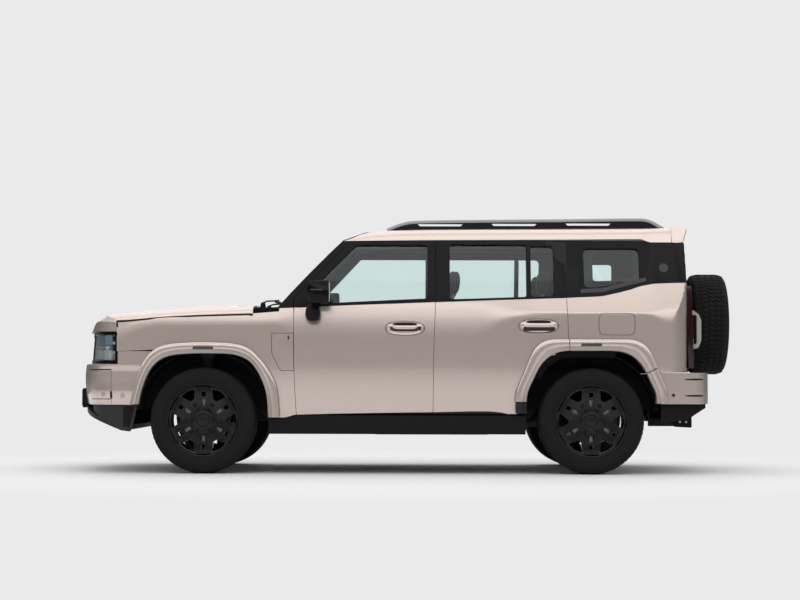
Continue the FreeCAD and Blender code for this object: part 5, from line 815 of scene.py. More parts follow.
def clipped(pairs, low, high):
    """The pairs whose outer point lies between two places along the car, with cut ends."""
    kept = []
    for a, b in zip(pairs, pairs[1:]):
        for edge in (low, high):
            ax, bx = a[0][0], b[0][0]
            if (ax - edge) * (bx - edge) < 0:
                t = (edge - ax) / (bx - ax)
                cut_pair = tuple(tuple(p + (q - p) * t for p, q in zip(pa, pb)) for pa, pb in zip(a, b))
                kept.append((a[0][0] + (bx - ax) * t, cut_pair))
        if low <= a[0][0] <= high:
            kept.append((a[0][0], a))
    if low <= pairs[-1][0][0] <= high:
        kept.append((pairs[-1][0][0], pairs[-1]))
    order = sorted({round(k, 5): p for k, p in kept}.items())
    return [p for _, p in order]


front_pairs = matched(FRONT_OUTER, FRONT_INNER, 90)
rear_pairs = matched(REAR_OUTER, REAR_INNER, 100)


def arch_cut(line, grow=0.012):
    """The arch's outer line pulled in a little, for cutting panels under the flare."""
    centre = Vector(((line[0][0] + line[-1][0]) / 2, 0.55))
    return [tuple(Vector(p) + (centre - Vector(p)).normalized() * grow) for p in resampled(line, 60)]


FRONT_CUT, REAR_CUT = arch_cut(FRONT_OUTER), arch_cut(REAR_OUTER)
GAP = 0.0028  # from a shut line to the panel on either side
UNDER, OVER = -0.001, 0.0015  # from the belt line to the paint below and the frames above
QUARTER_STOPS = (1.25, 1.306, 1.38, 1.455, 1.49, 1.53, 1.6, 1.678, 1.753, 1.79, 1.827, 1.864, 1.95, 2.03)
crease_top = curve([(-2.138, 1.128), (-2.06, 1.133), (-1.964, 1.141), (-1.815, 1.155), (-1.518, 1.171),
                    (-1.146, 1.183), (-0.82, 1.196)])

for side, sign in SIDES:
    place, outward = PLACES[sign], side_out(sign)

    # Front fender's flank, from the lamp's rear edge to the door
    fender = [(-2.1365, 0.908), (-2.1365, 1.0495), (-2.1455, 1.0515), (-2.1455, 1.13)]
    fender += level(crease_top, 0, (-2.06, -1.96, -1.8, -1.65, -1.5, -1.35, -1.2))
    fender += [(-1.122, 1.187), (-0.93, 1.203), (-0.93, 1.2265), (-0.826, 1.2305)]
    fender += upright(shut_front, -GAP, 1.19, 0.4385, 12) + [(-0.887, 0.4165), (-0.936, 0.4165)]
    fender += [p for p in reversed(FRONT_CUT) if p[1] > 0.43 and (p[0] > -1.6 or p[1] > 0.908)]
    panel(f"fender_skin_{side}", fender, place, outward, "body", PAINT, replaces=[f"front_fender_{side}"])

    # Doors below the belt
    door = upright(shut_front, GAP, 0.4385, 1.19, 12)
    door += level(belt_line, UNDER, (-0.818, -0.7, -0.55, -0.4, -0.2, 0.0, 0.15))
    door += upright(shut_middle, -GAP, 1.276, 0.4592, 12) + [(-0.03, 0.4562), (-0.552, 0.446)]
    panel(f"door_front_skin_{side}", door, place, outward, f"door_front_{side}", PAINT, fold=0.02)
    door = upright(shut_middle, GAP, 0.4592, 1.276, 12)
    door += level(belt_line, UNDER, (0.34, 0.5, 0.7, 0.85, 1.0, 1.1))
    door += upright(shut_rear, -GAP, 1.31, 0.985, 8)
    door += [p for p in reversed(REAR_CUT) if p[0] < 1.21 and p[1] > 0.447]
    door += [(0.771, 0.447), (0.712, 0.4595), (0.637, 0.4665), (0.489, 0.4665)]
    panel(f"door_rear_skin_{side}", door, place, outward, f"door_rear_{side}", PAINT, fold=0.02)

    # Quarter panel, round the rear corner to the tail lamp
    quarter = upright(shut_rear, GAP, 0.985, 1.309, 8) + level(belt_line, UNDER, QUARTER_STOPS)
    quarter += [(way_round(z, 0.8855), z) for z in even(1.425, 0.762, 18)]
    quarter += [(1.99, 0.758), (1.9, 0.758)]
    quarter += [p for p in reversed(REAR_CUT) if p[0] > 1.216 and p[1] > 0.758]
    panel(f"quarter_skin_{side}", quarter, place, outward, "body", PAINT, step=0.017)

    # Flares, split at the rear door's and the bumper's edges, and a black liner in the rear arch
    flare_piece(f"flare_front_{side}", front_pairs, sign, "body")
    flare_piece(f"flare_rear_door_{side}", clipped(rear_pairs, 0.0, 1.2205), sign, f"door_rear_{side}")
    flare_piece(f"flare_rear_body_{side}", clipped(rear_pairs, 1.2265, 1.872), sign, "body")
    flare_piece(f"flare_rear_bumper_{side}", clipped(rear_pairs, 1.8745, 2.0), sign, "body")
    rows = [[Vector((REAR_X + (inner[0] - REAR_X) * grow, sign * y, 0.43 + (inner[1] - 0.43) * grow))
             for grow, y in ((0.985, 0.925), (0.985, 0.86), (0.9, 0.84))] for _, inner in rear_pairs[18:64]]
    loft(f"arch_liner_{side}", rows, "body", BLACK_PLASTIC, sharp=60)


# Windows, pillars and their black surrounds

PILLAR = [(-0.944, 1.231), (-0.854, 1.335), (-0.78, 1.415), (-0.705, 1.495), (-0.63, 1.573), (-0.555, 1.65),
          (-0.481, 1.722), (-0.462, 1.738), (-0.414, 1.7365), (-0.828, 1.306), (-0.828, 1.2335)]
QUARTER_HOLE = [(1.335, 1.684, 0.045), (1.748, 1.684, 0.035), (1.764, 1.455, 0.05), (1.462, 1.3925, 0.05),
                (1.335, 1.385, 0.05)]
FRONT_HOLE = [(-0.361, 1.709, 0.05), (0.172, 1.709, 0.026), (0.172, 1.303, 0.026), (-0.531, 1.268, 0.02),
              (-0.629, 1.437, 0.02)]
REAR_HOLE = [(0.336, 1.714, 0.02), (0.909, 1.714, 0.012), (0.909, 1.314, 0.012), (0.336, 1.297, 0.02)]
PANE_HOLE = [(0.941, 1.702, 0.012), (1.111, 1.702, 0.045), (1.111, 1.322, 0.045), (0.941, 1.315, 0.012)]
TRIM_LINE = [(1.29, 1.7, 0.02), (1.8, 1.7, 0.02), (1.83, 1.42, 0.03), (1.48, 1.345, 0.05),
             (1.29, 1.335, 0.02)]
TRIM_HOLE = [(1.405, 1.655, 0.04), (1.712, 1.655, 0.035), (1.716, 1.475, 0.03), (1.56, 1.436, 0.05),
             (1.405, 1.432, 0.03)]
RING_LINE = [(1.3, 1.716, 0.06), (1.78, 1.716, 0.05), (1.798, 1.44, 0.05), (1.47, 1.366, 0.06),
             (1.3, 1.356, 0.06)]
RING_HOLE = [(1.33, 1.689, 0.048), (1.753, 1.689, 0.038), (1.769, 1.45, 0.05), (1.463, 1.388, 0.05),
             (1.33, 1.38, 0.05)]
STRIP = [(1.312, 1.3485, 0.008), (1.47, 1.3565, 0.05), (1.8, 1.44, 0.008), (1.8, 1.466, 0.008),
         (1.47, 1.384, 0.05), (1.312, 1.3745, 0.008)]
HEAD = -0.004  # from the gutter line to the top of the frames
DISC_X, DISC_Z = 1.934, 1.538


def proud(sign, height):
    """The side's surface, moved out."""
    return lambda u, z: PLACES[sign](u, z) + Vector((0, sign * height, 0))


def inward(sign):
    """Toward the cabin from a side."""
    return lambda p: Vector((0, -sign, 0))


for side, sign in SIDES:
    place, outward = PLACES[sign], side_out(sign)
    panel(f"pillar_front_{side}", PILLAR, place, outward, "body", BLACK_SATIN)
    frame_front = [(-0.8195, 1.2345), (-0.8195, 1.303), (-0.4075, 1.7375)]
    frame_front += level(gutter_line, HEAD, (-0.36, -0.2, -0.03, 0.1))
    frame_front += upright(shut_middle, -GAP, 1.74, 1.279, 8)
    frame_front += level(belt_line, OVER, (0.15, 0.0, -0.2, -0.4, -0.55, -0.7))
    panel(f"door_frame_front_{side}", frame_front, place, outward, f"door_front_{side}", BLACK_SATIN,
          holes=[rounded(FRONT_HOLE)], hole_fold=0.034, fold=0.02)
    frame_rear = upright(shut_middle, GAP, 1.279, 1.7405, 8) + level(gutter_line, HEAD, (0.4, 0.6, 0.8, 1.0))
    frame_rear += upright(shut_rear, -GAP, 1.7455, 1.3125, 8)
    frame_rear += level(belt_line, OVER, (1.1, 1.0, 0.85, 0.7, 0.5, 0.34))
    panel(f"door_frame_rear_{side}", frame_rear, place, outward, f"door_rear_{side}", BLACK_SATIN,
          holes=[rounded(REAR_HOLE), rounded(PANE_HOLE)], hole_fold=0.034, fold=0.02)
    black = upright(shut_rear, GAP, 1.3125, 1.7455, 8)
    black += level(gutter_line, HEAD, (1.3, 1.5, 1.7, 1.766, 1.789, 1.815, 1.841, 1.9, 1.95))
    black += [(way_round(z, gate_half(z) + 0.005), z) for z in even(1.727, 1.429, 12)]
    black += level(belt_line, OVER, QUARTER_STOPS[::-1])
    panel(f"quarter_black_{side}", black, place, outward, "body", BLACK_GLOSS,
          holes=[rounded(QUARTER_HOLE)], hole_fold=0.03, step=0.017)
    panel(f"quarter_trim_{side}", rounded(TRIM_LINE), proud(sign, -0.052), inward(sign), "body", TRIM,
          holes=[rounded(TRIM_HOLE)], fold=0.004, hole_fold=0.018, run=0.02)
    # A satin frame round the quarter window, with the grey strip under it
    panel(f"quarter_frame_{side}", rounded(RING_LINE), proud(sign, 0.0035), outward, "body", BLACK_SATIN,
          holes=[rounded(RING_HOLE)], fold=0.004, run=0.02)
    panel(f"quarter_strip_{side}", rounded(STRIP), proud(sign, 0.007), outward, "body", GREY_PLASTIC,
          fold=0.008, run=0.02)
    lathe(f"quarter_disc_{side}", [(0.0, 0.004), (0.022, 0.004), (0.0245, 0.0065), (0.032, 0.0065),
                                   (0.0345, 0.004), (0.0345, -0.004)],
          (DISC_X, sign * (half_width(DISC_X, DISC_Z) + 0.001), DISC_Z), (0, sign, 0.26), "body",
          GREY_PLASTIC, 40)
    # Rubber seals at the belt
    for label, low, high in (("front", -0.8, 0.226), ("rear", 0.236, 1.2)):
        rows = []
        for x in even(low, high, 24):
            z = belt_line(x)
            rows.append([Vector((x, sign * (half_width(x, z + dz) + dy), z + dz))
                         for dz, dy in ((-0.002, -0.004), (-0.001, 0.002), (0.004, 0.0035), (0.013, 0.003),
                                        (0.016, -0.004))])
        loft(f"belt_seal_{label}_{side}", rows, f"door_{label}_{side}", BLACK_PLASTIC)

dress(BLACK_SATIN, "body_side_left", "body_side_right")
dress(TRIM, *[n for n in NODES if n.startswith("door_")])
dress(GLASS, "fixed_glass", "glass_front_left", "glass_front_right", "glass_rear_left", "glass_rear_right",
      "tailgate_glass")


# Roof, rails and spoiler

roof_edge = curve([(-0.462, 1.7485), (-0.41, 1.776), (-0.372, 1.79), (-0.334, 1.8), (-0.259, 1.812),
                   (-0.108, 1.824), (0.193, 1.8325), (1.2, 1.839), (2.01, 1.846)])
roof_top = curve([(-0.47, 1.7485), (-0.42, 1.774), (-0.36, 1.797), (-0.3, 1.812), (-0.2, 1.826), (0.0, 1.84),
                  (0.2, 1.85), (0.54, 1.8605), (1.2, 1.8655), (2.01, 1.868)])
ROOF_FORM = [(0.8125, 0.0, 0.0), (0.8165, 0.006, 0.0), (0.811, 0.25, 0.0), (0.793, 0.6, 0.0),
             (0.779, 0.8, 0.0), (0.766, 0.93, 0.0), (0.75, 1.0, 0.02), (0.73, 1.0, 0.12), (0.68, 1.0, 0.3),
             (0.58, 1.0, 0.55), (0.42, 1.0, 0.8), (0.22, 1.0, 0.95), (0.0, 1.0, 1.0)]


def roof_row(x):
    """A section across the roof, from gutter to gutter."""
    low = gutter_line(x) + 0.0015
    edge, top = roof_edge(x), roof_top(x)
    half = []
    for y, share, crown in ROOF_FORM:
        y += (1.7465 - low) * 0.45 * max(1 - share * 4, 0) if low < 1.7465 and x > 1 else 0
        half.append((y, low + (edge - low) * share + (top - edge) * crown))
    return [Vector((x, -y, z)) for y, z in half] + [Vector((x, y, z)) for y, z in reversed(half[:-1])]


stations = [-0.466, -0.462, -0.45, -0.43, -0.41, -0.385, -0.36, -0.33, -0.3, -0.26, -0.21, -0.15, -0.08, 0.0,
            0.1, 0.2, 0.35, 0.55, 0.8, 1.05, 1.3, 1.55, 1.7, 1.766, 1.789, 1.815, 1.841, 1.87, 1.95, 2.0005]
roof_rows = [roof_row(x) for x in stations]
roof_rows.insert(0, [p - Vector((-0.004, 0, 0.02)) for p in roof_rows[0]])
loft("roof_skin", roof_rows, "body", PAINT, sharp=50)
dress(LINING, "roof_panel")
# Pressed ribs along the roof
RIB_START, RIB_END = 0.15, 1.85
RIB_FORM = ((-0.03, 0), (-0.022, 0.0012), (-0.012, 0.0032), (0, 0.004), (0.012, 0.0032), (0.022, 0.0012),
            (0.03, 0))
crown = curve([(0, 0.02), (0.03, 0.12), (0.094, 0.3), (0.227, 0.55), (0.44, 0.8), (0.707, 0.95), (1, 1)])
for index, y in enumerate((-0.42, -0.21, 0.0, 0.21, 0.42)):
    rows = []
    for x in even(RIB_START, RIB_END, 30):
        ends = smooth(0, 0.12, min(x - RIB_START, RIB_END - x))
        rows.append([Vector((x, y + dy,
                             roof_edge(x) + (roof_top(x) - roof_edge(x)) * crown(1 - abs(y + dy) / 0.75)
                             + dz * ends + 0.0006)) for dy, dz in RIB_FORM])
    loft(f"roof_rib_{index}", rows, "body", PAINT, sharp=80)

# Roof rails: a black body with three see-through slots and a grey metal cap
RAIL_START, RAIL_END, RAIL_Y = -0.131, 1.951, 0.716
RAIL_HALF, RAIL_FOLD = 0.0195, 0.02
SLOT_LENGTH, SLOT_INSET = 0.332, 0.012
CAP_FORM = ((0.0222, -0.02), (0.0226, -0.004), (0.019, 0.0015), (0.01, 0.0035), (0.0, 0.004), (-0.01, 0.0035),
            (-0.019, 0.0015), (-0.0226, -0.004), (-0.0222, -0.02))
rail_line = curve([(-0.131, 1.838), (-0.108, 1.847), (-0.07, 1.863), (-0.033, 1.876), (0.005, 1.886),
                   (0.043, 1.893), (0.12, 1.8975), (0.194, 1.8995), (0.42, 1.903), (1.2, 1.911),
                   (1.777, 1.918), (1.815, 1.915), (1.853, 1.905), (1.89, 1.886), (1.928, 1.864),
                   (1.951, 1.852)])
rail_foot = curve([(-0.131, 1.828), (0.2, 1.8325), (1.2, 1.839), (1.951, 1.846)])


def rail_y(z):
    """The rail's distance from the centre line, leaning in as it rises."""
    return RAIL_Y - (z - 1.84) * 0.1


def rail_side(sign, offset):
    """The place of points on one side of a roof rail, and the direction that this side faces."""
    return (lambda u, z: Vector((u, sign * (rail_y(z) + offset), z)),
            lambda p: Vector((0, sign * offset, 0.002)))


outline = level(rail_foot, 0, even(RAIL_END, RAIL_START, 41))
outline += level(rail_line, 0, even(RAIL_START, RAIL_END, 81))
holes = []
for first in (0.102, 0.66, 1.218):
    low, high = (rail_foot(first + 0.17) + rise for rise in (0.022, 0.044))
    holes.append(rounded([(first - SLOT_INSET, high, 0.004), (first + SLOT_INSET, low, 0.006),
                          (first + SLOT_LENGTH - SLOT_INSET, low, 0.006),
                          (first + SLOT_LENGTH + SLOT_INSET, high, 0.004)]))
for side, sign in SIDES:
    for label, offset in (("outer", RAIL_HALF), ("inner", -RAIL_HALF)):
        panel(f"rail_{label}_{side}", outline, *rail_side(sign, offset), "body", BLACK_SATIN, holes=holes,
              fold=RAIL_FOLD, hole_fold=RAIL_FOLD, run=0.02, step=0.05,
              replaces=["roof_rails"] if label == "outer" and sign < 0 else ())
    rows = []
    for x in even(RAIL_START - 0.004, RAIL_END + 0.004, 90):
        z = rail_line(x)
        slope = math.atan2(rail_line(x + 0.004) - rail_line(x - 0.004), 0.008)
        up = Vector((-math.sin(slope), 0, math.cos(slope)))
        rows.append([Vector((x, sign * (rail_y(z) + dy), z)) + up * dz for dy, dz in CAP_FORM])
    loft(f"rail_cap_{side}", rows, "body", RAIL, sharp=60)

PROFILE = [(2.0055, 1.7335), (2.005, 1.79), (2.006, 1.846), (2.014, 1.8515), (2.05, 1.8525), (2.088, 1.8515),
           (2.11, 1.8475), (2.133, 1.84), (2.1345, 1.836), (2.129, 1.82), (2.115, 1.78), (2.1, 1.74),
           (2.096, 1.7345), (2.06, 1.7315), (2.012, 1.732)]
rows = []
for f in even(-1, 1, 41):
    row = []
    for x, z in PROFILE:
        lift = 0.0165 * (1 - abs(f) ** 2.4) if z > 1.83 else 0.006 * (1 - f * f) * smooth(1.75, 1.83, z)
        pull = 0.014 * smooth(0.9, 1.0, abs(f)) if x > 2.05 else 0
        row.append(Vector((x - pull, f * (roof_half(z) - 0.004), z + lift)))
    rows.append(row)
loft("spoiler_skin", rows, "body", PAINT, close_row=True, caps=True, sharp=42, replaces=["roof_spoiler"])
solid("high_brake_lamp", [slab(bar_outline(-0.16, 0.16, 1.765, 1.78), "x", 2.088, 2.117)],
      "body", RED, bevel=0.003)
FIN_FOOT = ((1.8, -0.028, 1.866), (1.98, -0.024, 1.868), (1.98, 0.024, 1.868), (1.8, 0.028, 1.866))
FIN_TOP = ((1.925, -0.006, 1.905), (1.972, -0.005, 1.907), (1.972, 0.005, 1.907), (1.925, 0.006, 1.905))
solid("roof_fin", [(FIN_FOOT, FIN_TOP)], "body", BLACK_GLOSS, bevel=0.006, segments=3)


# Bonnet

NOSE = [(-2.475, 0.0), (-2.475, 0.2), (-2.443, 0.412), (-2.402, 0.62), (-2.365, 0.758), (-2.325, 0.849),
        (-2.275, 0.905), (-2.202, 0.937), (-2.138, 0.9465), (-1.95, 0.952), (-1.75, 0.9555)]
nose_steps, nose_x, nose_y = way_curves(NOSE)


def nose_point(s, back=0.0):
    """The nose's outline seen from above, by the way round from its middle, and its direction there.

    back moves the point rearward at the front."""
    a, e = abs(s), 0.004
    dx, dy = nose_x(a + e) - nose_x(max(a - e, 0)), nose_y(a + e) - nose_y(max(a - e, 0))
    length = math.hypot(dx, dy)
    if a < nose_steps[1]:
        dx, dy, length = 0, 1, 1
    x = nose_x(a) + back * dy / length
    y = nose_y(a)
    return x, (y if s >= 0 else -y), dx / length, dy / length


def nose_way(target, index=0):
    """How far round the nose a place along (0) or across (1) the car is."""
    low, high = 0.0, nose_steps[-1]
    for _ in range(40):
        middle = (low + high) / 2
        value = nose_x(middle) if index == 0 else nose_y(middle)
        low, high = (middle, high) if value < target else (low, middle)
    return (low + high) / 2


BACK = 0.043  # from the bumper's plan back to the lamps' and the bonnet's
ridge = curve([(-2.42, 1.127), (-2.3, 1.159), (-2.22, 1.172), (-2.138, 1.1835), (-2.046, 1.19),
               (-1.897, 1.201), (-1.673, 1.217), (-1.524, 1.2275), (-1.225, 1.2395), (-1.106, 1.244)])
joint = curve([(-2.2, 1.1), (-2.138, 1.1345), (-2.06, 1.1385), (-1.964, 1.1465), (-1.815, 1.1605),
               (-1.518, 1.1765), (-1.146, 1.1885), (-1.1, 1.19)])
roll = curve([(0.0, 0.0), (0.006, 0.12), (0.03, 0.47), (0.06, 0.79), (0.09, 0.945), (0.125, 1.0), (0.2, 1.0)])
brow = curve([(0.0, 1.0565), (0.4, 1.0585), (0.62, 1.073), (0.755, 1.109), (0.846, 1.129), (0.902, 1.1345),
              (0.96, 1.1345)])
flank = curve([(0.0, 0.0), (0.003, 0.2), (0.01, 0.45), (0.024, 0.7), (0.044, 0.87), (0.07, 0.97),
               (0.095, 1.0), (0.2, 1.0)])

# The bonnet's half width, where it ends, and its front edge's fall: its run along the car and its share of u
EDGE_HALF, BONNET_END, FALL, FALL_SHARE = 0.9485, -1.1285, 0.13, 0.16
WALL_FOOT = 1.0525


def bonnet_top(x, y):
    """The bonnet's height away from its edges."""
    return ridge(x) + 0.024 * (1 - (y / 0.95) ** 2) * smooth(-2.42, -2.2, x)


def bonnet_point(u, w):
    """u is the way back from the front edge, 0 to 1; w is the share across, -1 to 1."""
    fx, fy, _, dy = nose_point(nose_way(min(abs(w) * EDGE_HALF, 0.9462), 1), BACK - 0.002)
    if u < FALL_SHARE:
        back = FALL * u / FALL_SHARE
        x = fx + back * max(dy, 0.3) + 0.001
    else:
        start = fx + FALL * max(dy, 0.3) + 0.001
        x = start + (BONNET_END - start) * ((u - FALL_SHARE) / (1 - FALL_SHARE))
        back = FALL + (x - start)
    width = EDGE_HALF + 0.0065 * smooth(-2.1, -1.2, x)
    y = abs(w) * width
    top, low, side_low = bonnet_top(x, y), brow(abs(fy)), max(joint(x), 1.1345)
    front = low + (top - low) * roll(back)
    side = side_low + (top - side_low) * flank(width - y)
    return Vector((x, (y if w >= 0 else -y), min(front, side) if back < 0.3 else side))


us = [FALL_SHARE * (k / 16) ** 1.6 for k in range(17)]
us += [FALL_SHARE + (1 - FALL_SHARE) * k / 30 for k in range(1, 31)]
half_ws = [1 - (k / 14) ** 1.8 * 0.16 for k in range(15)] + [0.84 - 0.84 * k / 14 for k in range(1, 15)]
ws = [-w for w in half_ws] + half_ws[-2::-1]
rows = [[bonnet_point(u, w) for w in ws] for u in us]
# A short wall stands under the front edge, tallest over the lamps
walls = [[Vector((p.x - 0.0015, p.y + 0.0012 * math.copysign(1, w), WALL_FOOT + (p.z - WALL_FOOT) * share))
          for w, p in zip(ws, rows[0])] for share in (0.0, 0.05, 0.4, 0.8, 0.95)]
rows = walls + rows
first = [p + Vector((0.02, -0.012 * math.copysign(1, p.y), -0.0005)) for p in rows[0]]
last = [p + Vector((0.003, 0, -0.004)) for p in rows[-1]]
under = [p + Vector((0.002, 0, -0.02)) for p in rows[-1]]
loft("bonnet_skin", [first] + rows + [last, under], "bonnet", PAINT, sharp=60, replaces=["bonnet"])
# Its lining, a pressed sheet under the skin that meets it at the sides
lining = [first]
for row in rows[8::2]:
    lining.append([row[0] + Vector((0, 0.0012, -0.001))] + [p + Vector((0, 0, -0.018)) for p in row[1:-1]]
                  + [row[-1] + Vector((0, -0.0012, -0.001))])
loft("bonnet_lining", lining + [under], "bonnet", CHASSIS, sharp=60)
CREASE_FORM = ((-0.05, 0), (-0.03, 0.0015), (-0.01, 0.006), (0.004, 0.008), (0.016, 0.006), (0.04, 0.0))
for side, sign in SIDES:
    rows = []
    for x in even(-2.08, -1.18, 40):
        lift = smooth(0, 0.2, min(x + 2.08, -1.18 - x))
        middle = 0.6 + 0.05 * smooth(-2.1, -1.2, x)
        rows.append([Vector((x, sign * (middle + dy), bonnet_top(x, middle + dy) + dz * lift + 0.0006))
                     for dy, dz in CREASE_FORM])
    loft(f"bonnet_crease_{side}", rows, "bonnet", PAINT, sharp=80)

# Cowl: black vent, wiper arms and blades
dress(BLACK_PLASTIC, "cowl_panel")
for index, pivot_y in enumerate((-0.62, 0.05)):
    pivot = Vector((-1.075, pivot_y, 1.252))
    lathe(f"wiper_pivot_{index}", [(0, 0.03), (0.014, 0.03), (0.018, 0.022), (0.022, 0.0), (0.022, -0.03)],
          pivot, (0, 0, 1), "body", BLACK_PLASTIC, 20)
    tip = pivot + Vector((0.095, 0.385, 0.046))
    tube(f"wiper_arm_{index}", [pivot + Vector((0, 0, 0.028)), pivot + Vector((0.03, 0.06, 0.044)),
                                pivot.lerp(tip, 0.6) + Vector((0, 0, 0.024)), tip + Vector((0, 0, 0.016))],
         0.0065, "body", BLACK_SATIN, 8)
    blade = [tip + Vector((-0.004, d, d * 0.018)) for d in (-0.33, -0.15, 0.0, 0.15, 0.33)]
    tube(f"wiper_blade_{index}", blade, 0.007, "body", BLACK_PLASTIC, 8, flat=1.6)


# Front bumper, lamps and grille

def bumper_place(s, z):
    """A point on the painted bumper below its ledge."""
    x, y, dx, dy = nose_point(s)
    tuck = max(0.66 - z, 0) * 0.055 + 0.01 * smooth(0.6, 0.5, z)
    bulge = 0.002 - 0.006 * smooth(0.765, 0.808, z)
    inward = tuck - bulge
    return Vector((x + inward * dy, y - math.copysign(inward * dx, s), z))


def upper_place(depth=0.0):
    """A point on the face of the lamps and grille, some way behind it."""
    def place(s, z):
        lean = 0.018 * (z - 0.805) / 0.24
        x, y, dx, dy = nose_point(s, BACK + depth + lean)
        return Vector((x, y - math.copysign(0.6 * depth * dx, s), z))
    return place


def nose_out(p):
    """Roughly outward from the nose."""
    return Vector((min(p.x + 1.9, -0.05), p.y * 1.6, 0))


# Ways round the nose to the lamps' ends and the bumper's foot, the bumper's top and the lamps' heights
s_inner, s_lamp, BUMPER_TOP = nose_way(0.56, 1), nose_way(-2.135), 0.904
LAMP_LOW, LAMP_HIGH = 0.8135, 1.045
arch_front = [(nose_way(p[0]), p[1]) for p in FRONT_CUT if p[0] < -1.886 and 0.509 < p[1] < 0.9]
half = [(arch_front[0][0] - 0.006, 0.5095)] + arch_front
half += [(nose_way(-1.886), BUMPER_TOP), (s_lamp + 0.006, BUMPER_TOP), (s_lamp + 0.006, 0.8085)]
panel("front_bumper_skin", [(-s, z) for s, z in half] + [(s, z) for s, z in reversed(half)], bumper_place,
      nose_out, "body", PAINT, fold=0.046, step=0.03, replaces=["front_bumper"])
# Ledge above it
rows = []
for s in even(-s_lamp, s_lamp, 81):
    near, far = bumper_place(s, 0.805), upper_place(0.02)(s, 0.8085)
    rows.append([near + Vector((0.004, 0, 0.003)), near.lerp(far, 0.5) + Vector((0, 0, 0.004)),
                 far + Vector((0, 0, 0.0005))])
loft("front_ledge", rows, "body", PAINT, sharp=60)


def inlay(name, outline, place, outward, material, body="body", lift=0.0008, fold=0.004, **more):
    """A thin piece set on a surface."""
    def lifted(u, w):
        point = place(u, w)
        return point + outward(point).normalized() * lift
    return panel(name, outline, lifted, outward, body, material, fold=fold, step=0.02, run=0.008,
                 corner=0.0006, **more)


def nose_bar(sign, a, b, low, high, radius):
    """A bar_outline on one side of the nose, between two ways round it."""
    return bar_outline(*span(sign, a, b), low, high, radius)


s0, s1 = nose_way(0.8, 1), nose_way(-2.176)
left, right = s_inner + 0.034, s_lamp - 0.05
LAMP_PARTS = (("upper", left, right, 0.952, 1.024, 0.03, LAMP_BLUE),
              ("lower", left, right, 0.842, 0.912, 0.03, LAMP_GREY),
              ("eye", nose_way(-2.251), nose_way(-2.214), 0.92, 0.944, 0.016, WHITE),
              ("block_a", s_lamp - 0.046, s_lamp - 0.021, 0.912, 0.952, 0.014, BLACK_GLOSS),
              ("block_b", s_lamp - 0.046, s_lamp - 0.021, 0.982, 1.012, 0.014, BLACK_GLOSS),
              ("bit_a", s_lamp - 0.042, s_lamp - 0.023, 0.957, 0.973, 0.012, WHITE),
              ("bit_b", s_lamp - 0.042, s_lamp - 0.023, 0.886, 0.904, 0.012, WHITE),
              ("bowl", left + 0.02, left + 0.1, 0.866, 0.896, 0.018, LAMP_DARK))
for side, sign in SIDES:
    for label, a, b, low, high, radius in (("slit", s0, s1, 0.764, 0.772, 0.003),
                                           ("line", s0, s1, 0.548, 0.552, 0.0015),
                                           ("duct", nose_way(-2.186), nose_way(-2.17), 0.555, 0.608, 0.005)):
        inlay(f"bumper_{label}_{side}", nose_bar(sign, a, b, low, high, radius), bumper_place, nose_out, GAP_AND_SHADOW)
    # The parking sensors: faces in a darker copy of the paint and rings round them in a darker one still,
    # both painted shade
    for label, x, z in (("front", -2.24, 0.587), ("side", -2.092, 0.577)):
        spot = nose_way(x) * sign
        inlay(f"bumper_sensor_{label}_{side}", disc(spot, z, 0.0105), bumper_place, nose_out, SHADED_PAINT,
              lift=0.0018)
        inlay(f"bumper_sensor_ring_{label}_{side}", disc(spot, z, 0.0165), bumper_place, nose_out,
              PAINT_SHADE)
    # Seam from the bumper's middle to its side
    rows = []
    for z in even(0.515, 0.8, 12):
        off = nose_out(bumper_place(sign * s1, z)).normalized() * 0.0007
        rows.append([bumper_place(sign * (nose_way(-2.178) + d), z) + off for d in (-0.001, 0.001)])
    loft(f"bumper_seam_{side}", rows, "body", GAP_AND_SHADOW)

    # Headlamp: black surround, clear lens, dark housing with bright elements
    outline = nose_bar(sign, s_inner + 0.003, s_lamp, LAMP_LOW, LAMP_HIGH, 0.028)
    hole = nose_bar(sign, s_inner + 0.024, s_lamp - 0.017, 0.833, 1.03, 0.024)
    panel(f"lamp_surround_{side}", outline, upper_place(-0.003), nose_out, "body", BLACK_GLOSS, holes=[hole],
          fold=0.05, hole_fold=0.055, run=0.016, corner=0.003)
    lens_line = nose_bar(sign, s_inner + 0.021, s_lamp - 0.014, 0.83, 1.033, 0.022)
    panel(f"lamp_lens_{side}", lens_line, upper_place(0.003), nose_out, "body", LENS, fold=0.004,
          replaces=["headlamps"] if sign < 0 else ())
    panel(f"lamp_housing_{side}", lens_line, upper_place(0.052), nose_out, "body", LAMP_DARK, fold=0.002)
    for label, a, b, low, high, depth, material in LAMP_PARTS:
        panel(f"lamp_{label}_{side}", nose_bar(sign, a, b, low, high, 0.007), upper_place(depth), nose_out,
              "body", material, fold=0.02, run=0.012, corner=0.003)
    for index, a in enumerate(even(left + 0.012, right - 0.012, 9)):
        panel(f"lamp_fin_{side}_{index}", nose_bar(sign, a, a + 0.004, 0.846, 0.908, 0.001),
              upper_place(0.022), nose_out, "body", REFLECTOR, fold=0.008, run=0.02, corner=0.0008)

grille_hole = bar_outline(-s_inner + 0.032, s_inner - 0.032, 0.84, 1.02, 0.018)
panel("grille_frame", bar_outline(-s_inner + 0.003, s_inner - 0.003, LAMP_LOW, LAMP_HIGH, 0.02),
      upper_place(0.0), nose_out, "body", BLACK_GLOSS, holes=[grille_hole], fold=0.05, hole_fold=0.05,
      corner=0.003, replaces=["grille"])
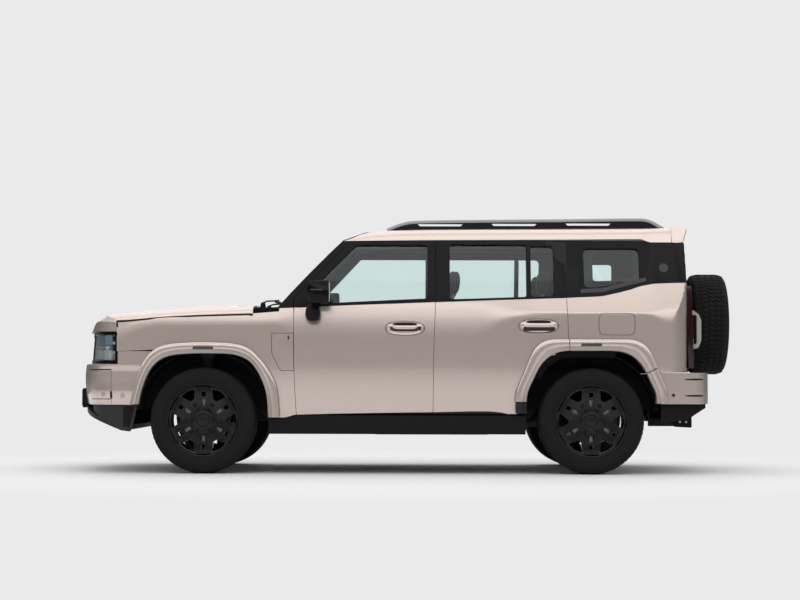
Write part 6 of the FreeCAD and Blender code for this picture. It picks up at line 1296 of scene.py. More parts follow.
# A near-black sheet behind the bars: painted shade for the deep opening
panel("grille_back", grille_hole, upper_place(0.048), nose_out, "body", DEEP_SHADE, fold=0.002)
GRILLE_BAR = ((0.04, 0.005), (0.012, 0.0075), (0.0055, 0.0055), (0.004, 0.0), (0.0055, -0.0055),
              (0.012, -0.0075), (0.04, -0.005))
for index in range(6):
    z = 0.8595 + index * 0.0285
    rows = [[upper_place(depth)(s, z + dz) for depth, dz in GRILLE_BAR]
            for s in even(-s_inner + 0.03, s_inner - 0.03, 61)]
    loft(f"grille_bar_{index}", rows, "body", BLACK_SATIN if index % 2 else GREY_PLASTIC, sharp=50)
for index, s in enumerate(even(-s_inner + 0.1, s_inner - 0.1, 9)):
    outline = bar_outline(s - 0.005, s + 0.005, 0.84, 1.02, 0.002)
    panel(f"grille_rib_{index}", outline, upper_place(0.016), nose_out, "body", BLACK_SATIN, fold=0.028,
          run=0.03)

# Blank plate on its bracket
solid("plate_bracket", [slab(bar_outline(-0.242, 0.242, 0.478, 0.628, 0.012), "x", -2.5005, -2.455)], "body",
      BLACK_PLASTIC, bevel=0.003)
solid("plate_blank", [slab(bar_outline(-0.226, 0.226, 0.492, 0.614, 0.008), "x", -2.5075, -2.5)], "body",
      PLATE, bevel=0.0015)
# Lower air intake in the bumper's middle, and the tow hooks' covers
inlay("intake_frame", bar_outline(-0.42, 0.42, 0.66, 0.745, 0.02), bumper_place, nose_out, BLACK_SATIN,
      lift=0.0008, fold=0.01)
for index in range(3):
    inlay(f"intake_bar_{index}", bar_outline(-0.4, 0.4, 0.672 + index * 0.023, 0.684 + index * 0.023, 0.005),
          bumper_place, nose_out, BLACK_GLOSS, lift=0.0016, fold=0.003)
for side, sign in SIDES:
    inlay(f"tow_cover_{side}", nose_bar(sign, 0.46, 0.56, 0.6, 0.7, 0.012), bumper_place, nose_out, PAINT,
          lift=0.0016)
dress(VALANCE, "front_valance")
APRON = [(-2.364, 0.5075), (-2.364, 0.468), (-2.3, 0.43), (-2.2, 0.373), (-2.108, 0.3185), (-2.09, 0.3165),
         (-2.043, 0.31), (-2.032, 0.33), (-2.02, 0.365), (-1.998, 0.47), (-1.991, 0.5075)]
FLAP = [(-2.088, 0.494), (-2.088, 0.345), (-2.046, 0.338), (-2.022, 0.425), (-2.012, 0.494)]


def apron_place(sign):
    """A point on the side of the grey apron under the bumper."""
    def place(s, z):
        x, y, _, dy = nose_point(s)
        return Vector((x + 0.026 * dy, sign * min(abs(y) - 0.026, 0.9185 - 0.05 * (0.51 - z)), z))
    return place


def flap_place(sign):
    """A point on the black flap before the wheel."""
    return lambda s, z: Vector((nose_point(s)[0], sign * (0.9205 - 0.05 * (0.51 - z)), z))


for side, sign in SIDES:
    panel(f"valance_side_{side}", [(sign * nose_way(x), z) for x, z in APRON], apron_place(sign), nose_out,
          "body", VALANCE, fold=0.05)
    inlay(f"valance_flap_{side}", [(sign * nose_way(x), z) for x, z in FLAP], flap_place(sign), nose_out,
          BLACK_PLASTIC, lift=0.002)
dress(BLACK_PLASTIC, "rear_valance", "sill_cladding", "wheel_liners")


# Mirrors, handles and small panels

def blob(name, centre, half, power, body, material, steps=28):
    """A box with well rounded edges and slightly crowned faces."""
    def bend(v):
        return math.copysign(abs(v) ** (2 / power), v)

    rows = []
    for a in even(-math.pi / 2, math.pi / 2, steps + 1):
        rows.append([Vector(centre) + Vector((half[0] * bend(math.cos(a)) * bend(math.cos(b)),
                                              half[1] * bend(math.cos(a)) * bend(math.sin(b)),
                                              half[2] * bend(math.sin(a))))
                     for b in around(steps * 2)])
    return loft(name, rows, body, material, close_row=True, sharp=70)


MIRROR_X, MIRROR_Z = -0.634, 1.343
MIRROR_RING = rounded([(-0.7135, 1.345, 0.05), (-0.708, 1.418, 0.03), (-0.64, 1.4262, 0.05),
                       (-0.5545, 1.4262, 0.016), (-0.5545, 1.26, 0.016), (-0.69, 1.26, 0.03)], 6)

for side, sign in SIDES:
    place, outward = PLACES[sign], side_out(sign)
    door = f"door_front_{side}"
    # Mirror housing: rows from its inner to its outer end
    rows = []
    for share, grow in ((0.0, 0.93), (0.01, 0.99), (0.04, 1.015), (0.2, 1.03), (0.5, 1.03), (0.8, 1.03),
                        (0.93, 1.025), (0.98, 1.0), (1.0, 0.95)):
        y = 0.986 + 0.18 * share
        rows.append([Vector((MIRROR_X + (x - MIRROR_X) * min(grow, 1.006), sign * y,
                             MIRROR_Z + (z - MIRROR_Z) * min(grow, 1.006))) for x, z in MIRROR_RING])
    loft(f"mirror_shell_{side}", rows, door, BLACK_GLOSS, close_row=True, caps=True, sharp=50)
    glass_ring = oval(sign * 1.076, MIRROR_Z, 0.078, 0.07, 0.5, 0.5, 40)
    panel(f"mirror_face_{side}", glass_ring, lambda y, z: Vector((-0.5525, y, z)),
          lambda p: Vector((1, 0, 0)), door, SILVER, fold=0.004)
    solid(f"mirror_signal_{side}", [slab(bar_outline(-0.69, -0.6, 1.352, 1.362, 0.004), "y", sign * 1.16,
                                         sign * 1.1685)], door, GREY_PLASTIC, bevel=0.002)
    # Ball-shaped camera pod under it, on its arm
    lathe(f"mirror_pod_{side}", [(0, -0.066), (0.02, -0.0645), (0.04, -0.055), (0.052, -0.036),
                                 (0.057, -0.012), (0.056, 0.012), (0.05, 0.034), (0.041, 0.052),
                                 (0.036, 0.07), (0.036, 0.08)],
          (-0.6765, sign * 1.028, 1.19), (0, 0, 1), door, BLACK_SATIN, 40)
    tube(f"mirror_arm_{side}", [(-0.675, sign * 0.93, 1.205), (-0.676, sign * 0.975, 1.203),
                                (-0.6765, sign * 1.02, 1.2)], 0.043, door, BLACK_SATIN, 16, flat=0.8)
    tube(f"mirror_neck_{side}", [(-0.676, sign * 1.028, 1.245), (-0.672, sign * 1.03, 1.285)], 0.034, door,
         BLACK_SATIN, 16)

    # Handles: an oval recess, a bar across it and its two ends
    for label, body, x0, x1, z0, z1 in (("front", door, -0.139, 0.146, 1.031, 1.131),
                                        ("rear", f"door_rear_{side}", 0.852, 1.141, 1.05, 1.15)):
        cx, cz, hx, hz = (x0 + x1) / 2, (z0 + z1) / 2, (x1 - x0) / 2, (z1 - z0) / 2
        ring = oval(cx, cz, hx, hz, 0.78, 0.9, 56)

        def scaled(grow_u, grow_w, lift=0.0, points=ring, u=cx, w=cz):
            """The oval recess, grown or shrunk about its middle."""
            return [(u + (p[0] - u) * grow_u, w + lift + (p[1] - w) * grow_w) for p in points]
        # Rings going in, all in plain paint; the hollow's shade comes from the painted shadows laid in it
        # below
        rows = [[Vector((x, sign * (half_width(x, z) + dy), z)) for x, z in scaled(grow, grow)]
                for grow, dy in ((1.0, 0.0012), (0.985, 0.0028), (0.96, 0.0018), (0.9, 0.001), (0.7, 0.0006),
                                 (0.35, 0.0006), (0.02, 0.0006))]
        loft(f"handle_bowl_{label}_{side}", rows, body, PAINT, close_row=True, sharp=60)
        # A thin near-black ring just outside the recess: painted shade at its rim
        inlay(f"handle_rim_shade_{label}_{side}", scaled(1.035, 1.06), place, outward, GAP_AND_SHADOW, body, lift=0.0004,
              fold=0.001)
        bar = []
        for f in even(-1, 1, 17):
            thick = 0.0155 * (1 - 0.16 * abs(f) ** 4)
            reach = 0.026 - 0.006 * abs(f) ** 3
            x = cx + f * (hx - 0.012)
            z = cz + 0.004
            y = half_width(x, z)
            bar.append([Vector((x, sign * (y + dy * reach), z + dz * thick)) for dy, dz in
                        ((0.25, -1.0), (0.72, -1.05), (0.93, -0.75), (1.0, 0.0), (0.93, 0.75), (0.72, 1.05),
                         (0.25, 1.0))])
        loft(f"handle_bar_{label}_{side}", bar, body, PAINT, close_row=True, caps=True, sharp=60)
        for end in (-1, 1):
            x = cx + end * (hx - 0.034)
            blob(f"handle_end_{label}_{side}_" + ("a" if end < 0 else "b"),
                 (x, sign * (half_width(x, cz) + 0.0085), cz + 0.006), (0.027, 0.013, 0.024), 3.2, body,
                 PAINT, 12)
        # Two near-black bands in the recess, one over the bar and one under it: painted shadows
        for shade, grow_u, grow_w, lift in (("shadow", 0.62, 0.22, hz * 0.63),
                                            ("under", 0.66, 0.07, -hz * 0.36)):
            inlay(f"handle_{shade}_{label}_{side}", scaled(grow_u, grow_w, lift), place, outward, GAP_AND_SHADOW, body,
                  lift=0.0022, fold=0.001)
    # Fuel flap on the left, and the gap round it
    if sign < 0:
        inlay("fuel_flap", bar_outline(1.446, 1.708, 1.037, 1.193, 0.045, 8), place, outward, PAINT,
              lift=0.0016, fold=0.003)
        inlay("fuel_flap_gap", bar_outline(1.4425, 1.7115, 1.0335, 1.1965, 0.048, 8), place, outward, GAP_AND_SHADOW,
              lift=0.0006, fold=0.001)
    # Vent panel behind the front wheel
    vent = [(-0.984, 1.039, 0.004), (-0.829, 1.039, 0.002), (-0.8225, 0.767, 0.002), (-0.913, 0.767, 0.01),
            (-0.932, 0.79, 0.01), (-0.984, 0.897, 0.01)]
    grown = [(-0.9875, 1.0425, 0.006), (-0.8275, 1.0425, 0.002), (-0.8205, 0.7635, 0.002),
             (-0.915, 0.7635, 0.012), (-0.935, 0.788, 0.012), (-0.9875, 0.896, 0.012)]
    inlay(f"vent_gap_{side}", rounded(grown, 4), place, outward, GAP_AND_SHADOW, lift=0.0006, fold=0.001)
    inlay(f"vent_panel_{side}", rounded(vent, 4), place, outward, PAINT, lift=0.0018, fold=0.003)
    bar = rounded([(-0.972, 0.99, 0.008), (-0.868, 0.99, 0.006), (-0.858, 1.014, 0.006),
                   (-0.862, 1.028, 0.006), (-0.972, 1.028, 0.008)], 4)
    inlay(f"vent_bar_{side}", bar, place, outward, PAINT, lift=0.0065, fold=0.006)
    inlay(f"vent_slot_{side}", bar_outline(-0.866, -0.858, 0.994, 1.022, 0.003), place, outward, GAP_AND_SHADOW,
          lift=0.007, fold=0.001)
    # Marker slots on the flares
    for label, low, high, z in (("front", -1.574, -1.412, 0.9315), ("rear", 1.305, 1.468, 0.9605)):
        slot = rounded([(low, z - 0.0105, 0.008), (high, z - 0.0105, 0.008), (high - 0.01, z + 0.0105, 0.01),
                        (low + 0.01, z + 0.0105, 0.01)], 4)
        panel(f"marker_{label}_{side}", slot, lambda u, w, s=sign: Vector((u, s * 0.9928, w)),
              lambda p, s=sign: Vector((0, s, 0)), "body", GREY_PLASTIC, fold=0.003, run=0.008, corner=0.0006)


# Rear bumper, tailgate skin, lamps and handle

TAIL_PLAN = [(2.277, 0.0), (2.277, 0.7605), (2.256, 0.8246), (2.2308, 0.9011), (2.22, 0.9223),
             (2.203, 0.9393), (2.1815, 0.9502), (2.1577, 0.954), (2.0, 0.954), (1.86, 0.954)]
tail_steps, tail_x, tail_y = way_curves(TAIL_PLAN)


def tail_way(x):
    """How far round the rear bumper, from its middle, a place along the car is on its side."""
    if x < 2.15:
        return tail_steps[-1] - (x - TAIL_PLAN[-1][0])
    return next(t / 1000 for t in range(2000) if tail_y(t / 1000) > 0.77 and tail_x(t / 1000) <= x)


def tail_place(s, z):
    """A point on the rear bumper, by the way round from its middle."""
    return Vector((tail_x(abs(s)), math.copysign(tail_y(abs(s)), s), z))


def tail_out(p):
    """Roughly outward from the rear bumper."""
    return Vector((max(p.x - 1.9, 0) * 2, p.y, 0))


half = [(0.625, 0.701), (0.64, 0.753)] + [(tail_way(x), z) for x, z in (
    (1.872, 0.753), (1.8745, 0.7), (1.884, 0.65), (1.893, 0.6), (1.902, 0.55), (1.906, 0.5245))]
outline = [(-s, z) for s, z in reversed(half)] + half
panel("rear_bumper_skin", outline, tail_place, tail_out, "body", PAINT, fold=0.012)
dress(BLACK_SATIN, "rear_bumper")
treads = [slab(bar_outline(x, x + 0.01, -0.58, 0.58), "z", 0.7045, 0.707) for x in even(2.14, 2.236, 5)]
solid("rear_step", [slab(bar_outline(2.128, 2.271, -0.6, 0.6), "z", 0.7005, 0.7045)] + treads, "body",
      BLACK_PLASTIC, bevel=0.001)
for side, sign in SIDES:
    low, high = tail_way(2.222), tail_way(2.081)
    for label, z in (("high", 0.7066), ("low", 0.585)):
        lens_shape = [(sign * (low + (high - low) * (0.5 - 0.5 * math.cos(a))), z + 0.0065 * math.sin(a))
                      for a in around(32)]
        inlay(f"rear_slit_{label}_{side}", lens_shape, tail_place, tail_out, GAP_AND_SHADOW)
    # Rear sensors: rings, and two whole sensors on each side, in a dark copy of the paint as painted shade;
    # the side ones have a near-black centre
    for label, s, z, radius, lift, material in (("ring", tail_way(1.995), 0.589, 0.0165, 0.0008, PAINT_SHADE),
                                                ("eye", tail_way(1.995), 0.589, 0.0105, 0.0018, GAP_AND_SHADOW),
                                                ("0", 0.3, 0.64, 0.0125, 0.0015, PAINT_SHADE),
                                                ("1", 0.62, 0.64, 0.0125, 0.0015, PAINT_SHADE)):
        inlay(f"rear_sensor_{label}_{side}", disc(sign * s, z, radius), tail_place, tail_out, material,
              lift=lift)
    inlay(f"rear_reflector_{side}", bar_outline(*span(sign, 0.52, 0.72), 0.56, 0.592, 0.01), tail_place,
          tail_out, RED, lift=0.003)
inlay("rear_plate_frame", bar_outline(-0.275, 0.275, 0.535, 0.672, 0.012), tail_place, tail_out,
      BLACK_PLASTIC, lift=0.003)
inlay("rear_plate_blank", bar_outline(-0.255, 0.255, 0.548, 0.66, 0.008), tail_place, tail_out, PLATE,
      lift=0.006)


def gate_place(y, z):
    """A point on the tailgate's outer skin."""
    return Vector((rear_edge(z) + 0.0035, y, z))


def gate_out(p):
    """Outward from the tailgate."""
    return Vector((1, 0, 0.03))


low_gate = [(-0.789, 0.7705), (0.789, 0.7705), (0.789, 1.262), (-0.789, 1.262)]
panel("tailgate_skin", rounded([(y, z, 0.03) for y, z in low_gate[:2]] + low_gate[2:], 6), gate_place,
      gate_out, "tailgate", PAINT, fold=0.03, corner=0.003)
high_gate = [(-0.789, 1.2655), (0.789, 1.2655), (0.789, 1.277), (0.715, 1.7195), (-0.715, 1.7195),
             (-0.789, 1.277)]
panel("tailgate_frame", high_gate, gate_place, gate_out, "tailgate", BLACK_GLOSS,
      holes=[rounded([(-0.592, 1.316, 0.05), (0.592, 1.316, 0.05), (0.547, 1.662, 0.05),
                      (-0.547, 1.662, 0.05)], 6)],
      fold=0.03, hole_fold=0.02, corner=0.003)
dress(BLACK_SATIN, "tailgate")
# A pressed frame round the spare wheel's carrier, and the rear wiper
inlay("gate_pressing", bar_outline(-0.6, 0.6, 0.86, 1.235, 0.07), gate_place, gate_out, PAINT, "tailgate",
      lift=0.004, fold=0.006, holes=[bar_outline(-0.56, 0.56, 0.895, 1.2, 0.05)])
tube("rear_wiper_arm", [(2.128, -0.05, 1.7), (2.15, -0.05, 1.69), (2.142, -0.3, 1.655), (2.136, -0.42, 1.64)],
     0.0075, "tailgate", BLACK_SATIN, 10)
tube("rear_wiper_blade", [(2.128, -0.2, 1.655), (2.131, -0.36, 1.646), (2.128, -0.52, 1.636)], 0.008,
     "tailgate", BLACK_PLASTIC, 8)

LAMP_PROUD = 0.0405


def lamp_face(y, z):
    """A point on the face of a tail lamp."""
    return Vector((rear_edge(z) + LAMP_PROUD, y, z))


for side, sign in SIDES:
    # Upright lamp strip beside the tailgate
    profile = [(rear_edge(at) + out, z) for at, out, z in (
        (0.79, -0.006, 0.7895), (0.79, LAMP_PROUD, 0.7895), (1.1, LAMP_PROUD, 1.1), (1.4, LAMP_PROUD, 1.4005),
        (1.4, -0.006, 1.4005))]
    solid(f"tail_lamp_{side}", [slab(profile, "y", sign * 0.7975, sign * 0.8805)], "body", TAIL, bevel=0.008,
          segments=3, replaces=["tail_lamps"] if sign < 0 else ())
    for index, (low, high, material) in enumerate(((0.815, 0.905, RED), (0.925, 1.015, WHITE),
                                                   (1.035, 1.125, RED), (1.145, 1.235, RED),
                                                   (1.255, 1.375, RED))):
        inlay(f"tail_element_{side}_{index}", bar_outline(*span(sign, 0.814, 0.864), low, high, 0.012),
              lamp_face, gate_out, material, lift=0.0022)

# The tailgate's long upright handle, hollowed by its grip
pod = rounded([(2.112, 1.2265, 0.0), (2.165, 1.2245, 0.03), (2.2095, 1.192, 0.03), (2.2255, 1.15, 0.04),
               (2.225, 1.0, 0.05), (2.2065, 0.943, 0.04), (2.15, 0.9375, 0.03), (2.112, 0.9375, 0.0)], 5)
grip = bar_outline(2.1355, 2.1985, 0.9675, 1.1945, 0.018)
for label, y, way in (("left", -0.77, -1), ("right", -0.714, 1)):
    panel(f"gate_handle_{label}", pod, lambda u, z, t=y: Vector((u, t, z)),
          lambda p, w=way: Vector((0, w, 0)), "tailgate", LIGHT_GREY, holes=[grip], fold=0.0285,
          hole_fold=0.0285, corner=0.004, run=0.01, step=0.02)

# Hitch: side plates with their bolts
for sign in (-1, 1):
    solid(f"hitch_plate_{sign + 1}", [slab(rounded([(2.06, 0.345, 0.012), (2.196, 0.338, 0.012),
                                                    (2.196, 0.428, 0.012), (2.06, 0.428, 0.012)], 4), "y",
                                           sign * 0.462, sign * 0.4775)],
          "body", BLACK_PLASTIC, bevel=0.002)
    for index, x in enumerate((2.105, 2.152)):
        lathe(f"hitch_bolt_{sign + 1}_{index}", [(0, 0.009), (0.008, 0.009), (0.0105, 0.006),
                                                 (0.0105, -0.003)],
              (x, sign * 0.478, 0.383), (0, sign, 0), "body", SILVER, 6)


# Cabin: cushions, seat frames, belts, mirror, dashboard

def voxel_mesh(half, size, power=7.0):
    """An evenly meshed, well rounded block to blow up."""
    first = blob("cushion_start", (0, 0, 0), half, power, "body", FABRIC, 20)
    change = first.modifiers.new("even", "REMESH")
    change.mode = "VOXEL"
    change.voxel_size = size
    shaped = bpy.data.meshes.new_from_object(first.evaluated_get(bpy.context.evaluated_depsgraph_get()))
    bpy.data.objects.remove(first)
    thing = bpy.data.objects.new("cushion_cloth", shaped)
    scene.collection.objects.link(thing)
    return thing


# Half sizes of each cushion before it swells, and how far a point may move
PADS = {"seat": ((0.254, 0.24, 0.06), 0.022), "back": ((0.046, 0.236, 0.33), 0.024),
        "head": ((0.038, 0.118, 0.086), 0.012), "bench": ((0.214, 0.3, 0.048), 0.02),
        "bench_back": ((0.046, 0.3, 0.262), 0.024)}
VOXEL, HEAD_VOXEL = 0.0125, 0.008
PRESSURE, QUALITY, FRAMES = 4, 4, 20
cloths = {name: voxel_mesh(half, VOXEL if name != "head" else HEAD_VOXEL) for name, (half, _) in PADS.items()}
starts = {name: [v.co.copy() for v in thing.data.vertices] for name, thing in cloths.items()}
for thing in cloths.values():
    cloth = thing.modifiers.new("swell", "CLOTH")
    cloth.settings.use_pressure = True
    cloth.settings.uniform_pressure_force = PRESSURE
    cloth.settings.quality = QUALITY
    cloth.settings.effector_weights.gravity = 0
    cloth.point_cache.frame_start = 1
    cloth.point_cache.frame_end = FRAMES
for number in range(1, FRAMES + 1):
    scene.frame_set(number)
graph = bpy.context.evaluated_depsgraph_get()
for name, thing in cloths.items():
    swollen = [v.co.copy() for v in thing.evaluated_get(graph).data.vertices]
    limit = PADS[name][1]
    for vert, start, moved in zip(thing.data.vertices, starts[name], swollen):
        way = moved - start
        vert.co = start + (way * (limit / way.length) if way.length > limit else way)
    thing.modifiers.clear()
scene.frame_set(1)


def groove(distance):
    """A sewn seam: a narrow valley with a rounded bead on each side."""
    valley = -0.0055 * math.exp(-(distance / 0.0065) ** 2)
    return valley + 0.0016 * math.exp(-((abs(distance) - 0.016) / 0.008) ** 2)


def seams(name, p):
    """How far the stitching moves a point of a cushion."""
    x, y, z = p
    (hx, hy, hz), _ = PADS[name]
    move = 0.0
    if name in ("seat", "bench"):
        if z > 0:
            for line in (-0.36, 0.36):
                move += groove(y - line * hy * 1.7)
            if abs(y) < 0.6 * hy:
                for line in (-0.45, -0.1, 0.25, 0.6):
                    move += groove(x - line * hx)
        move += groove(z + 0.2 * hz) if abs(x) > 0.8 * hx or abs(y) > 0.8 * hy else 0
        move += 0.006 * smooth(0.6, 1.0, abs(y) / hy) * (1 if z > 0 else 0)
    elif name in ("back", "bench_back"):
        if x < 0:
            for line in (-0.36, 0.36):
                move += groove(y - line * hy * 1.7)
            if abs(y) < 0.6 * hy:
                for line in (-0.6, -0.3, 0.0, 0.3, 0.6):
                    move += groove(z - line * hz)
            move += 0.007 * smooth(0.6, 1.0, abs(y) / hy)
        move += groove(x - 0.3 * hx) if abs(z) > 0.9 * hz or abs(y) > 0.9 * hy else 0
    else:
        move += groove(x)
    return move


pad_forms = {}
for name, thing in cloths.items():
    change = thing.modifiers.new("smooth", "SUBSURF")
    change.levels = 1
    bpy.context.view_layer.update()
    fine = bpy.data.meshes.new_from_object(thing.evaluated_get(bpy.context.evaluated_depsgraph_get()))
    hx, hy, hz = PADS[name][0]
    form = []
    for vert in fine.vertices:
        p = vert.co
        # The sides pull in between the corners
        waist = 1 - 0.02 * (1 - min((p.x / hx) ** 2, 1)) if name in ("seat", "bench") else 1 - 0.016 * (
            1 - min((p.z / hz) ** 2, 1))
        form.append(Vector((p.x, p.y * waist, p.z)) + vert.normal * seams(name, p))
    pad_forms[name] = (form, [tuple(face.vertices) for face in fine.polygons])
    bpy.data.objects.remove(thing)


def pad(label, kind, centre, lean=0.0, sign=1, nodes=()):
    """Places a copy of a cushion."""
    turn = Matrix.Rotation(lean, 3, "Y")
    form, faces = pad_forms[kind]
    verts = [Vector(centre) + turn @ Vector((p.x, p.y * sign, p.z)) for p in form]
    thing = finish(label, verts, [face[::sign] for face in faces], "body", FABRIC, sharp=80, replaces=nodes)


LEAN = math.atan2(0.15, 0.69)
for side, sign in SIDES:
    y = 0.385 * sign
    pad(f"front_cushion_{side}", "seat", (-0.035, y, 0.712), math.radians(-2), sign,
        ["front_seats"] if sign < 0 else ())
    pad(f"front_back_{side}", "back", (0.306, y, 0.995), LEAN, sign)
    pad(f"front_headrest_{side}", "head", (0.3757, y, 1.443), LEAN * 0.5, sign)
    pad(f"bench_cushion_{side}", "bench", (0.715, 0.321 * sign, 0.818), math.radians(-2), sign,
        ["rear_bench"] if sign < 0 else ())
    pad(f"bench_back_{side}", "bench_back", (1.002, 0.321 * sign, 1.062), LEAN, sign)
    pad(f"rear_headrest_{side}", "head", (1.0596, y, 1.443), LEAN * 0.5, sign)
    rail = rounded([(-0.245, 0.6, 0.02), (0.235, 0.6, 0.02), (0.285, 0.72, 0.04), (0.215, 0.72, 0.04),
                    (0.185, 0.655, 0.03), (-0.245, 0.655, 0.02)], 4)
    solid(f"seat_frame_{side}", [block((-0.225, y - 0.185, 0.468), (0.155, y + 0.185, 0.5)),
                                 slab(rail, "y", y - 0.252, y - 0.236), slab(rail, "y", y + 0.236, y + 0.252),
                                 block((-0.215, y - 0.17, 0.5), (0.145, y + 0.17, 0.655))], "body", TRIM,
          bevel=0.006)
    for index, x in enumerate((0.3757, 1.0596)):
        for way in (-1, 1):
            tube(f"head_stalk_{side}_{index}_{way + 1}", [(x, y + 0.06 * way, 1.3),
                                                          (x, y + 0.06 * way, 1.39)],
                 0.0065, "body", STEEL, 10)
    low, high = span(sign, 0.004, 0.438)
    solid(f"bench_frame_{side}", [block((0.562, low, 0.468), (0.85, high, 0.775))], "body", TRIM, bevel=0.01)
    # Belts down the pillars, a flat strap each, with its guide
    for index, x, lean in ((0, 0.3, 0.055), (1, 1.245, 0.02)):
        rows = []
        for z, out in ((1.56, 0.8), (1.4, 0.84), (1.25, 0.872), (1.1, 0.885), (0.95, 0.885)):
            shift = (1.56 - z) * lean
            rows.append([Vector((x + shift + d, sign * (out + e), z)) for d, e in
                         ((-0.023, 0.0), (0.023, 0.0), (0.023, 0.0015), (-0.023, 0.0015))])
        loft(f"belt_{side}_{index}", rows, "body", TRIM, close_row=True, caps=True)
        solid(f"belt_guide_{side}_{index}", [slab(bar_outline(x - 0.035, x + 0.035, 1.545, 1.6, 0.012), "y",
                                                  sign * 0.792, sign * 0.806)], "body", TRIM, bevel=0.004)

blob("cabin_mirror", (-0.475, 0, 1.655), (0.016, 0.12, 0.034), 4.0, "body", TRIM, 14)
tube("cabin_mirror_stalk", [(-0.475, 0, 1.68), (-0.5, 0, 1.715)], 0.01, "body", TRIM, 10)
dress(TRIM, "dashboard", "steering_wheel")
# Dashboard: rolled hood, screen, vents and a console
rows = []
for y in even(-0.79, 0.79, 33):
    hood = 0.02 * smooth(0.24, 0.12, abs(y + 0.385))
    rows.append([Vector((x, y, z + hood * share)) for x, z, share in (
        (-0.895, 1.15, 0), (-0.88, 1.172, 0), (-0.78, 1.178, 0.4), (-0.64, 1.176, 1), (-0.58, 1.168, 1),
        (-0.553, 1.15, 0.6), (-0.548, 1.125, 0), (-0.556, 1.115, 0))])
loft("dash_pad", rows, "body", TRIM, sharp=70)
solid("dash_screen", [slab(bar_outline(-0.165, 0.165, 1.075, 1.23, 0.012), "x", -0.565, -0.548)], "body",
      BLACK_GLOSS, bevel=0.003)
solid("dash_gauges", [slab(bar_outline(-0.505, -0.265, 1.105, 1.185, 0.012), "x", -0.562, -0.546)], "body",
      BLACK_GLOSS, bevel=0.003)
for index, y in enumerate((-0.7, -0.225, 0.225, 0.7)):
    slats = [bar_outline(y - 0.045, y + 0.045, z, z + 0.008, 0.003) for z in even(1, 1.052, 5)]
    solid(f"dash_vent_{index}", [slab(slat, "x", -0.562, -0.552) for slat in slats], "body", BLACK_SATIN,
          bevel=0.001)
solid("glove_box", [slab(bar_outline(0.24, 0.66, 0.885, 0.975, 0.015), "x", -0.562, -0.5555)], "body", TRIM,
      bevel=0.002)
console = rounded([(-0.555, 0.468), (-0.555, 0.9, 0.02), (-0.42, 0.82, 0.06), (-0.18, 0.74, 0.05),
                   (0.15, 0.76, 0.03), (0.15, 0.468)], 5)
solid("console", [slab(console, "y", -0.105, 0.105)], "body", TRIM, bevel=0.008)
lever = tuple([(x, y, z) for x, y in bar_outline(at - half, at + half, -deep, deep)]
              for at, half, deep, z in ((-0.345, 0.012, 0.012, 0.775), (-0.325, 0.02, 0.018, 0.875)))
solid("gear_lever", [lever], "body", BLACK_SATIN, bevel=0.005, segments=3)


# Wheels

TYRE_FORM = [(0.259, 0.1), (0.26, 0.112), (0.268, 0.1185), (0.276, 0.1195), (0.284, 0.1255),
             (0.3, 0.1335), (0.319, 0.137), (0.336, 0.1368), (0.348, 0.1345), (0.35, 0.1362),
             (0.359, 0.1335), (0.3605, 0.1305), (0.37, 0.1265), (0.379, 0.1185), (0.384, 0.112),
             (0.386, 0.105), (0.3868, 0.07), (0.3872, 0.035), (0.3874, 0.0)]


def make_tyre(name, centre, body, axis):
    """A tyre: turned carcass, tread blocks in five bands and lugs on its shoulders."""
    centre, axis = Vector(centre), Vector(axis)
    form = TYRE_FORM + [(r, -h) for r, h in reversed(TYRE_FORM[:-1])]
    lathe(name, form, centre, axis, body, TYRE, 96, sharp=28, replaces=[name.replace("_body", "")])
    one = axis.orthogonal().normalized() if abs(axis.y) < 0.5 else Vector((1, 0, 0))
    two = axis.cross(one)
    verts, faces = [], []

    def lug(angle, spread, low_h, high_h, low_r, high_r, skew=0.0, taper=0.0):
        first = len(verts)
        for r, cut_in in ((low_r, 0.0), (high_r, 0.0012)):
            for h, shift in ((low_h + cut_in, -skew), (high_h - cut_in, skew)):
                drop = taper if abs(h) > 0.098 else 0.0
                for edge in (-1, 1):
                    a = angle + shift + edge * (spread - cut_in * 2.5)
                    verts.append(centre + (one * math.cos(a) + two * math.sin(a)) * (r - drop) + axis * h)
        a, b, c, d, e, f, g, h8 = range(first, first + 8)
        faces.extend([(e, f, h8, g), (a, b, f, e), (c, g, h8, d), (a, e, g, c), (b, d, h8, f)])

    pitches = 64
    for k in range(pitches):
        a = 2 * math.pi * k / pitches
        step = math.pi / pitches
        for way in (-1, 1):
            shift = 0 if way > 0 else step
            lug(a + shift, step * 0.76, *sorted((way * 0.076, way * 0.1135)), 0.38, 0.3935, 0.004, 0.009)
            lug(a + shift * 0.6, step * 0.8, *sorted((way * 0.03, way * 0.07)), 0.384, 0.3938, way * 0.012)
            if k % 2 == 0:
                lug(a + shift, step * 0.9, *sorted((way * 0.1095, way * 0.1225)), 0.366, 0.381, 0.0)
        lug(a, step * 0.82, -0.022, 0.022, 0.384, 0.3938, 0.016)
    finish(name + "_tread", verts, faces, body, TYRE, sharp=20)


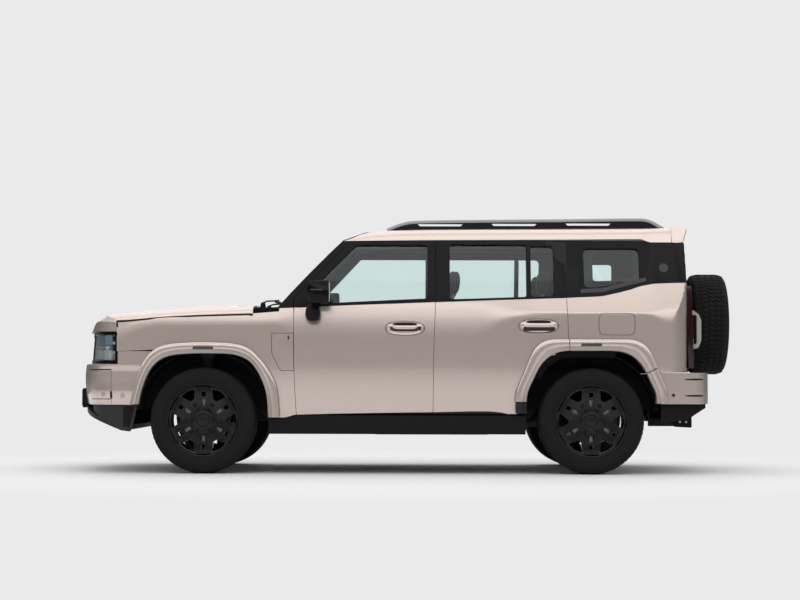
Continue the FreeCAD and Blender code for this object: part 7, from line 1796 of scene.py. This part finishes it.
# The wheel's cuts and raised parts, as corners (radius from the hub, degrees from a spoke or a gap,
# rounding): pockets between the spokes, two slots in each spoke, ribs along its edges, a pad at its end
POCKET = ((0.168, -5.5, 0.012), (0.243, -14.5, 0.012), (0.248, 0, 0), (0.243, 14.5, 0.012),
          (0.168, 5.5, 0.012))
SLOTS = (((0.159, -6.6, 0.006), (0.159, 6.6, 0.006), (0.108, 6, 0.006), (0.108, -6, 0.006)),
         ((0.214, -5, 0.006), (0.214, 5, 0.006), (0.176, 5.2, 0.006), (0.176, -5.2, 0.006)))
RIB = ((0.1, 9.5, 0.003), (0.165, 8.6, 0.004), (0.25, 9.2, 0.004), (0.25, 12.8, 0.004), (0.17, 13.6, 0.004),
       (0.103, 15.5, 0.003))
FACE_RADIUS, NOTCH_RADIUS, BOSS_RADIUS, NUT_RADIUS = 0.254, 0.236, 0.13, 0.088
END_PAD = ((0.25, -8.2, 0.004), (0.25, 8.2, 0.004), (0.222, 7.6, 0.004), (0.222, -7.6, 0.004))


def make_rim(name, centre, out_axis, body, cad):
    """A six-spoke wheel. out_axis points to its outer face."""
    centre, out_axis = Vector(centre), Vector(out_axis)
    along = Vector((1, 0, 0)) if abs(out_axis.y) > 0.5 else Vector((0, 1, 0))
    rise = Vector((0, 0, 1))

    def face_depth(r):
        return 0.11 - 0.021 * smooth(0.266, 0.252, r) - 0.01 * smooth(0.22, 0.1, r)

    def place_at(lift):
        def place(u, w):
            return centre + along * u + rise * w + out_axis * (face_depth(math.hypot(u, w)) + lift)
        return place

    def polar(r, degrees):
        a = math.radians(degrees)
        return r * math.cos(a), r * math.sin(a)

    def outline(base, corners, steps=4):
        return rounded([(*polar(r, base + turn), size) for r, turn, size in corners], steps)

    def outward(_):
        return out_axis

    # Lip and barrel
    barrel = [(0.27, 0.096), (0.2722, 0.106), (0.2722, 0.1125), (0.27, 0.1155), (0.264, 0.1155),
              (0.26, 0.112), (0.256, 0.1), (0.253, 0.08), (0.25, 0.03), (0.238, -0.02), (0.238, -0.085),
              (0.256, -0.102), (0.264, -0.112), (0.2722, -0.112), (0.2722, -0.104), (0.262, -0.1),
              (0.248, -0.075), (0.248, -0.02), (0.259, 0.03), (0.262, 0.096)]
    lathe(name, barrel, centre, out_axis, body, RIM, 96, sharp=30, replaces=[cad], closed=True)
    circle = [polar(FACE_RADIUS, 3 * k) for k in range(120)]
    holes = []
    for k in range(6):
        holes.append(outline(60 * k, POCKET))
        holes += [outline(60 * k + 30, slot) for slot in SLOTS]
    panel(name + "_face", circle, place_at(0.0), outward, body, RIM, holes=holes, fold=0.02, hole_fold=0.04,
          run=0.01, step=0.022, corner=0.0028)
    # Raised parts: the spokes' twin ribs and outer pads, small marks on the pads, bolts and cap
    for k in range(6):
        spoke = 60 * k + 30
        for edge in (-1, 1):
            rib = outline(spoke, [(r, edge * turn, size) for r, turn, size in RIB[::-edge]], 3)
            panel(f"{name}_rib_{k}_{'a' if edge < 0 else 'b'}", rib, place_at(0.0065), outward, body, RIM,
                  fold=0.01, run=0.012, corner=0.0022)
        panel(f"{name}_pad_{k}", outline(spoke, END_PAD, 3), place_at(0.011), outward, body, RIM, fold=0.014,
              run=0.012, corner=0.0022)
        # Three small marks near each spoke's end in a darker, matt black: painted shade standing in for
        # grooves
        for notch in (-1, 0, 1):
            x = polar(NOTCH_RADIUS, spoke + notch * 3.6)
            radial = Vector(x).normalized()
            across = Vector((-radial.y, radial.x))
            mark = [tuple(Vector(x) + radial * a * 0.009 + across * b * 0.0016)
                    for a, b in ((-1, -1), (1, -1), (1, 1), (-1, 1))]
            panel(f"{name}_groove_{k}_{notch + 1}", mark, place_at(0.0114), outward, body, DEEP_SHADE,
                  fold=0.001, corner=0.0003)
        bolt = polar(BOSS_RADIUS, 60 * k)
        lathe(f"{name}_boss_{k}", [(0, 0.0085), (0.0075, 0.0085), (0.0095, 0.0065), (0.0095, 0.001),
                                   (0.0165, 0.001), (0.0185, -0.004)],
              centre + along * bolt[0] + rise * bolt[1] + out_axis * (face_depth(BOSS_RADIUS) + 0.001),
              out_axis, body, RIM, 18)
        nut = polar(NUT_RADIUS, 60 * k)
        lathe(f"{name}_nut_{k}", [(0, 0.01), (0.008, 0.01), (0.0105, 0.0075), (0.0105, -0.004)],
              centre + along * nut[0] + rise * nut[1] + out_axis * face_depth(NUT_RADIUS), out_axis, body,
              BLACK_SATIN, 6)
    lathe(name + "_cap", [(0, 0.0155), (0.03, 0.015), (0.034, 0.0125), (0.048, 0.0125), (0.052, 0.0165),
                          (0.062, 0.0175), (0.07, 0.0145), (0.0725, 0.008), (0.0725, -0.004)],
          centre + out_axis * face_depth(0.05), out_axis, body, RIM, 64)


# Half sections of the brake disc and an outline of its caliper, and how far the wheels stand out
DISC_FORM = [(0.075, 0.046), (0.085, 0.034), (0.16, 0.034), (0.1625, 0.03), (0.1625, 0.012), (0.16, 0.008),
             (0.075, 0.008)]
CALIPER = rounded([(0.125, -0.052, 0.012), (0.19, -0.06, 0.02), (0.196, 0.06, 0.02), (0.125, 0.052, 0.012)],
                  4)
WHEEL_Y = 0.84
for end, x in (("front", FRONT_X), ("rear", REAR_X)):
    for side, sign in SIDES:
        label, centre, body = f"{end}_{side}", Vector((x, sign * WHEEL_Y, HUB_Z)), f"wheel_{end}_{side}"
        make_tyre(f"tyre_{label}_body", centre, body, (0, 1, 0))
        make_rim(f"wheel_{label}_rim", centre, (0, sign, 0), body, f"rim_{label}")
        # The brake disc and caliper behind the spokes don't spin
        still = f"knuckle_{side}" if end == "front" else "body"
        lathe(f"brake_disc_{label}", DISC_FORM, centre, (0, sign, 0), still, STEEL, 72, closed=True)
        solid(f"brake_caliper_{label}", [slab([(centre.x + u, centre.z + w) for u, w in CALIPER], "y",
                                              centre.y - sign * 0.014, centre.y + sign * 0.037)], still, CAST,
              bevel=0.005)

SPARE = (2.3705, 0, 1.142)
make_tyre("spare_tyre_body", SPARE, "tailgate", (1, 0, 0))
make_rim("spare_wheel_rim", SPARE, (1, 0, 0), "tailgate", "spare_rim")
dress(STEEL, "exhaust_and_tank")
dress(CAST, "knuckle_left", "knuckle_right", "front_suspension", "rear_axle", "driveline", "engine_block")
dress(CHASSIS, "chassis_frame", "floor_pan", "tow_hitch")
